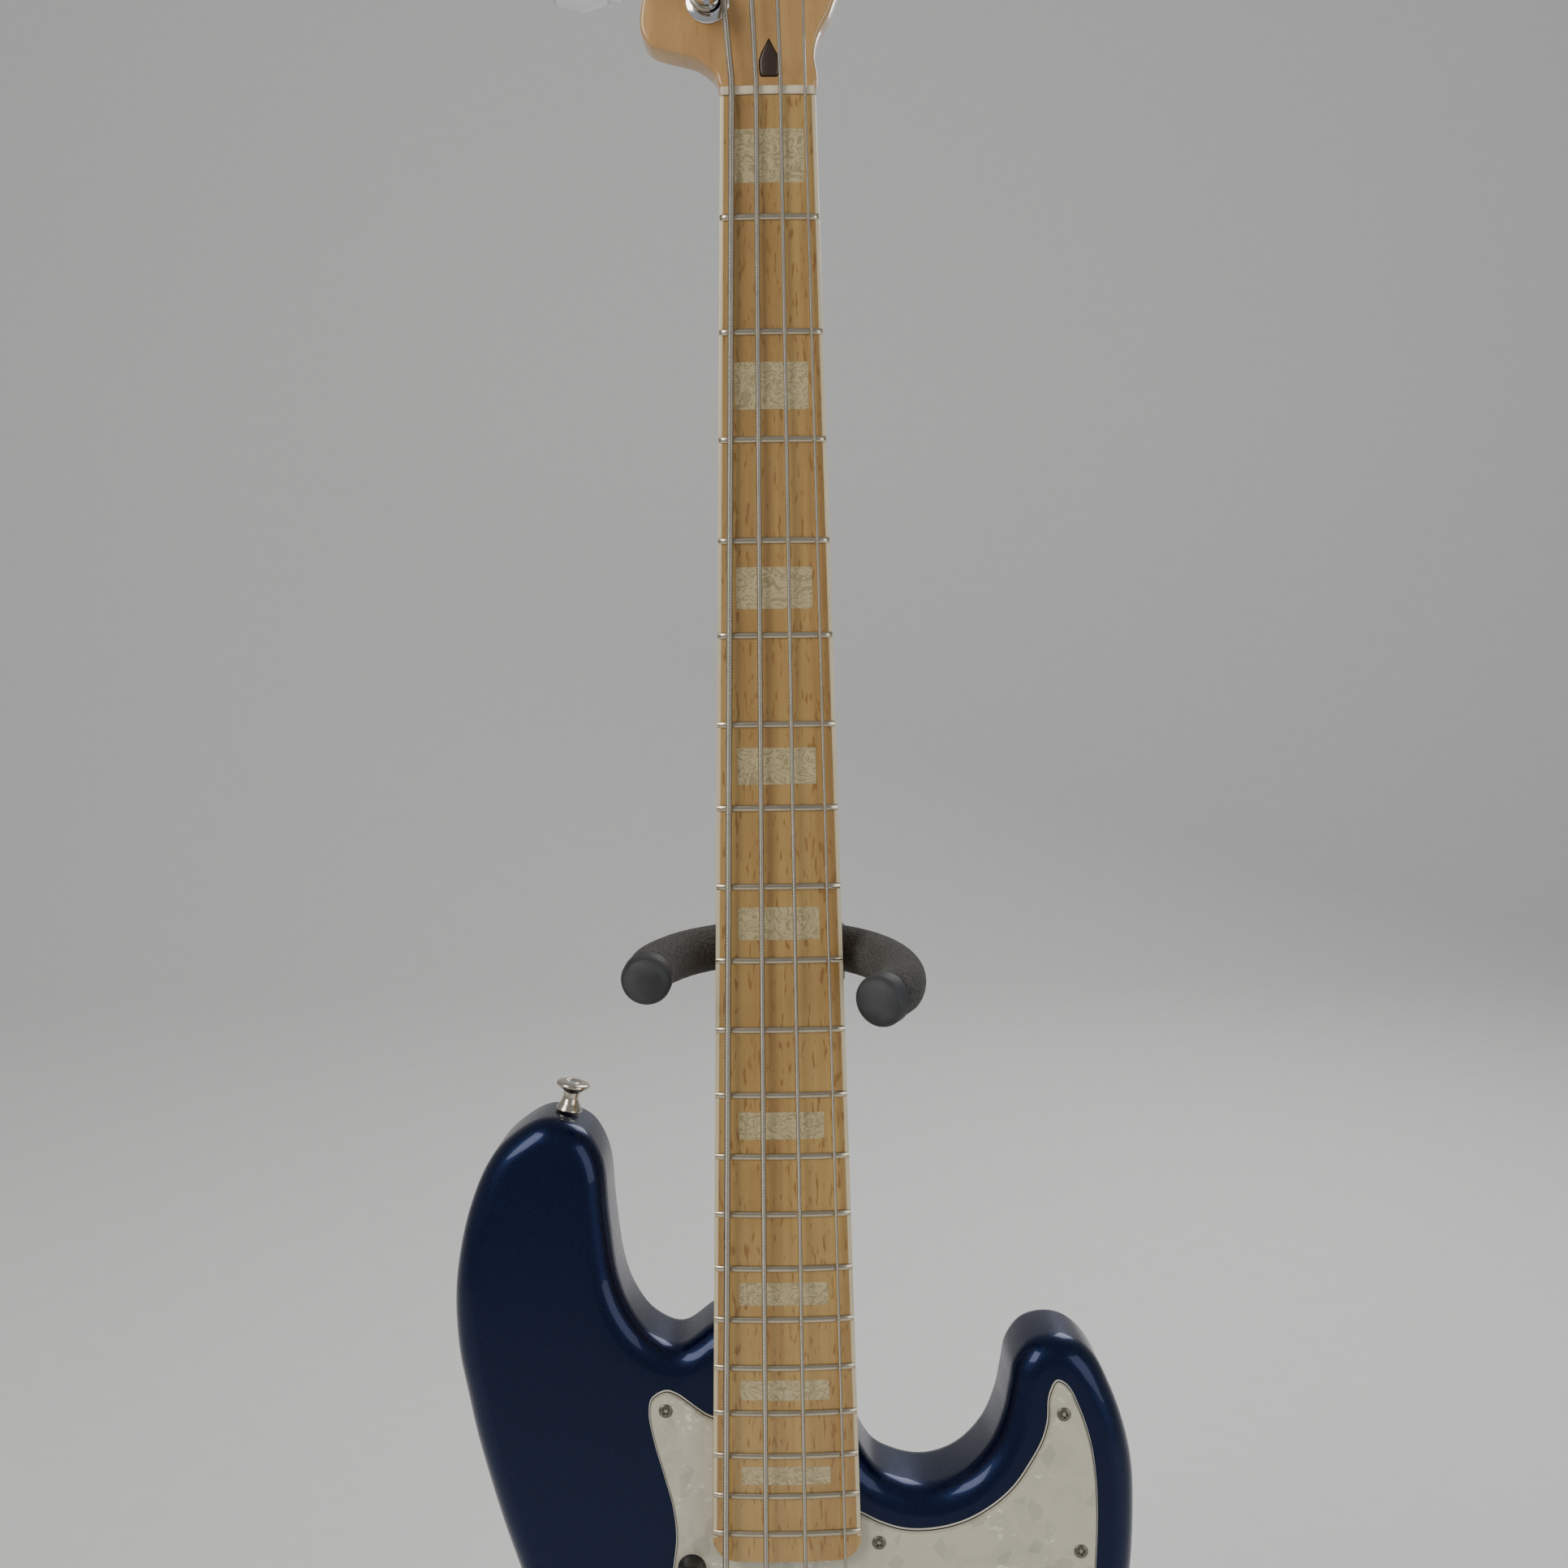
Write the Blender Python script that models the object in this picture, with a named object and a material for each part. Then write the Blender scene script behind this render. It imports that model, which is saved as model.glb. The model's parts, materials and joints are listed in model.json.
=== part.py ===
"""A four-string electric bass resting on a folding tripod stand with a padded yoke and cradle.

Metres, +Z up. The origin is on the floor below the middle of the whole object, and the strings face -Y.
The bass is modelled in its own frame: w runs across the strings to the right, s runs down the strings
from the front edge of the nut, and d runs back from the fingerboard plane. at(w, s, d) gives the x, y, z
of that frame. The stand is modelled round its mast, which is vertical and has its foot at the origin of
the stand's frame. Outlines are lists of (w, s) in millimetres, which spline() makes smooth.
"""

import math

import bmesh
import bpy
from mathutils import Matrix, Vector, geometry

MM = 0.001
GAP = 0.0003  # between pieces that touch
FIT = 0.0004  # round a piece that sits in a cut-out
SLIDE = 0.0004  # round a shaft that turns or slides

# The bass: neck and fingerboard
SCALE_LENGTH = 0.8636
FRETS = 20
BOARD_PAST_LAST_FRET = 0.0121
BOARD_CORNER = 0.010
BOARD_THICK = 0.0062
BOARD_RADIUS = 0.241
NUT_HALF = 0.0193
LAST_FRET_HALF = 0.0311
FRET_WIDTH = 0.0027
FRET_HEIGHT = 0.0011
NUT_THICK = 0.0036
NUT_TOP = 0.0008
NECK_BACK_NUT = 0.0215
NECK_BACK_TWELFTH = 0.0230
HEEL_BACK = 0.0254
HEEL_START = 0.128  # before the board's end
HEEL_FULL = 0.104
ROD_WIDTH = 0.0060
ROD_DEPTH = 0.0080
PLUG_W, PLUG_HALF = 0.0007, 0.0040
PLUG_TIP, PLUG_END = -0.0250, -0.0100
PLUG_THICK = 0.0060

# The bass: headstock and tuners
HEAD_FACE = 0.0070
HEAD_BACK = 0.0215
POST_S = (-0.040, -0.081, -0.122, -0.163)
POST_W = (-0.0238, -0.0140, -0.0040, 0.0060)
POST_RADIUS = 0.0050
POST_HEAD_RADIUS = 0.0066
POST_HEIGHT = 0.0155
POST_HEAD_HEIGHT, POST_NECK = 0.0045, 0.0060  # down from the post's top, to under its head and to its waist
POST_SLOT_WIDTH, POST_SLOT_DEPTH = 0.0024, 0.0040
POST_HOLE = 0.0012  # wider than the post, all round
TUNER_PLATE_HALF, TUNER_PLATE_THICK = 0.0140, 0.0020
TUNER_PLATE_DOWN, TUNER_PLATE_UP = 0.0130, 0.0205  # from the post, towards the nut and away from it
LUG_W, LUG_THICK, LUG_HALF = 0.0120, 0.0040, 0.0045
GEAR_RADIUS = 0.0090
WORM_RADIUS, WORM_HALF_LENGTH, WORM_PLAY = 0.0040, 0.0095, 0.0005
KEY_SHAFT_RADIUS = 0.0023
KEY_REACH = 0.0540
KEY_HALF_LENGTH = 0.0130
KEY_HALF_WIDTH = 0.0110
KEY_THICK = 0.0040
KEY_INNER = 0.0145  # the shaft runs this far past the post
KEY_TURN = math.radians(80.0)  # of each leaf, out of the headstock's plane
TREE_W, TREE_S = 0.0093, -0.0550
TREE_RADIUS, TREE_STEM_RADIUS, TREE_THICK = 0.0080, 0.0020, 0.0020
TREE_UNDER = -0.0002  # depth of the button's underside
TREE_STEM_DEPTH = 0.0040  # of its screw below the headstock's face

# The bass: strings
STRING_NAMES = ("e", "a", "d", "g")
STRING_DIAMETERS = (0.00267, 0.00216, 0.00165, 0.00114)
NUT_STRING_W = (-0.0144, -0.0046, 0.0052, 0.0150)
BRIDGE_STRING_W = (-0.0304, -0.0106, 0.0086, 0.0282)
NUT_RISE = 0.0005  # string above the fret tops
BRIDGE_RISE = 0.0042
LIP_HOLE_D = -0.0030  # depth at which the strings leave the bridge's lip
LIP_DRILL = 0.0060  # half the drill's run through the lip
POST_STRING_D = 0.0010
TREE_SPREAD = 0.0045  # of the two strings under the tree, to each side of its screw

# The bass: body and what is on it
BODY_FACE = 0.0095
BODY_THICK = 0.0445
BODY_EDGE = 0.011
FOREARM_DEPTH = 0.010
BELLY_DEPTH = 0.012
GUARD_THICK = 0.0023
THUMB_WIDTH, THUMB_LENGTH, THUMB_HEIGHT = 0.012, 0.076, 0.010
THUMB_W, THUMB_AFTER_BOARD = -0.0405, 0.0380
PICKUP_LENGTH, PICKUP_WIDTH, PICKUP_DEPTH, PICKUP_TOP = 0.093, 0.0185, 0.026, 0.0035
NECK_PICKUP_BEFORE_BRIDGE = 0.1526
BRIDGE_PICKUP_BEFORE_BRIDGE = 0.0516
CONTROL_TOP = (0.0840, -0.1170)  # w, and s from the bridge
CONTROL_BOTTOM = (0.1040, 0.0330)
CONTROL_HALF = 0.0170
CONTROL_THICK = 0.0016
CONTROL_CAVITY = 0.030
KNOB_RADIUS, KNOB_HEIGHT = 0.0100, 0.0160
KNOB_NAMES = ("neck_volume", "bridge_volume", "tone")
KNOB_SHAFT_RADIUS = 0.0030
KNOB_SPOTS = (0.06, 0.33, 0.60)  # along the plate
POT_RADIUS, POT_DEPTH = 0.0110, 0.0120
JACK_RADIUS, JACK_COLLAR_RADIUS, JACK_COLLAR_HEIGHT, JACK_DEPTH = 0.0048, 0.0075, 0.0030, 0.0200
JACK_BORE = 0.68  # of its radius
JACK_SPOT = 0.90
BRIDGE_WIDTH, BRIDGE_LENGTH, BRIDGE_THICK = 0.0820, 0.0580, 0.0024
BRIDGE_FRONT = 0.0166  # ahead of the saddles' line
BALL_END = 0.0040  # of each string, past the lip
BRIDGE_LIP_TOP = 0.0068
SADDLE_RADIUS, SADDLE_LENGTH = 0.0043, 0.0176
SADDLE_SCREW_RADIUS, SADDLE_FEET = 0.0013, 0.0058  # each foot is this far from the saddle's middle
STRAP_FLANGE_RADIUS, STRAP_HEIGHT = 0.00735, 0.0130
STRAP_BASE_RADIUS, STRAP_WAIST_RADIUS = 0.0050, 0.0036
HORN_BUTTON_W, HORN_BUTTON_S = -0.0925, -0.1840
HORN_BUTTON_LEAN = math.radians(11.0)  # towards the neck
NECK_PLATE_WIDTH, NECK_PLATE_LENGTH, NECK_PLATE_THICK = 0.051, 0.064, 0.0018
NECK_PLATE_BEFORE_END = 0.0330
BOLT_RADIUS, BOLT_LENGTH, BOLT_INSET = 0.0022, 0.0400, 0.0070
BOLT_HEAD_RADIUS, BOLT_HEAD_HEIGHT = 0.0048, 0.0032

# The stand
LEAN = math.radians(8.0)
YOKE_AT = 0.350  # along the neck, from the nut
YOKE_YAW = math.radians(-17.9)
YOKE_RADIUS = 0.0520
YOKE_STEM = 0.0195
YOKE_ARM = 0.0090
YOKE_SPLAY = math.radians(14.0)
ROD_RADIUS = 0.0050
FOAM_RADIUS = 0.00975
CAP_RADIUS, CAP_LENGTH = 0.0103, 0.0100
MAST_TO_NECK = 0.0190  # the mast stands this far to the right of the neck's middle
UPPER_TUBE_RADIUS, UPPER_TUBE_WALL = 0.0080, 0.0012
UPPER_TUBE_INSIDE = 0.180  # of it is in the main tube
MAIN_TUBE_RADIUS = 0.0110
MAIN_TUBE_TOP = 0.440
SOCKET_RADIUS, SOCKET_HEIGHT = 0.0100, 0.0260
SOCKET_ROOF, TUBE_PLAY = 0.0055, 0.0005  # the socket's closed end, and the room under it
COLLAR_RADIUS, COLLAR_HEIGHT = 0.0160, 0.0420
CLAMP_SCREW_RADIUS, CLAMP_KNOB_RADIUS = 0.0030, 0.0150
CLAMP_BOSS, CLAMP_BOSS_WALL = 0.0100, 0.0030
CRADLE_Z = 0.1570
CRADLE_BACK = 0.0200  # the cross tube is this far in front of the mast's axis
CRADLE_HALF = 0.0750
CRADLE_LIP = 0.0450
LIP_CLEARANCE = 0.0110
CRADLE_RING_RADIUS, CRADLE_RING_HEIGHT = 0.0165, 0.0240
HUB_RADIUS, HUB_BOTTOM, HUB_TOP = 0.0240, 0.0860, 0.1300
HUB_FLOOR, HUB_EDGE = 0.0060, 0.0030
LEG_PIVOT_RADIUS, LEG_PIVOT_Z, LEG_PIN_RADIUS = 0.0380, 0.1080, 0.0030
LEG_RADIUS = 0.0080
LEG_REACH = {"rear": 0.220, "left": 0.280, "right": 0.280}
LEG_AZIMUTH = {"rear": 90.0, "left": -140.0, "right": -40.0}
CHEEK_THICK, CHEEK_HALF = 0.0050, 0.0085
FOOT_RADIUS, FOOT_LENGTH, FOOT_END, FOOT_AXIS_Z = 0.0110, 0.0450, 0.0080, 0.0080

# Outlines: (w, s) in millimetres. Those of the upper part are measured from the board's end, and those
# of the lower part from the bridge, so a longer scale makes a longer waist.
BODY_BASS_UPPER = [
    (-22, -100.2), (-32, -94.1), (-45.2, -85.9), (-57, -90.8), (-65.1, -101.2), (-70.3, -115),
    (-73.8, -141), (-75.6, -162.7), (-78.7, -171.9), (-83.9, -179.2), (-94.3, -184.1), (-103.3, -184.2),
    (-118.1, -174.9), (-126.3, -164.1), (-133.7, -146.3), (-138.6, -125.8), (-140.5, -107.9),
    (-139.5, -85.2), (-136, -65.7), (-132.3, -47.4), (-123.1, -13.5), (-110, 28),
]
BODY_LOWER = [
    (-102.5, -195), (-101.5, -162), (-107.5, -128), (-121, -95), (-140, -64), (-158, -38), (-165, -16),
    (-165.5, 4), (-158, 22), (-143, 37), (-120, 50.5), (-90, 63.9), (-56, 76), (-19, 83.7), (19, 86.4),
    (57, 83.7), (94, 76), (128, 63.9), (154, 47), (171, 25), (177, 0), (174, -22), (164, -46),
    (148, -69), (131, -91), (120, -111), (116.5, -130), (119, -150), (127, -174), (135, -196),
]
BODY_TREBLE_UPPER = [
    (143, 41), (147.6, 16.7), (149.2, -16.6), (148.3, -33.7), (144.6, -50.9), (139, -66.3),
    (132.7, -78.5), (124.5, -86), (115.6, -88.2), (104.9, -85.4), (98, -76.7), (95.6, -65.8), (93.1, -54.2),
    (87.2, -40.5), (77.3, -29.8), (67.5, -25), (58, -23.9), (47.3, -26.4), (38.6, -31.3), (30, -45),
    (20, -64), (7, -86), (-7, -99),
]
GUARD_BASS = [
    (-20, -58.4), (-30.8, -58.4), (-46, -68.6), (-50.5, -69.9), (-56.6, -66.5), (-57.9, -60.3),
    (-55.9, -47.8), (-51.8, -32.7), (-48.4, -19.4), (-47.1, -6.8), (-48.4, 5.7), (-52, 28), (-57, 56),
]
GUARD_BASS_LOWER = [(-62, -165), (-64, -148), (-62, -132)]
GUARD_BOTTOM = [(-58, -128.5), (-20, -126), (30, -126), (90, -128)]
GUARD_TREBLE_LOWER = [(101, -132), (107, -150), (116, -175), (123, -196)]
GUARD_TREBLE = [
    (130, 30), (131.3, 8.1), (132.1, -13.1), (131.5, -30), (129.4, -44.9), (124.8, -59.7),
    (119.4, -70.1), (114.9, -72), (111.5, -65.6), (110.6, -54.3), (108.3, -46.1), (102.7, -35.9),
    (96.1, -26.5), (86.8, -18.3), (74.9, -11.9), (62.1, -8.9), (50, -9), (40, -12), (32.5, -15.8),
    (20, -22),
]
HEADSTOCK = [
    (-18.4, -5), (-21.4, -11.5), (-24.8, -14.8), (-29.3, -17.7), (-35.8, -19.6), (-42.3, -21.2),
    (-48, -23.8), (-51.4, -30), (-50.4, -42), (-44, -68), (-34, -108), (-24, -148), (-17, -176),
    (-12, -194), (-4, -208), (8, -217), (21, -220), (32, -214), (36, -203), (33, -190), (29, -176),
    (29.5, -150), (32, -115), (33.5, -80), (31.5, -54), (26.5, -38), (21.3, -28), (19.2, -20),
    (19, -5),
]


def fret_place(number):
    return SCALE_LENGTH * (1 - 2 ** (-number / 12))


BOARD_END = fret_place(FRETS) + BOARD_PAST_LAST_FRET
TWELFTH = fret_place(12)


# Finishes
def finish(name, colour, roughness, metallic=0.0):
    material = bpy.data.materials.new(name)
    material.use_nodes = True
    shader = material.node_tree.nodes["Principled BSDF"]
    shader.inputs["Base Color"].default_value = (*colour, 1)
    shader.inputs["Roughness"].default_value = roughness
    shader.inputs["Metallic"].default_value = metallic
    return material


# Geometry
def at(w, s, d):
    return Vector((w, d, -s))


def from_board_end(points):
    return [(w * MM, s * MM + BOARD_END) for w, s in points]


def from_bridge(points):
    return [(w * MM, s * MM + SCALE_LENGTH) for w, s in points]


def from_nut(points):
    return [(w * MM, s * MM) for w, s in points]


def spline(points, steps, closed=False):
    """Points along a centripetal Catmull-Rom curve, with this many steps from each point to the next."""
    points = [Vector(p) for p in points]
    if closed:
        before, after = points[-1:], points[:2]
    else:
        before = [2 * points[0] - points[1]]
        after = [2 * points[-1] - points[-2]]
    chain = before + points + after
    out = []
    for a, b, c, d in zip(chain, chain[1:], chain[2:], chain[3:]):
        t1 = (b - a).length ** 0.5
        t2 = t1 + (c - b).length ** 0.5
        t3 = t2 + (d - c).length ** 0.5
        for k in range(steps):
            t = t1 + (t2 - t1) * k / steps
            p = a + (b - a) * (t / t1)
            q = b + (c - b) * ((t - t1) / (t2 - t1))
            r = c + (d - c) * ((t - t2) / (t3 - t2))
            pq = p + (q - p) * (t / t2)
            qr = q + (r - q) * ((t - t1) / (t3 - t1))
            out.append(pq + (qr - pq) * ((t - t1) / (t2 - t1)))
    return out if closed else out + points[-1:]


def arc(centre, radius, start, end, steps):
    """Points (x, y) of an arc, angles in degrees."""
    angles = [math.radians(start + (end - start) * k / steps) for k in range(steps + 1)]
    return [(centre[0] + radius * math.cos(a), centre[1] + radius * math.sin(a)) for a in angles]


def rounded_box(half_w, half_s, radius, steps=3):
    x, y = half_w - radius, half_s - radius
    corners = ((x, y, 0), (-x, y, 90), (-x, -y, 180), (x, -y, 270))
    return [p for cx, cy, a in corners for p in arc((cx, cy), radius, a, a + 90, steps)]


def capsule(a, b, radius, steps=6):
    a, b = Vector(a), Vector(b)
    turn = math.degrees(math.atan2(b.y - a.y, b.x - a.x))
    return arc(b, radius, turn - 90, turn + 90, steps) + arc(a, radius, turn + 90, turn + 270, steps)


def fillet(points, radii, steps=5):
    """A polyline whose inner corners are rounded."""
    out = [Vector(points[0])]
    for before, corner, after, radius in zip(points, points[1:], points[2:], radii):
        a, b = (before - corner).normalized(), (after - corner).normalized()
        half = a.angle(b) / 2
        tangent = radius / math.tan(half)
        centre = corner + (a + b).normalized() * (radius / math.sin(half))
        first, last = corner + a * tangent - centre, corner + b * tangent - centre
        for k in range(steps + 1):
            out.append(centre + first.slerp(last, k / steps).normalized() * radius)
    return out + [Vector(points[-1])]


def solid(name, verts, faces, look, parent=None):
    """A new object from points and faces, with its faces turned out."""
    mesh = bpy.data.meshes.new(name)
    mesh.from_pydata([tuple(v) for v in verts], [], faces)
    work = bmesh.new()
    work.from_mesh(mesh)
    bmesh.ops.remove_doubles(work, verts=work.verts, dist=1e-7)
    bmesh.ops.recalc_face_normals(work, faces=work.faces)
    work.to_mesh(mesh)
    work.free()
    mesh.shade_smooth()
    mesh.set_sharp_from_angle(angle=math.radians(35))
    thing = bpy.data.objects.new(name, mesh)
    bpy.context.collection.objects.link(thing)
    thing.parent = parent
    if look:
        mesh.materials.append(look)
    return thing


def loft(rings, closed=False):
    """Points and faces of a skin over rings of equal length, capped at the ends unless it is closed."""
    size = len(rings[0])
    verts = [p for ring in rings for p in ring]
    faces = []
    for k in range(len(rings) - (not closed)):
        low, high = k * size, (k + 1) % len(rings) * size
        faces += [(low + i, low + (i + 1) % size, high + (i + 1) % size, high + i) for i in range(size)]
    if not closed:
        faces += [tuple(range(size)), tuple(range(len(verts) - size, len(verts)))[::-1]]
    return verts, faces


def circle_frames(points):
    """At each point of a path, two directions square to it that don't twist."""
    points = [Vector(p) for p in points]
    tangents = []
    for k in range(len(points)):
        ahead, behind = points[min(k + 1, len(points) - 1)], points[max(k - 1, 0)]
        tangents.append((ahead - behind).normalized())
    side = tangents[0].orthogonal().normalized()
    frames = []
    for point, tangent in zip(points, tangents):
        side = (side - tangent * side.dot(tangent)).normalized()
        frames.append((point, side, tangent.cross(side)))
    return frames


def circle_rings(points, radius, sides):
    angles = [2 * math.pi * k / sides for k in range(sides)]
    return [
        [p + (u * math.cos(a) + v * math.sin(a)) * radius for a in angles]
        for p, u, v in circle_frames(points)
    ]


def tube(points, radius, sides=12):
    return loft(circle_rings(points, radius, sides))


def sleeve(points, outer, inner, sides=14):
    """A tube with a bore from end to end."""
    rings = circle_rings(points, outer, sides) + circle_rings(points, inner, sides)[::-1]
    return loft(rings, closed=True)


def turned(profile, sides=16, closed=False):
    """A solid turned about Z from (radius, z) points. A closed profile gives a ring."""
    angles = [2 * math.pi * k / sides for k in range(sides)]
    rings = [[Vector((max(r, 0) * math.cos(a), max(r, 0) * math.sin(a), z)) for a in angles]
             for r, z in profile]
    return loft(rings, closed)


def placed(shape, origin, axis=(0, 0, 1)):
    """A turned shape moved to an origin, with its Z along an axis."""
    turn = Vector((0, 0, 1)).rotation_difference(Vector(axis)).to_matrix()
    return [turn @ p + Vector(origin) for p in shape[0]], shape[1]


def prism(outline, low, high):
    """An outline of (w, s) made solid from depth low to depth high."""
    return loft([[at(w, s, d) for w, s in outline] for d in (low, high)])


def box(w, s, d):
    """A block between two values of w, of s and of d."""
    return prism([(w[0], s[0]), (w[1], s[0]), (w[1], s[1]), (w[0], s[1])], *d)


def empty(name, parent=None, location=(0, 0, 0), lean=0.0):
    thing = bpy.data.objects.new(name, None)
    bpy.context.collection.objects.link(thing)
    thing.parent = parent
    thing.location = location
    thing.rotation_euler = (-lean, 0, 0)
    return thing


def hide(tool):
    tool.hide_render = True
    tool.display_type = "WIRE"


def combine(target, operation, shapes):
    for k, (verts, faces) in enumerate(shapes):
        tool = solid(f"{target.name}_{operation.lower()}_{k}", verts, faces, None, target.parent)
        tool.location, tool.rotation_euler = target.location, target.rotation_euler
        hide(tool)
        step = target.modifiers.new(tool.name, "BOOLEAN")
        step.operation = operation
        step.object = tool


def cut(target, *shapes):
    combine(target, "DIFFERENCE", shapes)


def join(target, *shapes):
    combine(target, "UNION", shapes)


# Neck
def half_width(s):
    """Half the neck's width at s, with the board's rounded corners at its end."""
    taper = NUT_HALF + (LAST_FRET_HALF - NUT_HALF) * s / fret_place(FRETS)
    past = s - (BOARD_END - BOARD_CORNER)
    if past <= 0:
        return taper
    return taper - BOARD_CORNER + math.sqrt(max(BOARD_CORNER ** 2 - past ** 2, 0))


def end_stations(steps=4):
    start = BOARD_END - BOARD_CORNER
    return [start + BOARD_CORNER * math.sin(math.pi / 2 * k / steps) for k in range(steps + 1)]


def neck_plan(clearance, start):
    """The neck's outline seen from the front, from s = start to its rounded end."""
    right = [(half_width(s) + clearance, s) for s in [start] + end_stations()]
    right[-1] = (right[-1][0], BOARD_END + clearance)
    return right + [(-w, s) for w, s in reversed(right)]


def board_surface(w):
    return w * w / (2 * BOARD_RADIUS)


def blend(value, start, end):
    t = min(max((value - start) / (end - start), 0), 1)
    return t * t * (3 - 2 * t)


def neck_back(s):
    if s < TWELFTH:
        back = NECK_BACK_NUT + (NECK_BACK_TWELFTH - NECK_BACK_NUT) * max(s, 0) / TWELFTH
    else:
        back = NECK_BACK_TWELFTH
    return back + (HEEL_BACK - back) * blend(s, BOARD_END - HEEL_START, BOARD_END - HEEL_FULL)


def neck_ring(s, top, steps=10):
    """A D-shaped section, which grows square at the heel."""
    square = blend(s, BOARD_END - HEEL_START, BOARD_END - HEEL_FULL)
    power = 2 / (2.3 + 9 * square)
    half, deep = half_width(s), neck_back(s) - top
    ring = []
    for k in range(steps + 1):
        a = math.pi * k / steps
        w = math.copysign(abs(math.cos(a)) ** power, math.cos(a)) * half
        ring.append(at(w, s, top + deep * math.sin(a) ** power if 0 < k < steps else top))
    return ring


def bolt_places():
    middle = BOARD_END - NECK_PLATE_BEFORE_END
    w = NECK_PLATE_WIDTH / 2 - BOLT_INSET
    s = NECK_PLATE_LENGTH / 2 - BOLT_INSET
    return [(i * w, middle + j * s) for i in (-1, 1) for j in (-1, 1)]


def rod(start, end, radius, sides=10):
    return tube([start, end], radius, sides)


def plug_outline(more, steps=6):
    """A bullet shape, whose tip points up the headstock."""
    half, round_end = PLUG_HALF + more, 2 * PLUG_HALF
    tip = [(PLUG_W + half * math.cos(a), PLUG_TIP + round_end - (round_end + more) * math.sin(a))
           for a in (math.pi * k / steps for k in range(steps + 1))]
    return tip + [(PLUG_W - half, PLUG_END + more), (PLUG_W + half, PLUG_END + more)]


def make_neck(bass):
    top = BOARD_THICK + GAP
    stations = [0, TWELFTH / 2, TWELFTH, BOARD_END - HEEL_START, BOARD_END - (HEEL_START + HEEL_FULL) / 2,
                BOARD_END - HEEL_FULL] + end_stations()
    rings = [neck_ring(s, top) for s in stations]
    into_head = neck_ring(0, HEAD_FACE + 2 * GAP)
    rings.insert(0, [Vector((p.x * 0.97, p.y, NUT_THICK)) for p in into_head])
    rings.insert(0, [Vector((p.x * 0.85, min(p.y, HEAD_BACK - MM), 0.030)) for p in into_head])
    neck = solid("neck", *loft(rings), WOOD, bass)
    join(neck, prism(spline(from_nut(HEADSTOCK), 1, closed=True), HEAD_FACE, HEAD_BACK))
    rod_w, rod_floor = (-ROD_WIDTH / 2, ROD_WIDTH / 2), top + ROD_DEPTH
    cut(neck, box(rod_w, (0, BOARD_END + MM), (0, rod_floor)),
        box(rod_w, (PLUG_END - 0.002, MM), (HEAD_FACE + 0.003, rod_floor)),
        prism(plug_outline(FIT), 0, HEAD_FACE + PLUG_THICK + FIT))
    cut(neck, *(rod(at(w, s, 0), at(w, s, HEAD_BACK + MM), POST_RADIUS + POST_HOLE)
                for w, s in zip(POST_W, POST_S)))
    cut(neck, *(rod(at(w, s, HEEL_BACK + MM), at(w, s, BODY_FACE + BODY_THICK - BOLT_LENGTH - MM),
                    BOLT_RADIUS + SLIDE) for w, s in bolt_places()))
    stem_end = HEAD_FACE + TREE_STEM_DEPTH
    cut(neck, rod(at(TREE_W, TREE_S, 0), at(TREE_W, TREE_S, stem_end + MM), TREE_STEM_RADIUS + SLIDE))
    return top


def make_truss_rod(bass, top):
    half, deep = ROD_WIDTH / 2 - SLIDE, top + ROD_DEPTH - SLIDE
    middle = (top + deep) / 2
    radius = (deep - top) / 2 - GAP
    shaft = rod(at(0, 0.004, middle), at(0, BOARD_END - 0.004, middle), min(half, radius), 8)
    solid("truss_rod", *shaft, STEEL, bass)
    plug = prism(plug_outline(0), HEAD_FACE - 0.0004, HEAD_FACE + PLUG_THICK)
    solid("truss_rod_plug", *plug, DARK_WOOD, bass)


def make_fretboard(bass):
    """The board and its frets, whose crowns run over it from edge to edge."""
    def ring(s, height, inset=0.0):
        half = half_width(s) - inset
        across = [half * (k / 3 - 1) for k in range(7)]
        crown = [at(w, s, board_surface(w) - height) for w in across]
        return crown + [at(half_width(s), s, BOARD_THICK), at(-half_width(s), s, BOARD_THICK)]

    rings = [ring(GAP, 0)]
    for number in range(1, FRETS + 1):
        middle = fret_place(number)
        for offset, height in ((-1, 0), (-0.6, 0.8), (0, 1), (0.6, 0.8), (1, 0)):
            s = middle + offset * FRET_WIDTH / 2
            rings.append(ring(s, height * FRET_HEIGHT, 0.0006 * height))
    rings += [ring(s, 0) for s in end_stations()]
    solid("fretboard", *loft(rings), BOARD_WOOD, bass)


def make_nut(bass):
    nut = box((-NUT_HALF + GAP, NUT_HALF - GAP), (-NUT_THICK, 0), (-NUT_TOP, BOARD_THICK))
    solid("nut", *nut, BONE, bass)


# Strings, and what they run over
def string_depth(w, diameter, rise):
    """Depth of a string's middle where its underside is this far above the fret tops."""
    return board_surface(w) - FRET_HEIGHT - rise - diameter / 2


def make_strings(bass):
    for k, name in enumerate(STRING_NAMES):
        thick = STRING_DIAMETERS[k]
        far, near = BRIDGE_STRING_W[k], NUT_STRING_W[k]
        far_d, near_d = string_depth(far, thick, BRIDGE_RISE), string_depth(near, thick, NUT_RISE)
        past_post = POST_W[k] + POST_RADIUS + thick / 2 + GAP
        route = [at(far, lip_place() + BALL_END, LIP_HOLE_D), at(far, SCALE_LENGTH, far_d),
                 at(near, -NUT_THICK / 2, near_d)]
        if POST_S[k] < 2 * TREE_S:
            tree = TREE_W + math.copysign(TREE_SPREAD + thick / 2, near - TREE_W)
            route.append(at(tree, TREE_S, TREE_UNDER + thick / 2 + GAP))
        route.append(at(past_post, POST_S[k], POST_STRING_D))
        solid(f"string_{name}", *tube(route, thick / 2, 8), WIRE, bass)


def lip_place():
    return SCALE_LENGTH - BRIDGE_FRONT + BRIDGE_LENGTH


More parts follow.
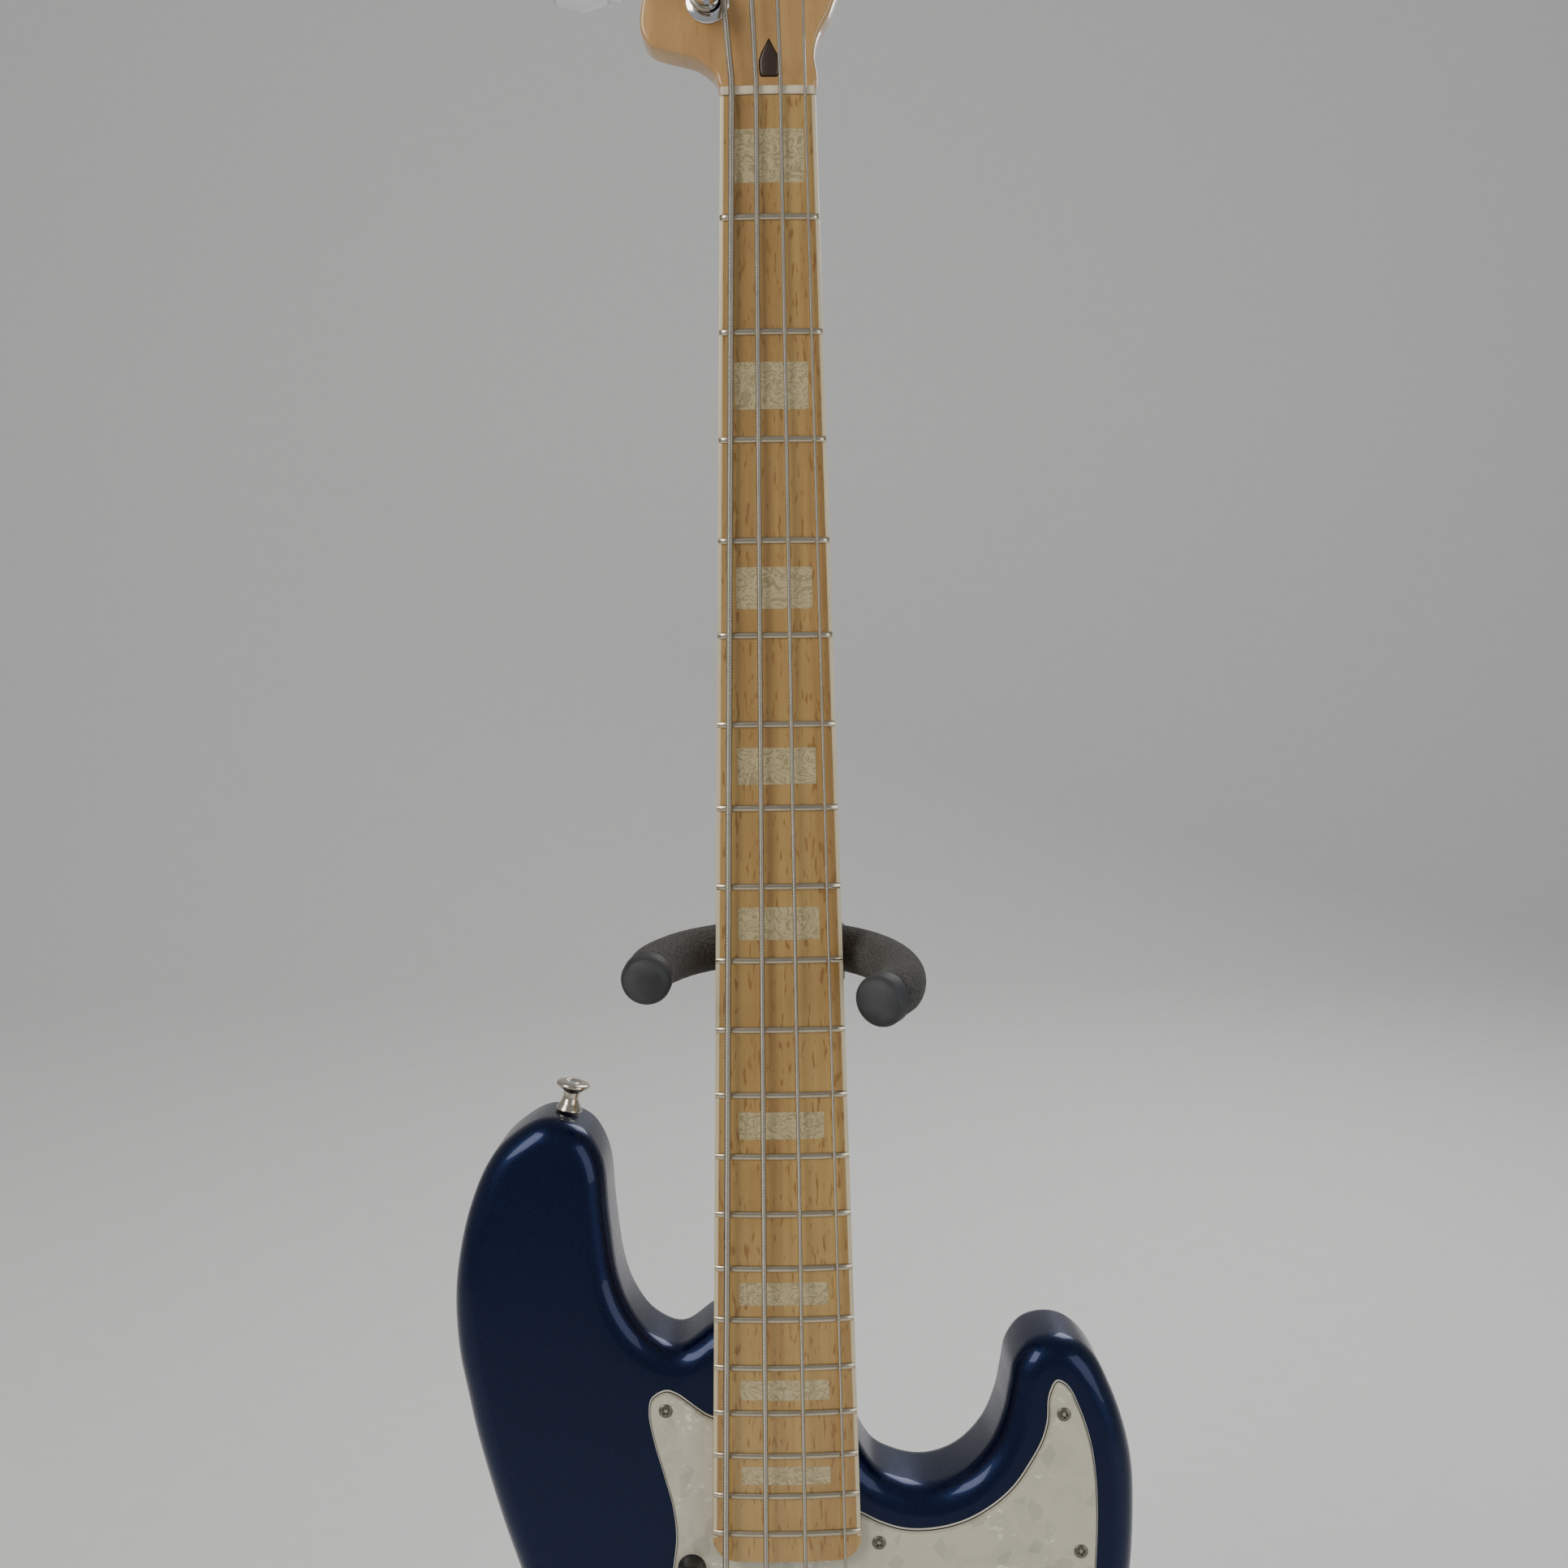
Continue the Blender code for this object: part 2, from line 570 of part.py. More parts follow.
def make_string_tree(bass):
    stem, top = TREE_STEM_RADIUS, TREE_UNDER - TREE_THICK
    foot = HEAD_FACE + TREE_STEM_DEPTH - top
    profile = [(0, 0), (TREE_RADIUS - MM, 0), (TREE_RADIUS, MM), (TREE_RADIUS, TREE_THICK),
               (stem, TREE_THICK), (stem, foot), (0, foot)]
    shape = placed(turned(profile), at(TREE_W, TREE_S, top), (0, 1, 0))
    solid("string_tree", *shape, CHROME, bass)


def saddle_depth(k):
    thick = STRING_DIAMETERS[k]
    return string_depth(BRIDGE_STRING_W[k], thick, BRIDGE_RISE) + thick / 2 + GAP + SADDLE_RADIUS


def make_bridge(bass):
    face = BODY_FACE - GAP
    half, front, lip = BRIDGE_WIDTH / 2, SCALE_LENGTH - BRIDGE_FRONT, lip_place()
    middle = sum(BRIDGE_STRING_W) / 4
    plate = box((middle - half, middle + half), (front, lip), (face - BRIDGE_THICK, face))
    bridge = solid("bridge_plate", *plate, CHROME, bass)
    join(bridge, box((middle - half, middle + half), (lip - BRIDGE_THICK, lip), (-BRIDGE_LIP_TOP, face)))
    for k, w in enumerate(BRIDGE_STRING_W):
        hole = STRING_DIAMETERS[k] / 2 + 2 * SLIDE
        cut(bridge, rod(at(w, lip - LIP_DRILL, LIP_HOLE_D), at(w, lip + LIP_DRILL, LIP_HOLE_D), hole, 8))
        d = saddle_depth(k)
        join(bridge, rod(at(w, lip - MM, d), at(w, SCALE_LENGTH - 0.008, d), SADDLE_SCREW_RADIUS, 8))
        length = SADDLE_LENGTH / 2
        low, high = at(w - length, SCALE_LENGTH, d), at(w + length, SCALE_LENGTH, d)
        saddle = solid(f"saddle_{STRING_NAMES[k]}", *rod(low, high, SADDLE_RADIUS, 12), CHROME, bass)
        foot = face - BRIDGE_THICK - GAP
        join(saddle, *(rod(at(spot, SCALE_LENGTH, d), at(spot, SCALE_LENGTH, foot), SADDLE_SCREW_RADIUS, 8)
                       for spot in (w - SADDLE_FEET, w + SADDLE_FEET)))
        drill = SADDLE_SCREW_RADIUS + SLIDE
        cut(saddle, rod(at(w, SCALE_LENGTH - 0.01, d), at(w, SCALE_LENGTH + 0.01, d), drill, 8))


# Tuners
def make_tuners(bass):
    """Each tuner: a plate behind the headstock, a post with its gear, and a key with its worm.

    The key is above its post, on the side away from the nut.
    """
    back = HEAD_BACK + GAP
    gear_low = TUNER_PLATE_THICK + GAP
    worm_d = gear_low + WORM_RADIUS
    gear_top = worm_d + WORM_RADIUS
    worm_s = -(GEAR_RADIUS + WORM_RADIUS + WORM_PLAY)
    for k, name in enumerate(STRING_NAMES):
        spot = at(POST_W[k], POST_S[k], back)
        flat = box((-TUNER_PLATE_HALF, TUNER_PLATE_HALF), (-TUNER_PLATE_UP, TUNER_PLATE_DOWN),
                   (0, TUNER_PLATE_THICK))
        plate = solid(f"tuner_plate_{name}", *flat, CHROME, bass)
        plate.location = spot
        lug_s, lug_d = (worm_s - LUG_HALF, worm_s + LUG_HALF), (TUNER_PLATE_THICK / 2, worm_d + LUG_HALF)
        join(plate, *(box((w - LUG_THICK / 2, w + LUG_THICK / 2), lug_s, lug_d) for w in (-LUG_W, LUG_W)))
        cut(plate, rod(at(0, 0, -MM), at(0, 0, gear_top), POST_RADIUS + SLIDE, 12),
            rod(at(-2 * LUG_W, worm_s, worm_d), at(2 * LUG_W, worm_s, worm_d), KEY_SHAFT_RADIUS + SLIDE, 10))
        top = -(back - HEAD_FACE) - POST_HEIGHT
        profile = [(0, top), (POST_HEAD_RADIUS - MM, top), (POST_HEAD_RADIUS, top + MM),
                   (POST_HEAD_RADIUS, top + POST_HEAD_HEIGHT), (POST_RADIUS, top + POST_NECK),
                   (POST_RADIUS, gear_low), (GEAR_RADIUS, gear_low), (GEAR_RADIUS, gear_top), (0, gear_top)]
        post = solid(f"tuner_post_{name}", *placed(turned(profile), (0, 0, 0), (0, 1, 0)), CHROME, bass)
        post.location = spot
        half, across = POST_SLOT_WIDTH / 2, POST_HEAD_RADIUS + MM
        cut(post, box((-half, half), (-across, across), (top - MM, top + POST_SLOT_DEPTH)))
        shaft = rod(at(KEY_INNER, 0, 0), at(-KEY_REACH, 0, 0), KEY_SHAFT_RADIUS, 10)
        key = solid(f"tuner_key_{name}", *shaft, CHROME, bass)
        key.location = spot + at(0, worm_s, worm_d)
        worm = rod(at(-WORM_HALF_LENGTH, 0, 0), at(WORM_HALF_LENGTH, 0, 0), WORM_RADIUS, 12)
        join(key, worm, key_leaf())


def key_leaf(steps=20):
    """An oval leaf at the end of a key's shaft, turned about it."""
    turn = Matrix.Rotation(KEY_TURN, 3, "X")
    angles = [2 * math.pi * k / steps for k in range(steps)]
    oval = [(-KEY_REACH + KEY_HALF_LENGTH * math.cos(a), KEY_HALF_WIDTH * math.sin(a)) for a in angles]
    points, faces = prism(oval, -KEY_THICK / 2, KEY_THICK / 2)
    return [turn @ p for p in points], faces


# Body
def body_outline(steps=1):
    points = from_board_end(BODY_BASS_UPPER) + from_bridge(BODY_LOWER) + from_board_end(BODY_TREBLE_UPPER)
    return spline(points, steps, closed=True)


def inset(outline, amount):
    """The outline moved inwards, square to itself."""
    out = []
    for before, point, after in zip(outline[-1:] + outline, outline, outline[1:] + outline[:1]):
        along = (after - before).normalized()
        out.append(point + Vector((along.y, -along.x)) * amount)
    return out


def forearm(w, s):
    """How far the front falls away where the player's arm rests."""
    out = -0.86 * (w + 0.095) + 0.50 * (s - SCALE_LENGTH + 0.064)
    return FOREARM_DEPTH * blend(out, 0.0, 0.085)


def belly(w, s):
    """How deep the back is scooped at the waist."""
    along = 1 - min(abs(s - SCALE_LENGTH + 0.150) / 0.150, 1)
    return BELLY_DEPTH * blend(-w, 0.030, 0.115) * blend(along, 0, 1)


def inside(point, outline):
    hit = False
    for a, b in zip(outline, outline[1:] + outline[:1]):
        if (a.y > point.y) != (b.y > point.y):
            hit ^= point.x < a.x + (point.y - a.y) * (b.x - a.x) / (b.y - a.y)
    return hit


def filled(outline, spacing):
    """Triangles that fill an outline, with a grid of points inside it, so that it can curve."""
    inner = inset(outline, spacing / 2)
    low, high = ([pick(p[i] for p in inner) for i in (0, 1)] for pick in (min, max))
    columns, rows = (int((high[i] - low[i]) / spacing) + 1 for i in (0, 1))
    grid = [Vector((low[0] + (i + 0.5 * (j % 2)) * spacing, low[1] + j * spacing))
            for j in range(rows + 1) for i in range(columns + 1)]
    points = list(outline) + [p for p in grid if inside(p, inner)]
    ring = list(range(len(outline)))
    found = geometry.delaunay_2d_cdt(points, [], [ring], 1, 1e-7)
    return found[0], found[2]


def make_body(bass, spacing=0.036, steps=3):
    outline = body_outline()
    size = len(outline)
    back = BODY_FACE + BODY_THICK
    rings = []
    for k in range(steps, -1, -1):
        a = math.pi / 2 * (1 - k / steps)
        rings.append((inset(outline, BODY_EDGE * (1 - math.sin(a))), BODY_EDGE * (1 - math.cos(a)), 1))
    rings += [(ring, depth, -1) for ring, depth, _ in reversed(rings)]
    verts, faces = [], []
    for ring, depth, side in rings:
        for w, s in ring:
            front = BODY_FACE + depth + forearm(w, s)
            verts.append(at(w, s, front if side > 0 else back - depth - belly(w, s)))
    for k in range(len(rings) - 1):
        low, high = k * size, (k + 1) * size
        faces += [(low + i, low + (i + 1) % size, high + (i + 1) % size, high + i) for i in range(size)]
    points, triangles = filled(rings[0][0], spacing)
    for front in (True, False):
        start = len(verts)
        for w, s in points:
            verts.append(at(w, s, BODY_FACE + forearm(w, s) if front else back - belly(w, s)))
        faces += [tuple(start + i for i in triangle) for triangle in triangles]
    body = solid("body", verts, faces, BLUE_LACQUER, bass)
    cut_body(body, back)


def cut_body(body, back):
    floor = HEEL_BACK + GAP
    cut(body, prism(neck_plan(FIT, BOARD_END - 0.120), 0, floor))
    for w, s in bolt_places():
        cut(body, rod(at(w, s, floor - MM), at(w, s, back + MM), BOLT_RADIUS + SLIDE))
    for before in (NECK_PICKUP_BEFORE_BRIDGE, BRIDGE_PICKUP_BEFORE_BRIDGE):
        hole = pickup_outline(FIT + MM)
        cut(body, prism([(w, s + SCALE_LENGTH - before) for w, s in hole], 0, PICKUP_DEPTH + 0.004))
    ends = control_ends()
    cut(body, prism(capsule(*ends, CONTROL_HALF - 0.003), 0, BODY_FACE + CONTROL_CAVITY))


# Body fittings
def pickup_outline(more):
    return rounded_box(PICKUP_LENGTH / 2 + more, PICKUP_WIDTH / 2 + more, 0.004)


def control_ends():
    return [Vector((w, s + SCALE_LENGTH)) for w, s in (CONTROL_TOP, CONTROL_BOTTOM)]


def make_pickguard(bass):
    face = BODY_FACE - GAP
    bass_side = spline(from_board_end(GUARD_BASS) + from_bridge(GUARD_BASS_LOWER), 1)
    treble_side = spline(from_bridge(GUARD_TREBLE_LOWER) + from_board_end(GUARD_TREBLE), 1)
    outline = bass_side + from_bridge(GUARD_BOTTOM) + treble_side
    guard = solid("pickguard", *prism(outline, face - GUARD_THICK, face), PEARL, bass)
    neck_pickup = [(w, s + SCALE_LENGTH - NECK_PICKUP_BEFORE_BRIDGE) for w, s in pickup_outline(FIT)]
    cut(guard, prism(neck_plan(FIT, BOARD_END - 0.100), 0, face + MM), prism(neck_pickup, 0, face + MM),
        prism(capsule(*control_ends(), CONTROL_HALF + FIT), 0, face + MM))


def make_thumb_rest(bass):
    low = BODY_FACE - GAP - GUARD_THICK - GAP
    start = BOARD_END + THUMB_AFTER_BOARD - THUMB_LENGTH / 2
    half = THUMB_WIDTH / 2
    ends = (THUMB_W, start + half), (THUMB_W, start + THUMB_LENGTH - half)
    rings = [[at(w, s, d) for w, s in capsule(*ends, half - less)]
             for d, less in ((low, 0), (low - THUMB_HEIGHT * 0.7, 0), (low - THUMB_HEIGHT, 0.002))]
    solid("thumb_rest", *loft(rings), BLACK_PLASTIC, bass)


def make_pickups(bass):
    for name, before in (("neck", NECK_PICKUP_BEFORE_BRIDGE), ("bridge", BRIDGE_PICKUP_BEFORE_BRIDGE)):
        outline = [(w, s + SCALE_LENGTH - before) for w, s in pickup_outline(0)]
        solid(f"{name}_pickup", *prism(outline, PICKUP_TOP, PICKUP_DEPTH), BLACK_PLASTIC, bass)


def knob_places():
    top, bottom = control_ends()
    return [top.lerp(bottom, part) for part in KNOB_SPOTS]


def make_controls(bass):
    face = BODY_FACE - GAP
    front = face - CONTROL_THICK
    plate = solid("control_plate", *prism(capsule(*control_ends(), CONTROL_HALF), front, face), CHROME, bass)
    for (w, s), name in zip(knob_places(), KNOB_NAMES):
        join(plate, rod(at(w, s, face - CONTROL_THICK / 2), at(w, s, face + POT_DEPTH), POT_RADIUS, 12),
             rod(at(w, s, face), at(w, s, front - KNOB_HEIGHT * 0.7), KNOB_SHAFT_RADIUS, 10))
        bore, top = KNOB_SHAFT_RADIUS + SLIDE, KNOB_HEIGHT
        profile = [(bore, 0), (KNOB_RADIUS, 0), (KNOB_RADIUS, top * 0.94), (KNOB_RADIUS * 0.93, top),
                   (0, top), (0, top * 0.75), (bore, top * 0.75)]
        knob = solid(f"knob_{name}", *placed(turned(profile, 20, closed=True), (0, 0, 0), (0, -1, 0)),
                     CHROME, bass)
        knob.location = at(w, s, front - GAP)
    w, s = control_ends()[0].lerp(control_ends()[1], JACK_SPOT)
    cut(plate, rod(at(w, s, 0), at(w, s, face + MM), JACK_RADIUS + SLIDE, 12))
    bore, high = JACK_RADIUS * JACK_BORE, -JACK_COLLAR_HEIGHT
    profile = [(bore, high), (JACK_COLLAR_RADIUS, high), (JACK_COLLAR_RADIUS, -GAP), (JACK_RADIUS, -GAP),
               (JACK_RADIUS, JACK_DEPTH), (bore, JACK_DEPTH)]
    jack = placed(turned(profile, 12, closed=True), at(w, s, front), (0, 1, 0))
    solid("output_jack", *jack, CHROME, bass)


def strap_button(name, bass, spot, way):
    profile = [(0, 0), (STRAP_BASE_RADIUS, 0), (STRAP_WAIST_RADIUS, STRAP_HEIGHT * 0.35),
               (STRAP_WAIST_RADIUS * 1.1, STRAP_HEIGHT * 0.72),
               (STRAP_FLANGE_RADIUS, STRAP_HEIGHT * 0.84), (STRAP_FLANGE_RADIUS, STRAP_HEIGHT * 0.95),
               (STRAP_FLANGE_RADIUS * 0.75, STRAP_HEIGHT), (0, STRAP_HEIGHT)]
    solid(name, *placed(turned(profile), spot, way), CHROME, bass)


def make_strap_buttons(bass):
    middle = BODY_FACE + BODY_THICK / 2
    way = (math.sin(HORN_BUTTON_LEAN), 0, math.cos(HORN_BUTTON_LEAN))
    strap_button("strap_button_horn", bass, at(HORN_BUTTON_W, BOARD_END + HORN_BUTTON_S - GAP, middle), way)
    strap_button("strap_button_base", bass, at(0, body_bottom() + GAP, middle), (0, 0, -1))


def body_bottom():
    return max(p.y for p in body_outline())


def make_neck_plate(bass):
    back = BODY_FACE + BODY_THICK + GAP
    middle = BOARD_END - NECK_PLATE_BEFORE_END
    outline = rounded_box(NECK_PLATE_WIDTH / 2, NECK_PLATE_LENGTH / 2, 0.004)
    plate = solid("neck_plate", *prism([(w, s + middle) for w, s in outline], back, back + NECK_PLATE_THICK),
                  CHROME, bass)
    for w, s in bolt_places():
        end = back - GAP - BOLT_LENGTH
        top = back + NECK_PLATE_THICK
        wide, high = BOLT_HEAD_RADIUS, BOLT_HEAD_HEIGHT
        head = turned([(0, 0), (wide, 0), (wide, high * 0.45), (wide * 0.6, high * 0.95), (0, high)], 10)
        join(plate, rod(at(w, s, end), at(w, s, back + MM), BOLT_RADIUS, 10),
             placed(head, at(w, s, top - 0.0004), (0, 1, 0)))


# Stand
def bottom_circle():
    """Centre and radius of the curve of the body's bottom edge, in w and s."""
    a, b, c = (Vector(p) for p in from_bridge([(-56, 76), (19, 86.4), (94, 76)]))
    half, rise = (c.x - a.x) / 2, b.y - a.y
    radius = (half ** 2 + rise ** 2) / (2 * rise)
    return Vector((b.x, b.y - radius)), radius


def cradle_s():
    """The s of the cradle's arms, which the body's bottom edge rests on."""
    centre, radius = bottom_circle()
    reach = radius + FOAM_RADIUS + GAP
    return centre.y + math.sqrt(reach ** 2 - CRADLE_HALF ** 2)


def yoke_centre():
    """Middle of the yoke's half circle, seen from above, with the mast at 0, 0."""
    reach = YOKE_STEM + YOKE_RADIUS
    return Vector((math.sin(YOKE_YAW) * reach, -math.cos(YOKE_YAW) * reach))


def bass_place():
    """Where the nut's front edge comes, in y and z from the mast's foot, and the yoke's height.

    The body's bottom rests on the cradle and the back of the neck lies against the yoke's foam.
    """
    sine, cosine = math.sin(LEAN), math.cos(LEAN)
    centre, inner = yoke_centre(), YOKE_RADIUS - FOAM_RADIUS
    beside = centre.x + MAST_TO_NECK
    touching = [(p.y, centre.y + math.sqrt(inner ** 2 - (p.x - beside) ** 2))
                for p in neck_ring(YOKE_AT, BOARD_THICK, 24)]
    depth, foam_y = max(touching, key=lambda pair: pair[0] - pair[1])
    along = cradle_s() - CRADLE_BACK * sine + CRADLE_Z * cosine
    yoke_z = (along - YOKE_AT - foam_y * sine) / cosine
    behind = depth + 2 * GAP - foam_y * cosine + yoke_z * sine
    return along * sine - behind * cosine, along * cosine + behind * sine, yoke_z


def pipe(low, high, outer, inner, sides=16):
    return turned([(inner, low), (outer, low), (outer, high), (inner, high)], sides, closed=True)


def socket_top():
    return bass_place()[2] + ROD_RADIUS * 0.8


def make_mast(stand):
    top = socket_top() - SOCKET_ROOF - TUBE_PLAY
    main_foot = HUB_BOTTOM + HUB_FLOOR
    solid("main_tube", *pipe(main_foot + GAP, MAIN_TUBE_TOP, MAIN_TUBE_RADIUS, UPPER_TUBE_RADIUS + SLIDE),
          BLACK_STEEL, stand)
    low = MAIN_TUBE_TOP - UPPER_TUBE_INSIDE
    solid("upper_tube", *pipe(low, top, UPPER_TUBE_RADIUS, UPPER_TUBE_RADIUS - UPPER_TUBE_WALL),
          BLACK_STEEL, stand)
    make_collar(stand)


def make_collar(stand):
    low, high = MAIN_TUBE_TOP - COLLAR_HEIGHT * 0.6, MAIN_TUBE_TOP + COLLAR_HEIGHT * 0.4
    wide, narrow, step = MAIN_TUBE_RADIUS + GAP, UPPER_TUBE_RADIUS + SLIDE, MAIN_TUBE_TOP + GAP
    profile = [(wide, low), (COLLAR_RADIUS - MM, low), (COLLAR_RADIUS, low + MM), (COLLAR_RADIUS, high - MM),
               (COLLAR_RADIUS - MM, high), (narrow, high), (narrow, step), (wide, step)]
    collar = solid("clamp_collar", *turned(profile, 20, closed=True), BLACK_PLASTIC, stand)
    middle = (step + high) / 2
    boss = COLLAR_RADIUS + CLAMP_BOSS
    radius = CLAMP_SCREW_RADIUS + CLAMP_BOSS_WALL
    join(collar, rod((0, MAIN_TUBE_RADIUS, middle), (0, boss, middle), radius, 12))
    drill = CLAMP_SCREW_RADIUS + SLIDE
    cut(collar, rod((0, UPPER_TUBE_RADIUS, middle), (0, boss + MM, middle), drill, 10))
    lobes = [CLAMP_KNOB_RADIUS * (0.86 + 0.14 * math.cos(3 * 2 * math.pi * k / 24)) for k in range(24)]
    outline = [(r * math.cos(2 * math.pi * k / 24), r * math.sin(2 * math.pi * k / 24))
               for k, r in enumerate(lobes)]
    start = boss + GAP
    knob = solid("clamp_knob", *prism(outline, start, start + 0.010), BLACK_PLASTIC, stand)
    knob.location = (0, 0, middle)
    tip = UPPER_TUBE_RADIUS + SLIDE
    join(knob, rod((0, tip, 0), (0, start + MM, 0), CLAMP_SCREW_RADIUS, 10))


def yoke_path(steps=14):
    """The yoke's U, seen from above: an arm, the half circle and an arm, with the mast behind it at 0, 0."""
    middle = -(YOKE_STEM + YOKE_RADIUS)
    tip_x = YOKE_RADIUS - YOKE_ARM * math.sin(YOKE_SPLAY)
    tip_y = middle - YOKE_ARM * math.cos(YOKE_SPLAY)
    ring = arc((0, middle), YOKE_RADIUS, 180, 0, steps)
    return [Vector((x, y, 0)) for x, y in [(-tip_x, tip_y)] + ring + [(tip_x, tip_y)]]


def end_cap(name, points, parent, look):
    """A rubber cap just past the last point of a foam-covered tube."""
    end, before = Vector(points[-1]), Vector(points[-2])
    way = (end - before).normalized()
    profile = [(0, GAP), (CAP_RADIUS, GAP), (CAP_RADIUS, CAP_LENGTH * 0.6),
               (CAP_RADIUS * 0.75, CAP_LENGTH * 0.92), (0, CAP_LENGTH)]
    return solid(name, *placed(turned(profile), end, way), look, parent)


def make_yoke(stand):
    """All of it turns on the upper tube, so it hangs from an empty on the mast's axis."""
    pivot = empty("yoke_pivot", stand, (0, 0, bass_place()[2]))
    pivot.rotation_euler = (0, 0, YOKE_YAW)
    path = yoke_path()
    yoke = solid("yoke_tube", *tube(path, ROD_RADIUS), BLACK_STEEL, pivot)
    top = ROD_RADIUS * 0.8
    bore, wall, roof = UPPER_TUBE_RADIUS + SLIDE, top - SOCKET_HEIGHT, top - SOCKET_ROOF
    cup = [(0, top), (SOCKET_RADIUS, top), (SOCKET_RADIUS, wall), (bore, wall), (bore, roof), (0, roof)]
    stem = rod((0, -SOCKET_RADIUS * 0.9, 0), (0, -YOKE_STEM, 0), ROD_RADIUS * 0.78, 12)
    join(yoke, turned(cup, 16, closed=True), stem)
    foam = solid("yoke_foam", *sleeve(path, FOAM_RADIUS, ROD_RADIUS + GAP), FOAM, pivot)
    stem_slit = rod((0, 0, 0), (0, -YOKE_STEM, 0), ROD_RADIUS * 0.78 + GAP, 12)
    clear, half = SOCKET_RADIUS + GAP, SOCKET_HEIGHT
    cut(foam, stem_slit, turned([(0, -half), (clear, -half), (clear, half), (0, half)]))
    end_cap("yoke_cap_left", path[::-1], pivot, RUBBER)
    end_cap("yoke_cap_right", path, pivot, RUBBER)


def cradle_points(nut_y, nut_z):
    """Corners of one side of the cradle: crossbar's middle, its bend, the front bend and the lip's top."""
    sine, cosine = math.sin(LEAN), math.cos(LEAN)
    depth = (-CRADLE_BACK - nut_y) * cosine - (CRADLE_Z - nut_z) * sine
    lip_depth = BODY_FACE - LIP_CLEARANCE - FOAM_RADIUS
    forward, up = Vector((0, -cosine, sine)), Vector((0, sine, cosine))
    bend = Vector((CRADLE_HALF, -CRADLE_BACK, CRADLE_Z))
    front = bend + forward * (depth - lip_depth)
    return [Vector((0, -CRADLE_BACK, CRADLE_Z)), bend, front, front + up * CRADLE_LIP]


def make_cradle(stand):
    nut_y, nut_z, _ = bass_place()
    middle, bend, front, tip = cradle_points(nut_y, nut_z)

    def mirrored(points):
        return [Vector((-p.x, p.y, p.z)) for p in points]

    half = [middle, bend, front, tip]
    right = fillet(half, (0.022, 0.016))[1:]
    cradle = solid("cradle_tube", *tube(mirrored(right)[::-1] + right, ROD_RADIUS), BLACK_STEEL, stand)
    low, high = CRADLE_Z - CRADLE_RING_HEIGHT / 2, CRADLE_Z + CRADLE_RING_HEIGHT / 2
    join(cradle, pipe(low, high, CRADLE_RING_RADIUS, MAIN_TUBE_RADIUS + GAP))
    start = bend.lerp(front, 0.30)
    sides = {"right": fillet([start, front, tip], (0.016,))}
    sides["left"] = mirrored(sides["right"])
    for side, path in sides.items():
        solid(f"cradle_foam_{side}", *sleeve(path, FOAM_RADIUS, ROD_RADIUS + GAP), FOAM, stand)
        end_cap(f"cradle_cap_{side}", path, stand, RUBBER)


def make_hub(stand):
    floor, bore = HUB_BOTTOM + HUB_FLOOR, MAIN_TUBE_RADIUS + GAP
    rim = HUB_RADIUS - HUB_EDGE
    profile = [(0, HUB_BOTTOM), (rim, HUB_BOTTOM), (HUB_RADIUS, HUB_BOTTOM + HUB_EDGE),
               (HUB_RADIUS, HUB_TOP - HUB_EDGE), (rim, HUB_TOP), (bore, HUB_TOP), (bore, floor), (0, floor)]
    hub = solid("hub", *turned(profile, 20, closed=True), BLACK_PLASTIC, stand)
    reach = LEG_PIVOT_RADIUS + LEG_RADIUS
    inner, outer = LEG_RADIUS + SLIDE, LEG_RADIUS + SLIDE + CHEEK_THICK
    low, high = LEG_PIVOT_Z - CHEEK_HALF, LEG_PIVOT_Z + CHEEK_HALF
    for azimuth in LEG_AZIMUTH.values():
        turn = Matrix.Rotation(math.radians(azimuth), 3, "Z")
        for side in (-1, 1):
            corners = [Vector((x, side * y, z)) for z in (low, high)
                       for x, y in ((HUB_RADIUS * 0.7, inner), (reach, inner), (reach, outer),
                                    (HUB_RADIUS * 0.7, outer))]
            join(hub, loft([[turn @ p for p in corners[:4]], [turn @ p for p in corners[4:]]]))
        across = inner + CHEEK_THICK / 2
        ends = [turn @ Vector((LEG_PIVOT_RADIUS, y, LEG_PIVOT_Z)) for y in (-across, across)]
        join(hub, rod(*ends, LEG_PIN_RADIUS, 12))


def make_leg(stand, name):
    """A leg and its foot, with their origins on the pin that the leg folds about. The leg points along X."""
    run = LEG_REACH[name] - LEG_PIVOT_RADIUS
    drop = LEG_PIVOT_Z - FOOT_AXIS_Z
    end = Vector((run, 0, -drop))
    way = end.normalized()
    tube_end = end - way * FOOT_END
    start = -way * LEG_RADIUS * 0.6
    leg = solid(f"leg_{name}", *rod(start, tube_end, LEG_RADIUS, 14), BLACK_STEEL, stand)
    outer = rod(end - way * FOOT_LENGTH, end, FOOT_RADIUS, 16)
    foot = solid(f"foot_{name}", *outer, RUBBER, stand)
    turn = math.radians(LEG_AZIMUTH[name])
    for piece in (leg, foot):
        piece.rotation_euler = (0, 0, turn)
        piece.location = Matrix.Rotation(turn, 3, "Z") @ Vector((LEG_PIVOT_RADIUS, 0, LEG_PIVOT_Z))
    cut(leg, rod((0, -0.02, 0), (0, 0.02, 0), LEG_PIN_RADIUS + SLIDE, 12))
    floor = -LEG_PIVOT_Z
    slab = [[Vector((x, y, z)) for x, y in ((0, -0.03), (run + 0.03, -0.03), (run + 0.03, 0.03), (0, 0.03))]
            for z in (floor - 0.03, floor)]
    cut(foot, rod(end - way * (FOOT_LENGTH + MM), tube_end + way * GAP, LEG_RADIUS + GAP, 14), loft(slab))


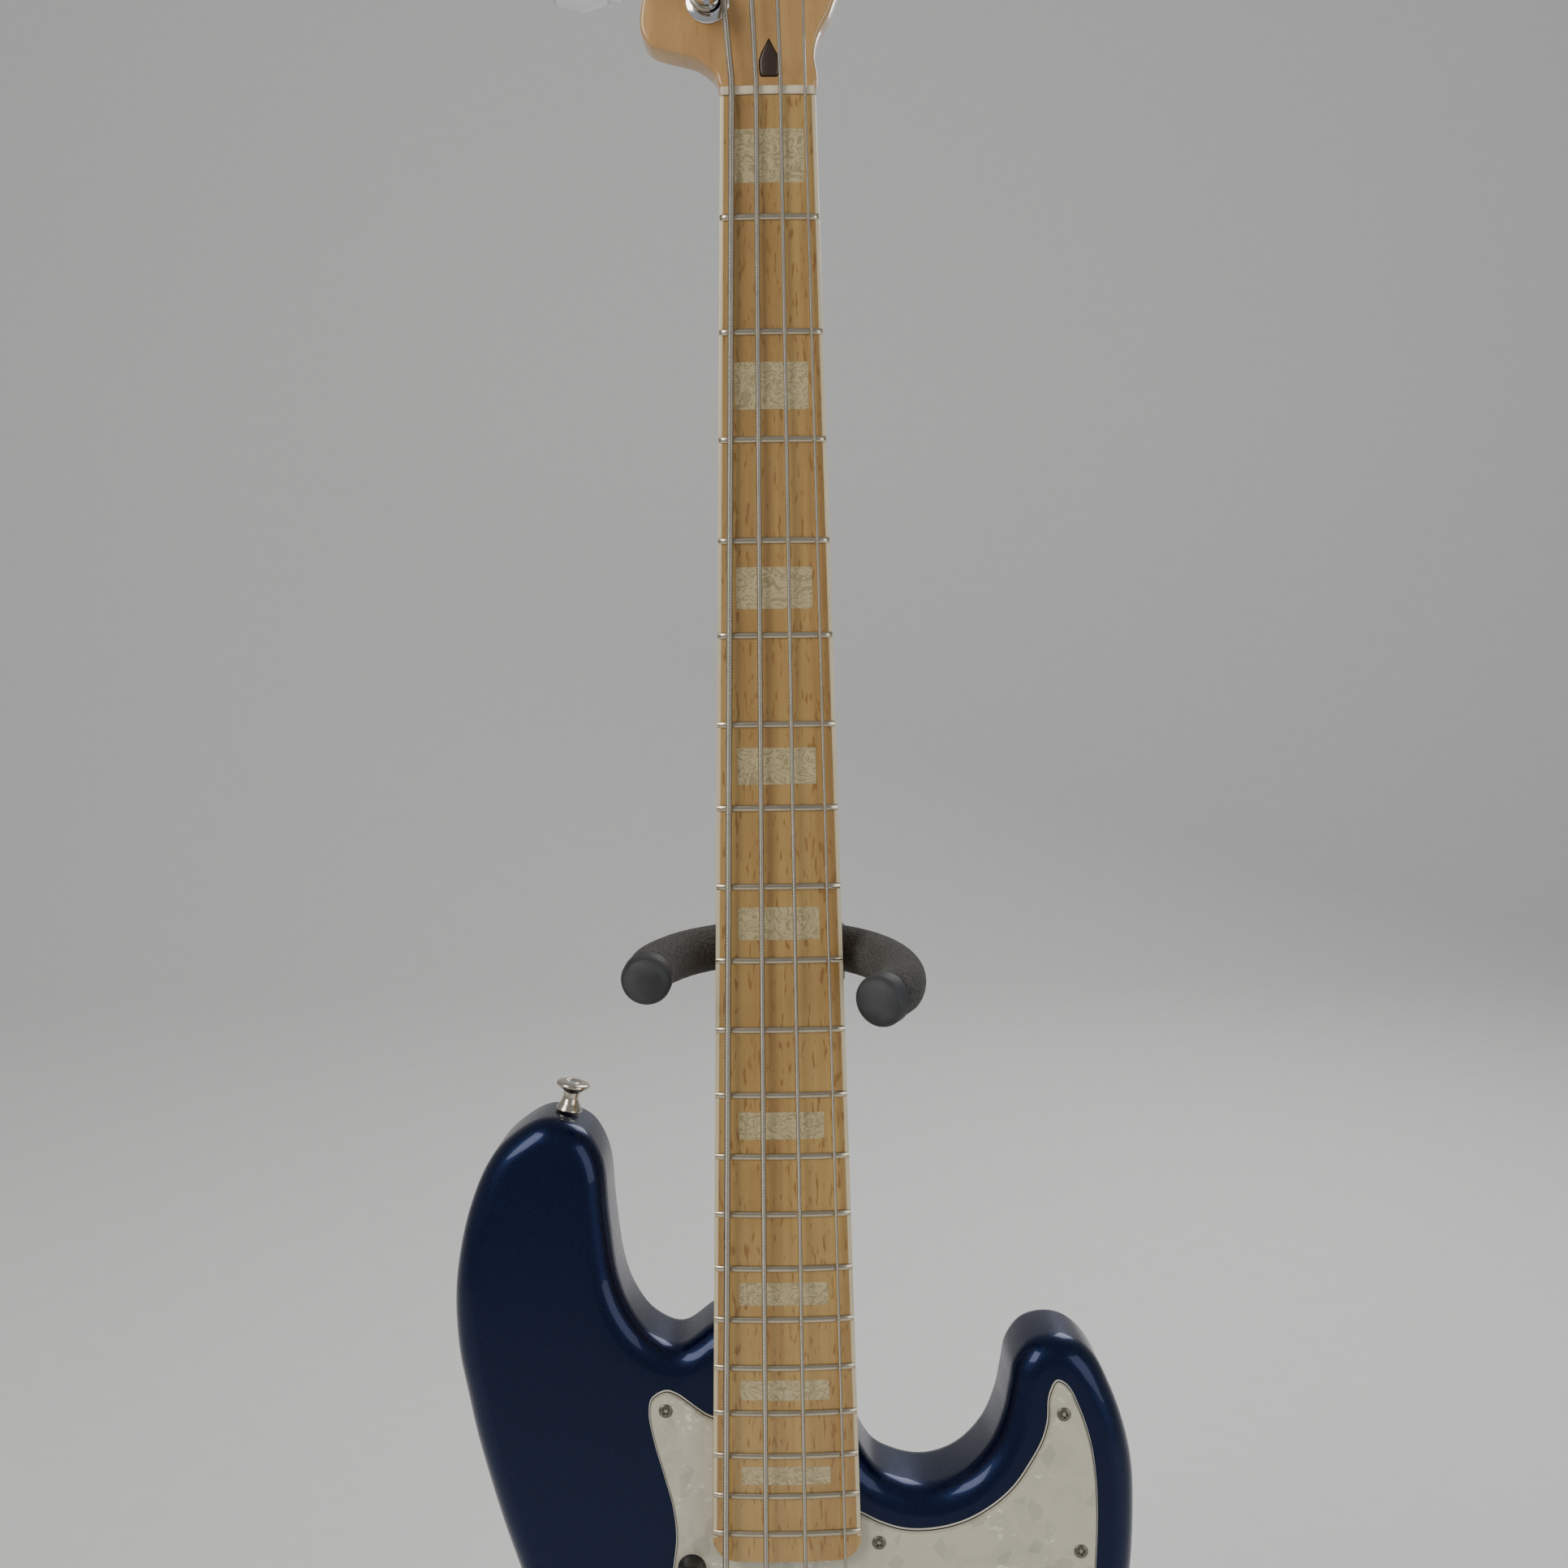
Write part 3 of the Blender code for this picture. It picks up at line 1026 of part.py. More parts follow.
# Assembly
def make_bass(stand):
    nut_y, nut_z, _ = bass_place()
    bass = empty("bass_frame", stand, (-MAST_TO_NECK, nut_y, nut_z), LEAN)
    make_truss_rod(bass, make_neck(bass))
    make_fretboard(bass)
    make_nut(bass)
    make_string_tree(bass)
    make_strings(bass)
    make_tuners(bass)
    make_body(bass)
    make_pickguard(bass)
    make_thumb_rest(bass)
    make_pickups(bass)
    make_controls(bass)
    make_bridge(bass)
    make_strap_buttons(bass)
    make_neck_plate(bass)


def centre_on_floor(frame):
    """Moves the frame so that the origin is below the middle of everything, at the height of the feet."""
    bpy.context.view_layer.update()
    graph = bpy.context.evaluated_depsgraph_get()
    corners = []
    for thing in bpy.data.objects:
        if thing.type == "MESH" and not thing.hide_render:
            shape = thing.evaluated_get(graph).data
            corners += [thing.matrix_world @ v.co for v in shape.vertices]
    low, high = (Vector([pick(p[i] for p in corners) for i in range(3)]) for pick in (min, max))
    frame.location = (-(low.x + high.x) / 2, -(low.y + high.y) / 2, -low.z)


for old in list(bpy.data.objects):
    bpy.data.objects.remove(old)

WOOD = finish("maple", (0.52, 0.30, 0.11), 0.30)
BOARD_WOOD = finish("amber_maple", (0.38, 0.21, 0.08), 0.22)
DARK_WOOD = finish("walnut", (0.05, 0.025, 0.012), 0.45)
BONE = finish("bone", (0.75, 0.68, 0.52), 0.35)
BLUE_LACQUER = finish("midnight_blue_lacquer", (0.005, 0.018, 0.06), 0.08, 0.35)
PEARL = finish("white_pearl_plastic", (0.62, 0.58, 0.48), 0.25)
CHROME = finish("chrome", (0.80, 0.80, 0.82), 0.12, 1.0)
WIRE = finish("roundwound_steel", (0.55, 0.54, 0.50), 0.35, 1.0)
STEEL = finish("plain_steel", (0.45, 0.45, 0.46), 0.40, 1.0)
BLACK_PLASTIC = finish("black_plastic", (0.015, 0.015, 0.016), 0.35)
BLACK_STEEL = finish("black_painted_steel", (0.02, 0.02, 0.022), 0.40)
FOAM = finish("charcoal_foam", (0.045, 0.043, 0.040), 0.95)
RUBBER = finish("black_rubber", (0.025, 0.026, 0.027), 0.60)

stand_frame = empty("stand_frame")
make_hub(stand_frame)
for leg_name in LEG_REACH:
    make_leg(stand_frame, leg_name)
make_mast(stand_frame)
make_yoke(stand_frame)
make_cradle(stand_frame)
make_bass(stand_frame)
centre_on_floor(stand_frame)
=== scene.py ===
import json
import math

import bmesh
import bpy
from mathutils import Matrix, Vector, geometry

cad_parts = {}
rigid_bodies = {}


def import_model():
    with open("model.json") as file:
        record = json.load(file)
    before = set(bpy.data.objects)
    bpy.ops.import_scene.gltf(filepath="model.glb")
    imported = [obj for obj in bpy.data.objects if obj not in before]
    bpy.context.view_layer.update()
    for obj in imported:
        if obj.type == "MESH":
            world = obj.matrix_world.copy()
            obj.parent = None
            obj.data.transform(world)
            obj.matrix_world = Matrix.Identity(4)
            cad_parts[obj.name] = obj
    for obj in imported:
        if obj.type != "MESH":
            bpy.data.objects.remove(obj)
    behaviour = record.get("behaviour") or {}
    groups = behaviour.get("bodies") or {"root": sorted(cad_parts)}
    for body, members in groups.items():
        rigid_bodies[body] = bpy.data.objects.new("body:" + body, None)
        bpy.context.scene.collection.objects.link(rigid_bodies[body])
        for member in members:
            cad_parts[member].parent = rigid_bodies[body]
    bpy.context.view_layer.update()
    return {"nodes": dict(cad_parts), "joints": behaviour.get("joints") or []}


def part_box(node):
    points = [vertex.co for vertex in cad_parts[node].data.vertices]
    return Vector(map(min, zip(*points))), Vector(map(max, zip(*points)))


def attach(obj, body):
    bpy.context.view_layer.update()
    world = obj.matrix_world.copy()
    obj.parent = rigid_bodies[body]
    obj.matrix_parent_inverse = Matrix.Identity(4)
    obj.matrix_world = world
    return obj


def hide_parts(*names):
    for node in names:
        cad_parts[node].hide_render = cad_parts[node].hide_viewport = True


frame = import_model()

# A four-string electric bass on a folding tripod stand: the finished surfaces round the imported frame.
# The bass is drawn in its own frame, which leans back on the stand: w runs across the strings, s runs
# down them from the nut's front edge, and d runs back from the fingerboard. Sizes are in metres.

MM = 0.001
GAP = 0.0003  # between pieces that lie against each other
JOINTS = {joint["name"]: joint for joint in frame["joints"]}

# Neck and fingerboard
SCALE_LENGTH = 0.8636
FRETS = 20
BOARD_PAST_LAST_FRET = 0.0121
BOARD_CORNER = 0.010
BOARD_THICK = 0.0062
BOARD_RADIUS = 0.241
BINDING = 0.0017
NUT_HALF = 0.0193
LAST_FRET_HALF = 0.0311
FRET_WIDTH, FRET_HEIGHT = 0.0027, 0.0011
NUT_THICK = 0.0036
NECK_BACK_NUT, NECK_BACK_TWELFTH = 0.0215, 0.0230
HEEL_BACK, HEEL_START, HEEL_FULL = 0.0254, 0.128, 0.104
INLAY_FRETS = (1, 3, 5, 7, 9, 12, 15, 17, 19)
INLAY_SHARE = 0.44  # of the space between two frets

# Headstock and tuners
HEAD_FACE, HEAD_BACK, HEAD_EDGE = 0.0070, 0.0215, 0.0016
POST_S = (-0.040, -0.081, -0.122, -0.163)
POST_W = (-0.0238, -0.0140, -0.0040, 0.0060)
POST_RADIUS, POST_HEAD_RADIUS, POST_HEIGHT = 0.0050, 0.0066, 0.0155
BUSHING_RADIUS = 0.0090
TUNER_PLATE_THICK = 0.0020
GEAR_RADIUS, GEAR_TEETH = 0.0090, 20
WORM_RADIUS = 0.0040
KEY_SHAFT_RADIUS, KEY_REACH, KEY_HALF_LENGTH, KEY_HALF_WIDTH, KEY_THICK = 0.0023, 0.054, 0.013, 0.011, 0.004
KEY_TURN = math.radians(80.0)  # of each leaf, out of the headstock's plane
TREE_W, TREE_S, TREE_RADIUS, TREE_UNDER = 0.0093, -0.0550, 0.0080, -0.0002
PLUG_W, PLUG_HALF, PLUG_TIP, PLUG_END, PLUG_THICK = 0.0007, 0.0040, -0.0250, -0.0100, 0.0060

# Strings
STRING_NAMES = ("e", "a", "d", "g")
STRING_DIAMETERS = (0.00267, 0.00216, 0.00165, 0.00114)
NUT_STRING_W = (-0.0144, -0.0046, 0.0052, 0.0150)
BRIDGE_STRING_W = (-0.0304, -0.0106, 0.0086, 0.0282)
NUT_RISE, BRIDGE_RISE = 0.0005, 0.0042
LIP_HOLE_D, POST_STRING_D = -0.0030, 0.0010

# Body and what is on it
BODY_FACE, BODY_THICK, BODY_EDGE = 0.0095, 0.0445, 0.011
FOREARM_DEPTH, BELLY_DEPTH = 0.010, 0.012
GUARD_THICK = 0.0023
THUMB_WIDTH, THUMB_LENGTH, THUMB_HEIGHT = 0.012, 0.076, 0.010
THUMB_W, THUMB_AFTER_BOARD = -0.0405, 0.0380
PICKUP_LENGTH, PICKUP_WIDTH, PICKUP_DEPTH, PICKUP_TOP = 0.093, 0.0185, 0.026, 0.0035
PICKUPS_BEFORE_BRIDGE = {"neck": 0.1526, "bridge": 0.0516}
CONTROL_TOP, CONTROL_BOTTOM = (0.0840, -0.1170), (0.1040, 0.0330)
CONTROL_HALF, CONTROL_THICK, CONTROL_CAVITY = 0.0170, 0.0016, 0.030
KNOB_RADIUS, KNOB_HEIGHT, KNOB_SHAFT_RADIUS = 0.0100, 0.0160, 0.0030
KNOB_SPOTS = {"neck_volume": 0.06, "bridge_volume": 0.33, "tone": 0.60}
JACK_SPOT, JACK_RADIUS = 0.90, 0.0048
BRIDGE_WIDTH, BRIDGE_LENGTH, BRIDGE_THICK = 0.0820, 0.0580, 0.0024
BRIDGE_FRONT, BRIDGE_LIP_TOP = 0.0166, 0.0068
SADDLE_RADIUS, SADDLE_LENGTH, SADDLE_SCREW_RADIUS = 0.0043, 0.0176, 0.0013
STRAP_FLANGE_RADIUS, STRAP_HEIGHT = 0.00735, 0.0130
HORN_BUTTON_W, HORN_BUTTON_S = -0.0925, -0.1840
HORN_BUTTON_LEAN = math.radians(11.0)  # towards the neck
NECK_PLATE_WIDTH, NECK_PLATE_LENGTH, NECK_PLATE_THICK = 0.051, 0.064, 0.0018
NECK_PLATE_BEFORE_END, BOLT_INSET = 0.0330, 0.0070

# Stand
YOKE_RADIUS, YOKE_STEM, YOKE_ARM, YOKE_SPLAY = 0.0520, 0.0195, 0.0090, math.radians(14.0)
YOKE_YAW = math.radians(-17.9)
ROD_RADIUS, FOAM_RADIUS, CAP_RADIUS, CAP_LENGTH = 0.0050, 0.00975, 0.0103, 0.0100
UPPER_TUBE_RADIUS, MAIN_TUBE_RADIUS = 0.0080, 0.0110
SOCKET_RADIUS, SOCKET_HEIGHT = 0.0100, 0.0260
COLLAR_RADIUS, COLLAR_HEIGHT = 0.0160, 0.0420
CLAMP_SCREW_RADIUS, CLAMP_KNOB_RADIUS = 0.0030, 0.0150
CRADLE_Z, CRADLE_BACK, CRADLE_HALF, CRADLE_LIP, LIP_CLEARANCE = 0.1570, 0.0200, 0.0750, 0.0450, 0.0110
CRADLE_RING_RADIUS, CRADLE_RING_HEIGHT = 0.0165, 0.0240
HUB_RADIUS, HUB_BOTTOM, HUB_TOP = 0.0240, 0.0860, 0.1300
LEG_PIVOT_RADIUS, LEG_PIVOT_Z, LEG_PIN_RADIUS, LEG_RADIUS = 0.0380, 0.1080, 0.0030, 0.0080
LEG_REACH = {"rear": 0.220, "left": 0.280, "right": 0.280}
LEG_AZIMUTH = {"rear": 90.0, "left": -140.0, "right": -40.0}
CHEEK_THICK = 0.0050
FOOT_RADIUS, FOOT_LENGTH, FOOT_END, FOOT_AXIS_Z = 0.0110, 0.0450, 0.0080, 0.0080

# Outlines: (w, s) in millimetres, from the board's end for the upper part and from the bridge for the lower
BODY_BASS_UPPER = [
    (-22, -100.2), (-32, -94.1), (-45.2, -85.9), (-57, -90.8), (-65.1, -101.2), (-70.3, -115),
    (-73.8, -141), (-75.6, -162.7), (-78.7, -171.9), (-83.9, -179.2), (-94.3, -184.1), (-103.3, -184.2),
    (-118.1, -174.9), (-126.3, -164.1), (-133.7, -146.3), (-138.6, -125.8), (-140.5, -107.9),
    (-139.5, -85.2), (-136, -65.7), (-132.3, -47.4), (-123.1, -13.5), (-110, 28),
]
BODY_LOWER = [
    (-102.5, -195), (-101.5, -162), (-107.5, -128), (-121, -95), (-140, -64), (-158, -38), (-165, -16),
    (-165.5, 4), (-158, 22), (-143, 37), (-120, 50.5), (-90, 63.9), (-56, 76), (-19, 83.7), (19, 86.4),
    (57, 83.7), (94, 76), (128, 63.9), (154, 47), (171, 25), (177, 0), (174, -22), (164, -46),
    (148, -69), (131, -91), (120, -111), (116.5, -130), (119, -150), (127, -174), (135, -196),
]
BODY_TREBLE_UPPER = [
    (143, 41), (147.6, 16.7), (149.2, -16.6), (148.3, -33.7), (144.6, -50.9), (139, -66.3),
    (132.7, -78.5), (124.5, -86), (115.6, -88.2), (104.9, -85.4), (98, -76.7), (95.6, -65.8), (93.1, -54.2),
    (87.2, -40.5), (77.3, -29.8), (67.5, -25), (58, -23.9), (47.3, -26.4), (38.6, -31.3), (30, -45),
    (20, -64), (7, -86), (-7, -99),
]
GUARD_BASS = [
    (-20, -58.4), (-30.8, -58.4), (-46, -68.6), (-50.5, -69.9), (-56.6, -66.5), (-57.9, -60.3),
    (-55.9, -47.8), (-51.8, -32.7), (-48.4, -19.4), (-47.1, -6.8), (-48.4, 5.7), (-52, 28), (-57, 56),
]
GUARD_BASS_LOWER = [(-62, -165), (-64, -148), (-62, -132)]
GUARD_BOTTOM = [(-58, -128.5), (-20, -126), (30, -126), (90, -128)]
GUARD_TREBLE_LOWER = [(101, -132), (107, -150), (116, -175), (123, -196)]
GUARD_TREBLE = [
    (130, 30), (131.3, 8.1), (132.1, -13.1), (131.5, -30), (129.4, -44.9), (124.8, -59.7),
    (119.4, -70.1), (114.9, -72), (111.5, -65.6), (110.6, -54.3), (108.3, -46.1), (102.7, -35.9),
    (96.1, -26.5), (86.8, -18.3), (74.9, -11.9), (62.1, -8.9), (50, -9), (40, -12), (32.5, -15.8),
    (20, -22),
]
HEADSTOCK = [
    (-18.4, -5), (-21.4, -11.5), (-24.8, -14.8), (-29.3, -17.7), (-35.8, -19.6), (-42.3, -21.2),
    (-48, -23.8), (-51.4, -30), (-50.4, -42), (-44, -68), (-34, -108), (-24, -148), (-17, -176),
    (-12, -194), (-4, -208), (8, -217), (21, -220), (32, -214), (36, -203), (33, -190), (29, -176),
    (29.5, -150), (32, -115), (33.5, -80), (31.5, -54), (26.5, -38), (21.3, -28), (19.2, -20),
    (19, -5),
]
GUARD_SCREWS_UPPER = [(-50.5, -61.9), (117.5, -58.2), (38.9, -3.9), (124.4, 1.0)]
GUARD_SCREWS_LOWER = [(-56, -176), (-57, -134), (0, -131), (60, -131), (104, -152)]


def fret_place(number):
    return SCALE_LENGTH * (1 - 2 ** (-number / 12))


BOARD_END = fret_place(FRETS) + BOARD_PAST_LAST_FRET
TWELFTH = fret_place(12)
CORNER_START = BOARD_END - BOARD_CORNER


# Where the frame puts the bass and the stand
def at(w, s, d):
    return Vector((w, d, -s))


def bass_frame():
    """The matrix from the bass's own frame to the object's, from the joint of the low string's post."""
    joint = JOINTS["tuner_post_e_turn"]
    lean = math.atan2(joint["axis"][2], -joint["axis"][1])
    turn = Matrix.Rotation(-lean, 4, "X")
    spot = turn @ at(POST_W[0], POST_S[0], HEAD_BACK + GAP)
    return Matrix.Translation(Vector(joint["pos_m"]) - spot) @ turn


BASS = bass_frame()
yoke_pos = Vector(JOINTS["yoke_swivel"]["pos_m"])
STAND = Matrix.Translation((yoke_pos.x, yoke_pos.y, 0))
YOKE = Matrix.Translation(yoke_pos) @ Matrix.Rotation(YOKE_YAW, 4, "Z")
YOKE_Z = yoke_pos.z
COLLAR_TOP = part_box("clamp_collar")[1].z


# Which of the record's finishes each material belongs to
SLOTS = {
    "maple": "maple", "amber_maple": "amber_maple", "walnut": "walnut", "bone": "bone",
    "cream_binding": "bone", "midnight_blue_lacquer": "blue_lacquer", "white_pearl_plastic": "pearl_plastic",
    "pearl_block": "pearl_plastic", "white_ply": "pearl_plastic", "chrome": "chrome",
    "fret_nickel": "chrome",
    "roundwound_steel": "roundwound_steel", "plain_steel": "plain_steel", "aged_screw_steel": "plain_steel",
    "black_ply": "black_plastic", "black_plastic": "black_plastic", "warm_nickel": "chrome",
    "black_painted_steel": "black_painted_steel", "charcoal_foam": "foam", "black_rubber": "rubber",
}


# Shading: a small kit for building materials from arithmetic
class Term:
    """A number inside a shader. Arithmetic on it adds Math nodes."""

    def __init__(self, look, socket):
        self.look, self.socket = look, socket

    def __add__(self, other):
        return self.look.math("ADD", self, other)

    def __sub__(self, other):
        return self.look.math("SUBTRACT", self, other)

    def __rsub__(self, other):
        return self.look.math("SUBTRACT", other, self)

    def __mul__(self, other):
        return self.look.math("MULTIPLY", self, other)

    def __truediv__(self, other):
        return self.look.math("DIVIDE", self, other)

    def __abs__(self):
        return self.look.math("ABSOLUTE", self)

    def __pow__(self, other):
        return self.look.math("POWER", self, other)

    __radd__ = __add__
    __rmul__ = __mul__

    def sine(self):
        return self.look.math("SINE", self)

    def step(self, start, end):
        """0 below start, 1 above end, and smooth between them."""
        node = self.look.node("MapRange", {"interpolation_type": "SMOOTHSTEP"},
                              {0: self, 1: start, 2: end, 3: 0.0, 4: 1.0})
        return Term(self.look, node.outputs[0])


class Look:
    """A material, whose uniform values are set at once and whose varying ones are fed in later."""

    def __init__(self, name, colour, roughness, metallic=0.0, **more):
        self.material = bpy.data.materials.new(name)
        self.material["slot"] = SLOTS.get(name, name)
        self.material.use_nodes = True
        self.tree = self.material.node_tree
        self.shader = self.tree.nodes["Principled BSDF"]
        self.set("Base Color", (*colour, 1))
        self.set("Roughness", roughness)
        self.set("Metallic", metallic)
        for key, value in more.items():
            self.set(key.replace("_", " ").title().replace("Ior", "IOR"), value)

    def set(self, key, value):
        if isinstance(value, Term):
            self.tree.links.new(value.socket, self.shader.inputs[key])
        else:
            self.shader.inputs[key].default_value = value

    def node(self, kind, settings, inputs):
        made = self.tree.nodes.new("ShaderNode" + kind)
        for key, value in settings.items():
            setattr(made, key, value)
        for key, value in inputs.items():
            if isinstance(value, Term):
                self.tree.links.new(value.socket, made.inputs[key])
            else:
                made.inputs[key].default_value = value
        return made

    def math(self, operation, *values):
        made = self.node("Math", {"operation": operation}, dict(enumerate(values)))
        return Term(self, made.outputs[0])

    def place(self, scale=(1, 1, 1)):
        """A point of the piece in its own frame, in metres, with each direction scaled."""
        point = Term(self, self.node("TexCoord", {}, {}).outputs["Object"])
        made = self.node("VectorMath", {"operation": "MULTIPLY"}, {0: point, 1: scale})
        return Term(self, made.outputs[0])

    def noise(self, point, scale, detail=3.0, roughness=0.5, distortion=0.0):
        made = self.node("TexNoise", {}, {"Vector": point, "Scale": scale, "Detail": detail,
                                          "Roughness": roughness, "Distortion": distortion})
        return Term(self, made.outputs[0])

    def cells(self, point, scale, feature="F1", output="Distance"):
        made = self.node("TexVoronoi", {"feature": feature}, {"Vector": point, "Scale": scale})
        return Term(self, made.outputs[output])

    def shades(self, point, scale):
        """A random number for each of many small cells."""
        made = self.node("SeparateColor", {}, {0: self.cells(point, scale, output="Color")})
        return Term(self, made.outputs[0])

    def along(self):
        """How far along its wire a point is, which wires carry as an attribute."""
        made = self.node("Attribute", {"attribute_name": "along"}, {})
        return Term(self, made.outputs["Fac"])

    def mix(self, factor, a, b):
        a, b = (v if isinstance(v, Term) else (*v, 1) for v in (a, b))
        made = self.node("Mix", {"data_type": "RGBA"}, {0: factor, 6: a, 7: b})
        return Term(self, made.outputs[2])

    def bump(self, height, distance, strength=1.0):
        made = self.node("Bump", {}, {"Height": height, "Distance": distance, "Strength": strength})
        self.set("Normal", Term(self, made.outputs[0]))
        return self


def wood(name, light, dark, roughness, coat, grain=60.0, figure=0.5, streaks=0.25):
    """Close-grained wood whose grain runs along the piece's Z."""
    look = Look(name, light, roughness, coat_weight=coat, coat_roughness=0.04)
    bands = look.noise(look.place((1, 1, 0.05)), grain, 4.0, 0.55, 0.6)
    fibre = look.noise(look.place((1, 1, 0.02)), grain * 14, 2.0, 0.6)
    flecks = look.noise(look.place((1, 1, 0.22)), grain * 9, 1.0, 0.5)
    curl = look.noise(look.place((0.35, 0.35, 1)), grain * 1.3, 2.0, 0.5)
    amount = bands.step(0.34, 0.70) * 0.55 + fibre * 0.35 + flecks.step(0.58, 0.72) * streaks
    amount = amount + (curl - 0.5) * figure
    look.set("Base Color", look.mix(amount, light, dark))
    look.set("Roughness", fibre * 0.12 + (roughness - 0.06))
    return look.bump(fibre + flecks, 0.00002, 0.35)


def metal(name, colour, roughness, scale=700.0, brushed=(1, 1, 1)):
    """Plated or polished metal with faint wear."""
    look = Look(name, colour, roughness, 1.0)
    haze = look.noise(look.place(brushed), scale, 3.0, 0.6)
    cloud = look.noise(look.place(), 45.0, 2.0)
    look.set("Roughness", haze * 0.08 + cloud * 0.08 + (roughness - 0.06))
    dull = tuple(v * 0.86 for v in colour)
    look.set("Base Color", look.mix(cloud.step(0.35, 0.75), colour, dull))
    return look.bump(haze, 0.000006, 0.25)


def plastic(name, colour, roughness, grain=1200.0, depth=0.00002):
    look = Look(name, colour, roughness)
    fine = look.noise(look.place(), grain, 2.0)
    cloud = look.noise(look.place(), 30.0, 3.0)
    look.set("Base Color", look.mix(cloud, colour, tuple(v * 1.35 + 0.002 for v in colour)))
    look.set("Roughness", fine * 0.12 + cloud * 0.10 + (roughness - 0.10))
    return look.bump(fine, depth, 0.4)


def blue_lacquer():
    """Dark blue metallic colour under deep clear coat: the flakes are finer than a hair."""
    deep, bright = (0.0007, 0.0035, 0.022), (0.0020, 0.014, 0.072)
    look = Look("midnight_blue_lacquer", deep, 0.34, 0.80, coat_weight=0.40, coat_roughness=0.03,
                coat_ior=1.42)
    spark = look.shades(look.place(), 2600.0)
    cloud = look.noise(look.place(), 9.0, 2.0)
    look.set("Base Color", look.mix(spark * 0.45 + cloud * 0.35, deep, bright))
    look.set("Roughness", spark * 0.16 + 0.26)
    wave = look.noise(look.place(), 55.0, 1.0)
    return look.bump(wave, 0.00003, 0.12)


def pearl_plastic():
    """Celluloid pearl: a pale ground with greyer patches and clusters of small bright chips."""
    ground, grey, bright = (0.56, 0.525, 0.40), (0.40, 0.38, 0.295), (0.82, 0.80, 0.68)
    look = Look("white_pearl_plastic", ground, 0.18, coat_weight=0.4, coat_roughness=0.05)
    cloud = look.noise(look.place(), 60.0, 3.0, 0.5, 1.2)
    patches = look.shades(look.place((1, 1, 0.8)), 170.0).step(0.70, 0.95)
    chips = look.shades(look.place((1, 1, 1.7)), 420.0).step(0.72, 0.92)
    clusters = look.noise(look.place(), 34.0, 3.0, 0.6, 0.8).step(0.48, 0.64)
    base = look.mix(patches * 0.55 + cloud.step(0.35, 0.75) * 0.45, ground, grey)
    look.set("Base Color", look.mix(chips * clusters, base, bright))
    look.set("Roughness", cloud * 0.10 + 0.13)
    return look.bump(cloud, 0.00001, 0.2)


def pearl_inlay():
    """Pearl cut from sheet, with shifting grey and cream bands."""
    light, dark = (0.53, 0.43, 0.23), (0.34, 0.27, 0.13)
    look = Look("pearl_block", light, 0.14, coat_weight=0.8, coat_roughness=0.04)
    swirl = look.noise(look.place((1, 1, 1.4)), 75.0, 3.0, 0.5, 2.4)
    bands = abs((swirl * 22.0).sine())
    look.set("Base Color", look.mix(bands.step(0.15, 0.95), dark, light))
    look.set("Roughness", bands * 0.10 + 0.10)
    return look


def wound_wire():
    """Steel wrap wire over a core, one turn every 0.45 mm: painted shade in its grooves, painted highlight
    on crests.
    """
    look = Look("roundwound_steel", (0.48, 0.46, 0.41), 0.30, 1.0)
    turns = abs((look.along() * (math.pi / 0.00045)).sine())
    tarnish = look.noise(look.place(), 60.0, 3.0)
    # painted shade in the grooves between turns and painted highlight on their crests, from the turns mask;
    # tarnish darkens it at random
    look.set("Base Color", look.mix(turns * (tarnish * 0.5 + 0.5), (0.20, 0.18, 0.145), (0.66, 0.61, 0.50)))
    look.set("Roughness", tarnish * 0.2 + 0.22)
    return look.bump(turns, 0.00012, 0.9)


def foam_look():
    """Open-cell foam: rough and matt, with small pits, each painted darker as shade."""
    look = Look("charcoal_foam", (0.043, 0.041, 0.037), 0.95)
    pits = look.cells(look.place(), 900.0)
    lumps = look.noise(look.place(), 240.0, 4.0, 0.65)
    # base colour darker in each pit, which is painted shade, with lumps that vary the tone at random
    look.set("Base Color", look.mix(pits.step(0.10, 0.60) * 0.7 + lumps * 0.3, (0.020, 0.019, 0.017),
                                    (0.082, 0.078, 0.070)))
    return look.bump(pits * 0.6 + lumps, 0.0006, 0.9)


def rubber_look():
    look = Look("black_rubber", (0.028, 0.029, 0.030), 0.62)
    fine = look.noise(look.place(), 1500.0, 3.0, 0.6)
    bloom = look.noise(look.place(), 70.0, 3.0)
    look.set("Base Color", look.mix(bloom.step(0.35, 0.75), (0.018, 0.018, 0.019), (0.050, 0.051, 0.052)))
    look.set("Roughness", bloom * 0.25 + 0.48)
    return look.bump(fine, 0.00008, 0.6)


def painted_steel():
    """Black powder coat with its fine orange-peel."""
    look = Look("black_painted_steel", (0.016, 0.016, 0.017), 0.38, coat_weight=0.25)
    peel = look.noise(look.place(), 900.0, 2.0, 0.5)
    scuffs = look.noise(look.place((1, 1, 0.2)), 300.0, 5.0, 0.7)
    look.set("Base Color", look.mix(scuffs.step(0.60, 0.80), (0.014, 0.014, 0.015), (0.035, 0.035, 0.037)))
    look.set("Roughness", peel * 0.12 + scuffs * 0.12 + 0.28)
    return look.bump(peel, 0.00004, 0.5)


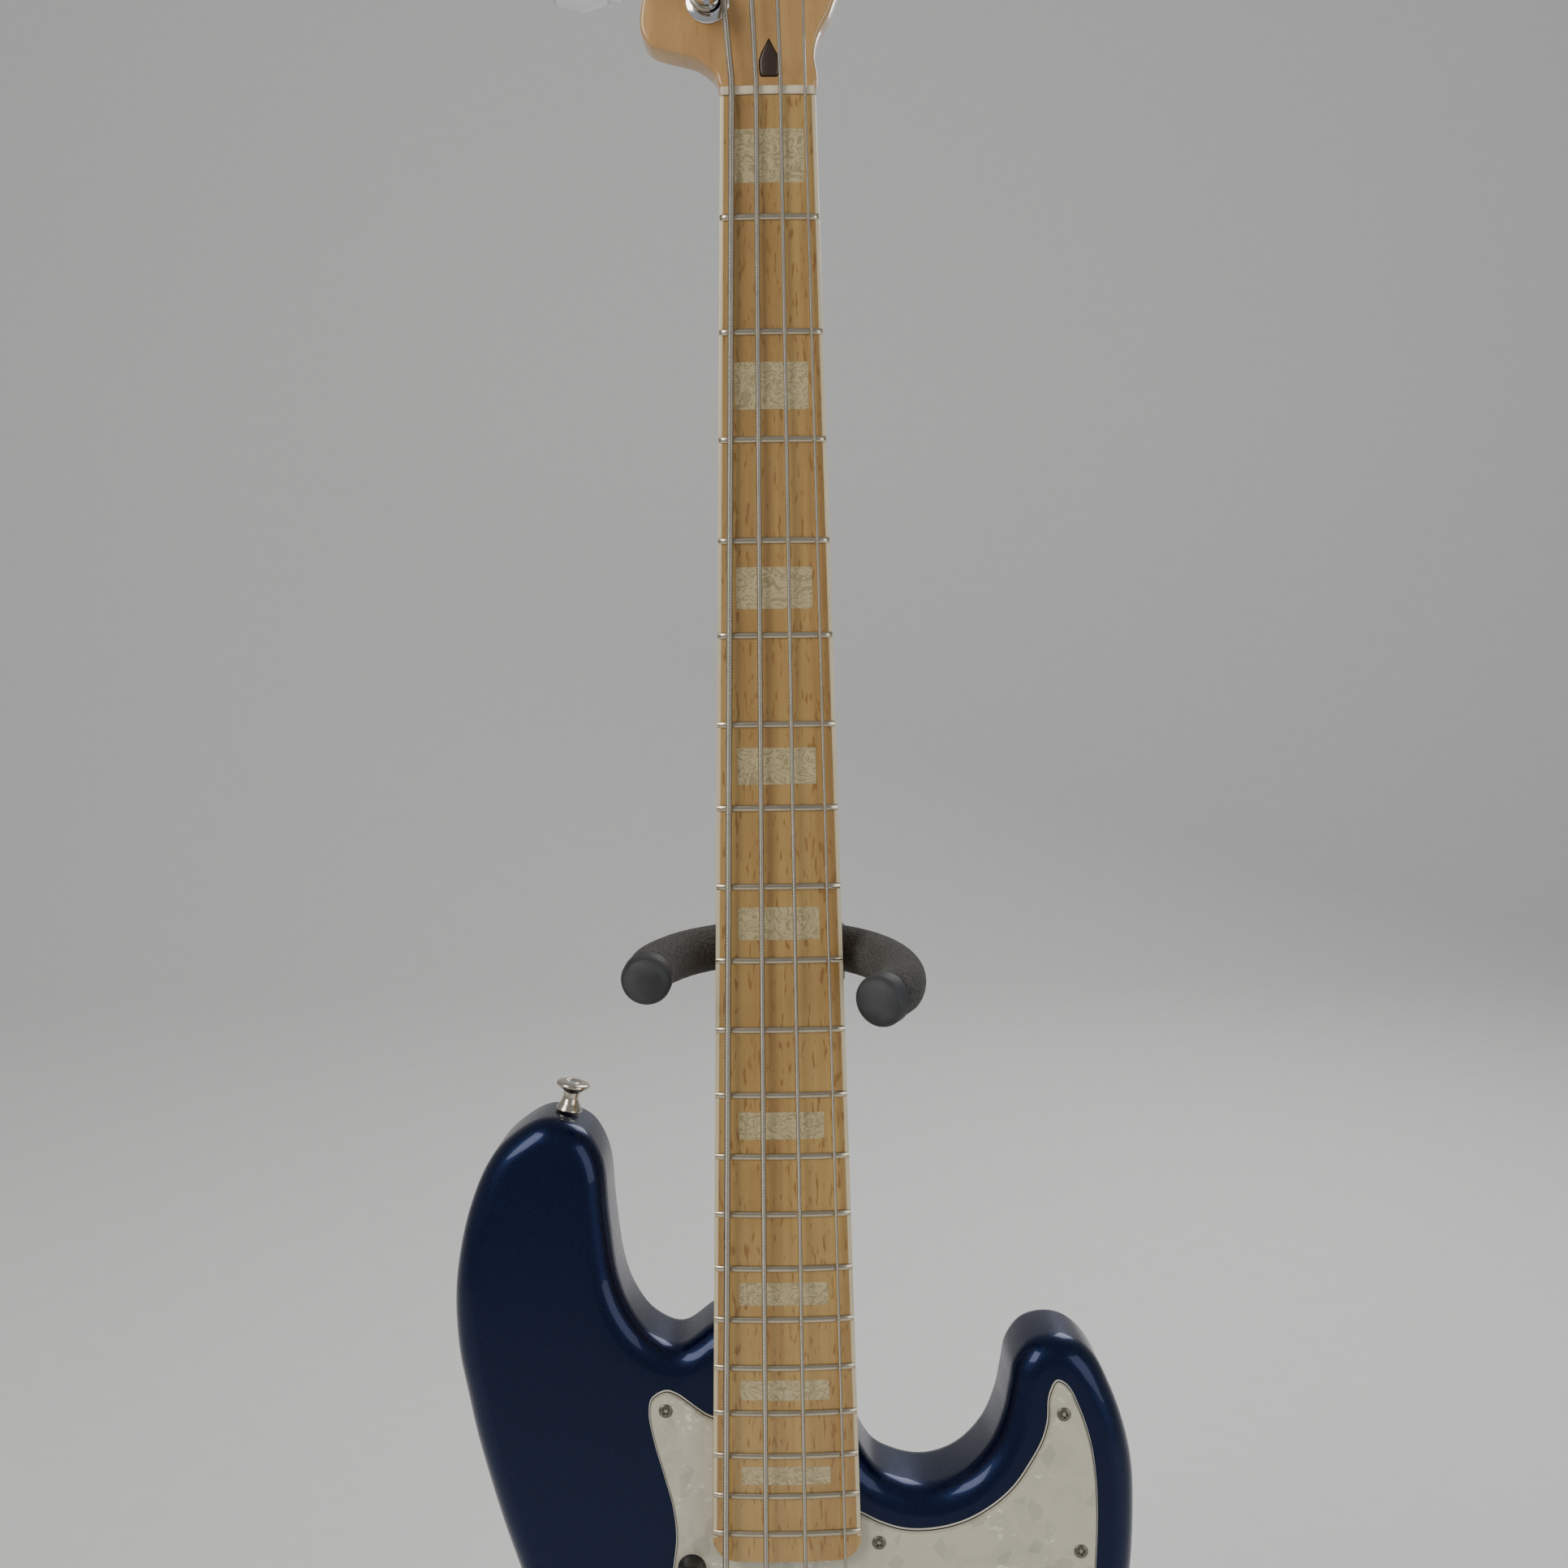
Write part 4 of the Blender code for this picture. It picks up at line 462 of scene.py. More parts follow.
MAPLE = wood("maple", (0.55, 0.330, 0.120), (0.39, 0.200, 0.062), 0.26, 0.6)
AMBER_MAPLE = wood("amber_maple", (0.510, 0.325, 0.105), (0.290, 0.145, 0.038), 0.26, 0.6, 70.0, 0.35, 0.75)
WALNUT = wood("walnut", (0.060, 0.028, 0.013), (0.022, 0.010, 0.005), 0.40, 0.3, 90.0)
BONE = plastic("bone", (0.58, 0.50, 0.35), 0.30, 400.0)
BINDING_CREAM = plastic("cream_binding", (0.56, 0.47, 0.30), 0.28, 500.0)
BLUE_LACQUER = blue_lacquer()
PEARL = pearl_plastic()
PEARL_BLOCK = pearl_inlay()
BLACK_PLY = plastic("black_ply", (0.012, 0.012, 0.012), 0.30)
WHITE_PLY = plastic("white_ply", (0.55, 0.52, 0.44), 0.28)
CHROME = metal("chrome", (0.80, 0.80, 0.81), 0.10)
NICKEL = metal("fret_nickel", (0.60, 0.52, 0.38), 0.22, 500.0)
STEEL = metal("plain_steel", (0.42, 0.42, 0.43), 0.36)
DARK_STEEL = metal("aged_screw_steel", (0.20, 0.18, 0.15), 0.34, 400.0)
WOUND = wound_wire()
BLACK_PLASTIC = plastic("black_plastic", (0.012, 0.012, 0.013), 0.30)
WARM_NICKEL = metal("warm_nickel", (0.62, 0.56, 0.46), 0.16)
BLACK_STEEL = painted_steel()
FOAM = foam_look()
RUBBER = rubber_look()


# Curves and outlines
def from_board_end(points):
    return [(w * MM, s * MM + BOARD_END) for w, s in points]


def from_bridge(points):
    return [(w * MM, s * MM + SCALE_LENGTH) for w, s in points]


def from_nut(points):
    return [(w * MM, s * MM) for w, s in points]


def spline(points, steps, closed=False):
    """Points along a centripetal Catmull-Rom curve, with this many steps from each point to the next."""
    points = [Vector(p) for p in points]
    if closed:
        before, after = points[-1:], points[:2]
    else:
        before, after = [2 * points[0] - points[1]], [2 * points[-1] - points[-2]]
    chain = before + points + after
    out = []
    for a, b, c, d in zip(chain, chain[1:], chain[2:], chain[3:]):
        t1 = (b - a).length ** 0.5
        t2 = t1 + (c - b).length ** 0.5
        t3 = t2 + (d - c).length ** 0.5
        for k in range(steps):
            t = t1 + (t2 - t1) * k / steps
            p = a + (b - a) * (t / t1)
            q = b + (c - b) * ((t - t1) / (t2 - t1))
            r = c + (d - c) * ((t - t2) / (t3 - t2))
            pq = p + (q - p) * (t / t2)
            qr = q + (r - q) * ((t - t1) / (t3 - t1))
            out.append(pq + (qr - pq) * ((t - t1) / (t2 - t1)))
    return out if closed else out + points[-1:]


def arc(centre, radius, start, end, steps):
    """Points (x, y) of an arc, angles in degrees."""
    angles = [math.radians(start + (end - start) * k / steps) for k in range(steps + 1)]
    return [(centre[0] + radius * math.cos(a), centre[1] + radius * math.sin(a)) for a in angles]


def rounded_box(half_w, half_s, radius, steps=6):
    x, y = half_w - radius, half_s - radius
    corners = ((x, y, 0), (-x, y, 90), (-x, -y, 180), (x, -y, 270))
    return [p for cx, cy, a in corners for p in arc((cx, cy), radius, a, a + 90, steps)]


def capsule(a, b, radius, steps=24):
    a, b = Vector(a), Vector(b)
    turn = math.degrees(math.atan2(b.y - a.y, b.x - a.x))
    return arc(b, radius, turn - 90, turn + 90, steps) + arc(a, radius, turn + 90, turn + 270, steps)


def shifted(outline, w, s):
    return [(p[0] + w, p[1] + s) for p in outline]


def fillet(points, radii, steps=14):
    """A polyline whose inner corners are rounded."""
    out = [Vector(points[0])]
    for before, corner, after, radius in zip(points, points[1:], points[2:], radii):
        a, b = (before - corner).normalized(), (after - corner).normalized()
        half = a.angle(b) / 2
        tangent = radius / math.tan(half)
        centre = corner + (a + b).normalized() * (radius / math.sin(half))
        first, last = corner + a * tangent - centre, corner + b * tangent - centre
        for k in range(steps + 1):
            out.append(centre + first.slerp(last, k / steps).normalized() * radius)
    return out + [Vector(points[-1])]


def resampled(points, spacing):
    """The same open path with points at even distances."""
    points = [Vector(p) for p in points]
    marks = [0.0]
    for a, b in zip(points, points[1:]):
        marks.append(marks[-1] + (b - a).length)
    count = max(2, round(marks[-1] / spacing))
    out, k = [], 0
    for i in range(count + 1):
        mark = marks[-1] * i / count
        while k < len(points) - 2 and marks[k + 1] < mark:
            k += 1
        out.append(points[k].lerp(points[k + 1], (mark - marks[k]) / max(marks[k + 1] - marks[k], 1e-9)))
    return out


def area(outline):
    return sum(a[0] * b[1] - b[0] * a[1] for a, b in zip(outline, outline[1:] + outline[:1])) / 2


def inset(outline, amount):
    """The closed outline moved inwards, square to itself."""
    outline = [Vector(p) for p in outline]
    way = math.copysign(1, area(outline))
    out = []
    for before, point, after in zip(outline[-1:] + outline, outline, outline[1:] + outline[:1]):
        first, second = (point - before).normalized(), (after - point).normalized()
        along = (first + second).normalized()
        square = Vector((-along.y, along.x)) * way
        sharp = max(along.dot(first), 0.5)
        out.append(point + square * (amount / sharp))
    return out


def inside(point, outline):
    hit = False
    for a, b in zip(outline, outline[1:] + outline[:1]):
        if (a[1] > point[1]) != (b[1] > point[1]):
            hit ^= point[0] < a[0] + (point[1] - a[1]) * (b[0] - a[0]) / (b[1] - a[1])
    return hit


def blend(value, start, end):
    t = min(max((value - start) / (end - start), 0), 1)
    return t * t * (3 - 2 * t)


# Meshes
def loft(rings, closed=False):
    """Points and faces of a skin over rings of equal length, capped at the ends unless it is closed."""
    size = len(rings[0])
    verts = [p for ring in rings for p in ring]
    faces = []
    for k in range(len(rings) - (not closed)):
        low, high = k * size, (k + 1) % len(rings) * size
        faces += [(low + i, low + (i + 1) % size, high + (i + 1) % size, high + i) for i in range(size)]
    if not closed:
        faces += [tuple(range(size)), tuple(range(len(verts) - size, len(verts)))[::-1]]
    return verts, faces


def path_frames(points):
    """At each point of a path, two directions square to it that don't twist."""
    points = [Vector(p) for p in points]
    tangents = []
    for k in range(len(points)):
        ahead, behind = points[min(k + 1, len(points) - 1)], points[max(k - 1, 0)]
        tangents.append((ahead - behind).normalized())
    side = tangents[0].orthogonal().normalized()
    frames = []
    for point, tangent in zip(points, tangents):
        side = (side - tangent * side.dot(tangent)).normalized()
        frames.append((point, side, tangent.cross(side)))
    return frames


def path_rings(points, radii, sides):
    angles = [2 * math.pi * k / sides for k in range(sides)]
    return [[p + (u * math.cos(a) + v * math.sin(a)) * radius for a in angles]
            for (p, u, v), radius in zip(path_frames(points), radii)]


def tube(points, radius, sides=24):
    radii = radius if isinstance(radius, (list, tuple)) else [radius] * len(points)
    return loft(path_rings(points, radii, sides))


def round_ended(points, radius, sides=24, edge=0.001, steps=4):
    """A tube whose two rims are rounded over."""
    points = [Vector(p) for p in points]
    first, last = (points[1] - points[0]).normalized(), (points[-1] - points[-2]).normalized()
    turns = [math.pi / 2 * k / steps for k in range(steps + 1)]
    front = [(points[0] + first * edge * (1 - math.sin(a)), radius - edge * (1 - math.cos(a)))
             for a in turns]
    back = [(points[-1] - last * edge * (1 - math.sin(a)), radius - edge * (1 - math.cos(a))) for a in turns]
    chain = front[::-1] + [(p, radius) for p in points[1:-1]] + back
    return tube([p for p, _ in chain], [r for _, r in chain], sides)


def sleeve(points, outer, inner, sides=28):
    """A tube with a bore from end to end."""
    count = len(points)
    rings = path_rings(points, [outer] * count, sides) + path_rings(points, [inner] * count, sides)[::-1]
    return loft(rings, closed=True)


def turned(profile, sides=40, closed=False):
    """A solid turned about Z from (radius, z) points. A closed profile gives a ring."""
    angles = [2 * math.pi * k / sides for k in range(sides)]
    rings = [[Vector((max(r, 0) * math.cos(a), max(r, 0) * math.sin(a), z)) for a in angles]
             for r, z in profile]
    return loft(rings, closed)


def eased(profile, edge, steps=3):
    """A turning profile whose corners, but not its ends, are rounded by up to this much."""
    points = [Vector(p) for p in profile]
    out = [points[0]]
    for before, corner, after in zip(points, points[1:], points[2:]):
        a, b = before - corner, after - corner
        reach = min(edge, a.length * 0.45, b.length * 0.45)
        a, b = corner + a.normalized() * reach, corner + b.normalized() * reach
        for k in range(steps + 1):
            t = k / steps
            out.append(a.lerp(corner, t).lerp(corner.lerp(b, t), t))
    return out + [points[-1]]


def placed(shape, origin, axis=(0, 0, 1)):
    """A shape moved to an origin, with its Z along an axis."""
    turn = Vector((0, 0, 1)).rotation_difference(Vector(axis)).to_matrix()
    return [turn @ p + Vector(origin) for p in shape[0]], shape[1]


def prism(outline, low, high):
    """An outline of (w, s) made solid from depth low to depth high."""
    return loft([[at(p[0], p[1], d) for p in outline] for d in (low, high)])


def slab(outline, front, back, edge=0.0005, back_edge=0.0, steps=4):
    """An outline of (w, s) made solid, whose rims are rounded over."""
    rings = []
    for k in range(steps + 1):
        a = math.pi / 2 * k / steps
        rings.append((inset(outline, edge * (1 - math.sin(a))), front + edge * (1 - math.cos(a))))
    for k in range(steps if back_edge else 0, -1, -1):
        a = math.pi / 2 * k / steps if back_edge else math.pi / 2
        rings.append((inset(outline, back_edge * (1 - math.sin(a))), back - back_edge * (1 - math.cos(a))))
    return loft([[at(p[0], p[1], d) for p in ring] for ring, d in rings])


def rod(start, end, radius, sides=24, edge=0.0003):
    return round_ended([start, end], radius, sides, edge, 2)


def box(w, s, d):
    return prism([(w[0], s[0]), (w[1], s[0]), (w[1], s[1]), (w[0], s[1])], *d)


def block(w, s, d, edge=0.0004):
    """A block between two values of w, of s and of d, with its front rim rounded."""
    middle = Vector(((w[0] + w[1]) / 2, (s[0] + s[1]) / 2))
    outline = rounded_box(abs(w[1] - w[0]) / 2, abs(s[1] - s[0]) / 2, edge, 3)
    return slab(shifted(outline, *middle), d[0], d[1], edge, edge, 3)


def helix(start, axis, radius, pitch, turns, steps=20):
    """Points of a coil, starting beside a point and running along an axis."""
    axis = Vector(axis).normalized()
    side = axis.orthogonal().normalized()
    other = axis.cross(side)
    count = max(2, int(turns * steps))
    out = []
    for k in range(count + 1):
        a = 2 * math.pi * k / steps
        out.append(Vector(start) + (side * math.cos(a) + other * math.sin(a)) * radius
                   + axis * pitch * k / steps)
    return out


def piece(name, shape, look, body, stands_for=(), place=None, angle=32, wire=None):
    """A finished object from points and faces, riding on one of the frame's bodies."""
    mesh = bpy.data.meshes.new(name)
    mesh.from_pydata([tuple(v) for v in shape[0]], [], shape[1])
    work = bmesh.new()
    work.from_mesh(mesh)
    bmesh.ops.remove_doubles(work, verts=work.verts, dist=1e-7)
    bmesh.ops.recalc_face_normals(work, faces=work.faces)
    work.to_mesh(mesh)
    work.free()
    mesh.shade_smooth()
    mesh.set_sharp_from_angle(angle=math.radians(angle))
    mesh.materials.append(look.material)
    if wire:
        marks, start = mesh.attributes.new("along", "FLOAT", "POINT"), wire[0]
        for k, vert in enumerate(mesh.vertices):
            marks.data[k].value = (vert.co - start).dot(wire[1])
    thing = bpy.data.objects.new(name, mesh)
    bpy.context.collection.objects.link(thing)
    thing.matrix_world = place or BASS
    settle(thing, body, stands_for)
    return thing


def settle(thing, body, stands_for):
    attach(thing, body)
    if stands_for:
        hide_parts(*stands_for)


def carve(thing, operation, *shapes):
    """Cuts shapes out of a piece, or joins them to it, in its own frame."""
    tools = []
    for verts, faces in shapes:
        mesh = bpy.data.meshes.new("tool")
        mesh.from_pydata([tuple(v) for v in verts], [], faces)
        work = bmesh.new()
        work.from_mesh(mesh)
        bmesh.ops.remove_doubles(work, verts=work.verts, dist=1e-7)
        bmesh.ops.recalc_face_normals(work, faces=work.faces)
        work.to_mesh(mesh)
        work.free()
        mesh.shade_smooth()
        tool = bpy.data.objects.new("tool", mesh)
        bpy.context.collection.objects.link(tool)
        tool.matrix_world = thing.matrix_world
        step = thing.modifiers.new("step", "BOOLEAN")
        step.operation, step.solver = operation, "EXACT"
        step.object = tool
        tools.append(tool)
    bpy.context.view_layer.update()
    graph = bpy.context.evaluated_depsgraph_get()
    made = bpy.data.meshes.new_from_object(thing.evaluated_get(graph))
    thing.modifiers.clear()
    thing.data = made
    made.shade_smooth()
    made.set_sharp_from_angle(angle=math.radians(32))
    for tool in tools:
        mesh = tool.data
        bpy.data.objects.remove(tool)
        bpy.data.meshes.remove(mesh)
    return thing


# Neck
def half_width(s):
    """Half the neck's width at s, with the board's rounded corners at its end."""
    taper = NUT_HALF + (LAST_FRET_HALF - NUT_HALF) * s / fret_place(FRETS)
    past = s - CORNER_START
    if past <= 0:
        return taper
    return taper - BOARD_CORNER + math.sqrt(max(BOARD_CORNER ** 2 - past ** 2, 0))


def end_stations(steps=10):
    return [CORNER_START + BOARD_CORNER * math.sin(math.pi / 2 * k / steps) for k in range(steps + 1)]


def neck_plan(clearance, start):
    """The neck's outline seen from the front, from s = start to its rounded end."""
    right = [(half_width(s) + clearance, s) for s in [start] + end_stations()]
    right[-1] = (right[-1][0], BOARD_END + clearance)
    return right + [(-w, s) for w, s in reversed(right)]


def board_surface(w):
    return w * w / (2 * BOARD_RADIUS)


def neck_back(s):
    if s < TWELFTH:
        back = NECK_BACK_NUT + (NECK_BACK_TWELFTH - NECK_BACK_NUT) * max(s, 0) / TWELFTH
    else:
        back = NECK_BACK_TWELFTH
    return back + (HEEL_BACK - back) * blend(s, BOARD_END - HEEL_START, BOARD_END - HEEL_FULL)


def neck_ring(s, top, steps=32):
    """A D-shaped section, which grows square at the heel."""
    square = blend(s, BOARD_END - HEEL_START, BOARD_END - HEEL_FULL)
    power = 2 / (2.3 + 9 * square)
    half, deep = half_width(s), neck_back(s) - top
    ring = []
    for k in range(steps + 1):
        a = math.pi * k / steps
        w = math.copysign(abs(math.cos(a)) ** power, math.cos(a)) * half
        ring.append(at(w, s, top + deep * math.sin(a) ** power if 0 < k < steps else top))
    return ring


def bolt_places():
    middle = BOARD_END - NECK_PLATE_BEFORE_END
    w = NECK_PLATE_WIDTH / 2 - BOLT_INSET
    s = NECK_PLATE_LENGTH / 2 - BOLT_INSET
    return [(i * w, middle + j * s) for i in (-1, 1) for j in (-1, 1)]


def plug_outline(more):
    """A pointed bullet shape, whose tip points up the headstock."""
    half, low = PLUG_HALF + more, PLUG_END + more
    long = PLUG_END - PLUG_TIP
    side = [(0, -more), (0.34, 0.16 * long), (0.72, 0.36 * long), (0.97, 0.58 * long), (0.98, 0.78 * long)]
    right = [(PLUG_W + half * share, PLUG_TIP + s) for share, s in side]
    foot = [(PLUG_W + half * 0.90, low - 0.0008), (PLUG_W + half * 0.74, low)]
    left = [(2 * PLUG_W - w, s) for w, s in (right[1:] + foot)]
    return right + foot + left[::-1]


def make_neck():
    top = BOARD_THICK + 0.00005
    stations = [TWELFTH * k / 14 for k in range(15)]
    heel = BOARD_END - HEEL_START
    stations += [TWELFTH + (heel - TWELFTH) * k / 4 for k in range(1, 5)]
    stations += [heel + (HEEL_START - HEEL_FULL) * k / 8 for k in range(1, 9)]
    stations += end_stations()
    rings = [neck_ring(s, top) for s in stations]
    into_head = neck_ring(0, HEAD_FACE + 0.0004)
    ramp = ((0.999, 0.002, 1), (0.985, 0.009, 0.99), (0.955, 0.018, 0.97), (0.90, 0.027, 0.94),
            (0.82, 0.036, 0.90))
    for wide, up, deep in ramp:
        rings.insert(0, [Vector((p.x * wide, HEAD_FACE + 0.0004 + (p.y - HEAD_FACE - 0.0004) * deep, up))
                         for p in into_head])
    neck = piece("maple_neck", loft(rings), MAPLE, "bass", ("neck",))
    outline = spline(from_nut(HEADSTOCK), 7, closed=True)
    head = slab(outline, HEAD_FACE, HEAD_BACK, HEAD_EDGE, HEAD_EDGE)
    holes = [rod(at(w, s, 0), at(w, s, HEAD_BACK + MM), POST_RADIUS + 0.0012)
             for w, s in zip(POST_W, POST_S)]
    carve(neck, "UNION", head)
    carve(neck, "DIFFERENCE", prism(plug_outline(GAP), 0, HEAD_FACE + PLUG_THICK), *holes)
    ease = slab(plug_outline(0), HEAD_FACE - 0.0004, HEAD_FACE + 0.0050, 0.0009)
    piece("bullet_plug", ease, WALNUT, "bass", ("truss_rod_plug",))
    frame["nodes"]["truss_rod"].material_slots[0].material = STEEL.material


def crown(s, inner, height=0.0, steps=16):
    """Points across the board's curved face at s, from one edge to the other."""
    half = half_width(s) - inner
    return [at(half * (2 * k / steps - 1), s, board_surface(half * (2 * k / steps - 1)) - height)
            for k in range(steps + 1)]


def make_fretboard():
    """An amber maple board between cream bindings, which stop where its end starts to round."""
    binding_end = CORNER_START
    rings = []
    for s in [0.0002] + [binding_end * k / 40 for k in range(1, 41)]:
        half = half_width(s) - BINDING
        rings.append(crown(s, BINDING) + [at(half, s, BOARD_THICK), at(-half, s, BOARD_THICK)])
    piece("amber_board", loft(rings), AMBER_MAPLE, "bass", ("fretboard",))
    end_rings = []
    for s in end_stations(12):
        half = half_width(s)
        end_rings.append(crown(s, 0) + [at(half, s, BOARD_THICK), at(-half, s, BOARD_THICK)])
    piece("amber_board_end", loft(end_rings), AMBER_MAPLE, "bass")
    for side, name in ((-1, "bass"), (1, "treble")):
        strips = []
        for s in [0.0002] + [binding_end * k / 40 for k in range(1, 41)]:
            outer, inner = half_width(s), half_width(s) - BINDING + 0.00002
            edge = 0.00045
            section = [(inner, board_surface(inner) - 0.00003),
                       (outer - edge, board_surface(outer) - 0.00003),
                       (outer - edge * 0.3, board_surface(outer) + edge * 0.3),
                       (outer, board_surface(outer) + edge), (outer, BOARD_THICK), (inner, BOARD_THICK)]
            strips.append([at(side * w, s, d) for w, d in section])
        piece(f"binding_{name}", loft(strips), BINDING_CREAM, "bass")


def make_frets():
    """Each fret's crown follows the board and runs over the bindings, with its ends filed at a slant."""
    for number in range(1, FRETS + 1):
        middle = fret_place(number)
        half = half_width(middle) - 0.0002
        rings = []
        for k in range(25):
            t = 2 * k / 24 - 1
            w = half * t
            slant = min((half - abs(w)) / 0.0011, 1)
            high = FRET_HEIGHT * (0.10 + 0.90 * slant)
            wide = FRET_WIDTH / 2 * (0.82 + 0.18 * slant)
            floor = board_surface(w) + 0.0003
            ring = [at(w, middle - wide, floor)]
            for i in range(9):
                a = math.pi * i / 8
                ring.append(at(w, middle - wide * math.cos(a), board_surface(w) - high * math.sin(a) ** 0.8))
            rings.append(ring + [at(w, middle + wide, floor)])
        piece(f"fret_{number:02d}", loft(rings), NICKEL, "bass", angle=60)


def make_inlays():
    """Pearl blocks, flush with the board, in the middle of their fret spaces."""
    for number in INLAY_FRETS:
        start, end = fret_place(number - 1), fret_place(number)
        middle, long = (start + end) / 2, (end - start) * INLAY_SHARE / 2
        wide = 0.0140 + 0.0045 * min(number / 15, 1)
        rings = []
        columns = 18
        for k in range(columns + 1):
            w = wide * (2 * k / columns - 1)
            corner = 0.0002
            short = max(corner - (wide - abs(w)), 0)
            reach = long - (corner - math.sqrt(max(corner ** 2 - short ** 2, 0)))
            d = board_surface(w)
            rings.append([at(w, middle - reach, d - 0.00004), at(w, middle + reach, d - 0.00004),
                          at(w, middle + reach, d + 0.0008), at(w, middle - reach, d + 0.0008)])
        piece(f"pearl_block_{number:02d}", loft(rings), PEARL_BLOCK, "bass")


def make_nut():
    """Cream nut with rounded top edges and a slot for each string."""
    columns = 150
    half, top = NUT_HALF - GAP, -0.0008
    rings = []
    for k in range(columns + 1):
        w = half * (2 * k / columns - 1)
        high = top + board_surface(w) * 0.8 + 0.0006 * max(0, 1 - (half - abs(w)) / 0.0008) ** 2
        for spot, thick in zip(NUT_STRING_W, STRING_DIAMETERS):
            radius = thick / 2 + 0.0001
            if abs(w - spot) < radius:
                floor = board_surface(spot) - FRET_HEIGHT - NUT_RISE
                high = max(high, floor - radius + math.sqrt(radius ** 2 - (w - spot) ** 2) + 0.0001)
        section = [(-NUT_THICK, BOARD_THICK + 0.0004), (-NUT_THICK, high + 0.0009),
                   (-NUT_THICK * 0.92, high + 0.0004),
                   (-NUT_THICK * 0.70, high + 0.0001), (-NUT_THICK * 0.2, high),
                   (-NUT_THICK * 0.04, high + 0.0002), (0, high + 0.0004), (0, BOARD_THICK + 0.0004)]
        rings.append([at(w, s, d) for s, d in section])
    piece("cream_nut", loft(rings), BONE, "bass", ("nut",))


# Strings
def string_depth(w, diameter, rise):
    """Depth of a string's middle where its underside is this far above the fret tops."""
    return board_surface(w) - FRET_HEIGHT - rise - diameter / 2


def lip_place():
    return SCALE_LENGTH - BRIDGE_FRONT + BRIDGE_LENGTH


def make_strings():
    """Each runs from the bridge's lip over its saddle and the nut to its post."""
    for k, name in enumerate(STRING_NAMES):
        thick = STRING_DIAMETERS[k]
        far, near = BRIDGE_STRING_W[k], NUT_STRING_W[k]
        far_d, near_d = string_depth(far, thick, BRIDGE_RISE), string_depth(near, thick, NUT_RISE)
        beside = POST_W[k] + POST_RADIUS + thick / 2 + 0.0001
        route = [at(far, lip_place() + 0.003, LIP_HOLE_D), at(far, SCALE_LENGTH + 0.0045, far_d + 0.0004),
                 at(far, SCALE_LENGTH, far_d), at(far, SCALE_LENGTH - 0.004, far_d + 0.00002)]
        route += [at(near, 0.002, near_d), at(near, -NUT_THICK / 2, near_d + 0.00005),
                  at(near, -NUT_THICK - 0.001, near_d + 0.0003)]
        if POST_S[k] < 2 * TREE_S:
            tree = TREE_W + math.copysign(0.0045 + thick / 2, near - TREE_W)
            held = TREE_UNDER + thick / 2 + 0.0001
            route += [at(tree, TREE_S + 0.002, held), at(tree, TREE_S - 0.002, held)]
        route.append(at(beside, POST_S[k], POST_STRING_D))
        shape = tube(route, thick / 2, 14)
        piece(f"wound_string_{name}", shape, WOUND, "bass", (f"string_{name}",), angle=80,
              wire=(Vector((0, 0, 0)), Vector((0, 0, 1))))
        make_winding(k, name, thick)
        eye = at(far, lip_place() + 0.0026, LIP_HOLE_D)
        ball = turned([(0.0004, -0.0018), (0.0022, -0.0018), (0.0028, -0.0010), (0.0022, 0),
                       (0.0028, 0.0010), (0.0022, 0.0018), (0.0004, 0.0018)], 24, closed=True)
        piece(f"ball_end_{name}", placed(ball, eye, (1, 0, 0)), NICKEL, "bass")


def make_winding(k, name, thick):
    """The turns round the post, under its head, which go round with it."""
    radius = POST_RADIUS + thick / 2 + 0.00005
    pitch, steps = thick * 1.02, 36
    head_under = HEAD_FACE - POST_HEIGHT + 0.0060
    turns = (POST_STRING_D - head_under - thick / 2) / pitch
    points = []
    for i in range(int(turns * steps) + 1):
        a = 2 * math.pi * i / steps
        points.append(at(POST_W[k] + radius * math.cos(a), POST_S[k] - radius * math.sin(a),
                         POST_STRING_D - pitch * i / steps))
    piece(f"winding_{name}", tube(points, thick / 2, 12), WOUND, f"post_{name}", angle=80,
          wire=(points[0], at(0, 0, 1)))


# Body
def body_outline(steps):
    points = from_board_end(BODY_BASS_UPPER) + from_bridge(BODY_LOWER) + from_board_end(BODY_TREBLE_UPPER)
    return spline(points, steps, closed=True)


def forearm(w, s):
    """How far the front falls away where the player's arm rests."""
    out = -0.86 * (w + 0.095) + 0.50 * (s - SCALE_LENGTH + 0.064)
    return FOREARM_DEPTH * blend(out, 0.0, 0.085)


def belly(w, s):
    """How deep the back is scooped at the waist."""
    along = 1 - min(abs(s - SCALE_LENGTH + 0.150) / 0.150, 1)
    return BELLY_DEPTH * blend(-w, 0.030, 0.115) * blend(along, 0, 1)


def pickup_outline(more):
    return rounded_box(PICKUP_LENGTH / 2 + more, PICKUP_WIDTH / 2 + more, 0.004)


def control_ends():
    return [Vector((w, s + SCALE_LENGTH)) for w, s in (CONTROL_TOP, CONTROL_BOTTOM)]


def filled(outline, spacing):
    """Triangles that fill an outline, over an even grid of points, so that they can curve."""
    inner = inset(outline, spacing * 0.6)
    low, high = ([pick(p[i] for p in inner) for i in (0, 1)] for pick in (min, max))
    columns, rows = (int((high[i] - low[i]) / spacing) + 1 for i in (0, 1))
    grid = [Vector((low[0] + (i + 0.5 * (j % 2)) * spacing, low[1] + j * spacing))
            for j in range(rows + 1) for i in range(columns + 1)]
    points = [Vector((p[0], p[1])) for p in outline] + [p for p in grid if inside(p, inner)]
    found = geometry.delaunay_2d_cdt(points, [], [list(range(len(outline)))], 1, 1e-7)
    return found[0], found[2]


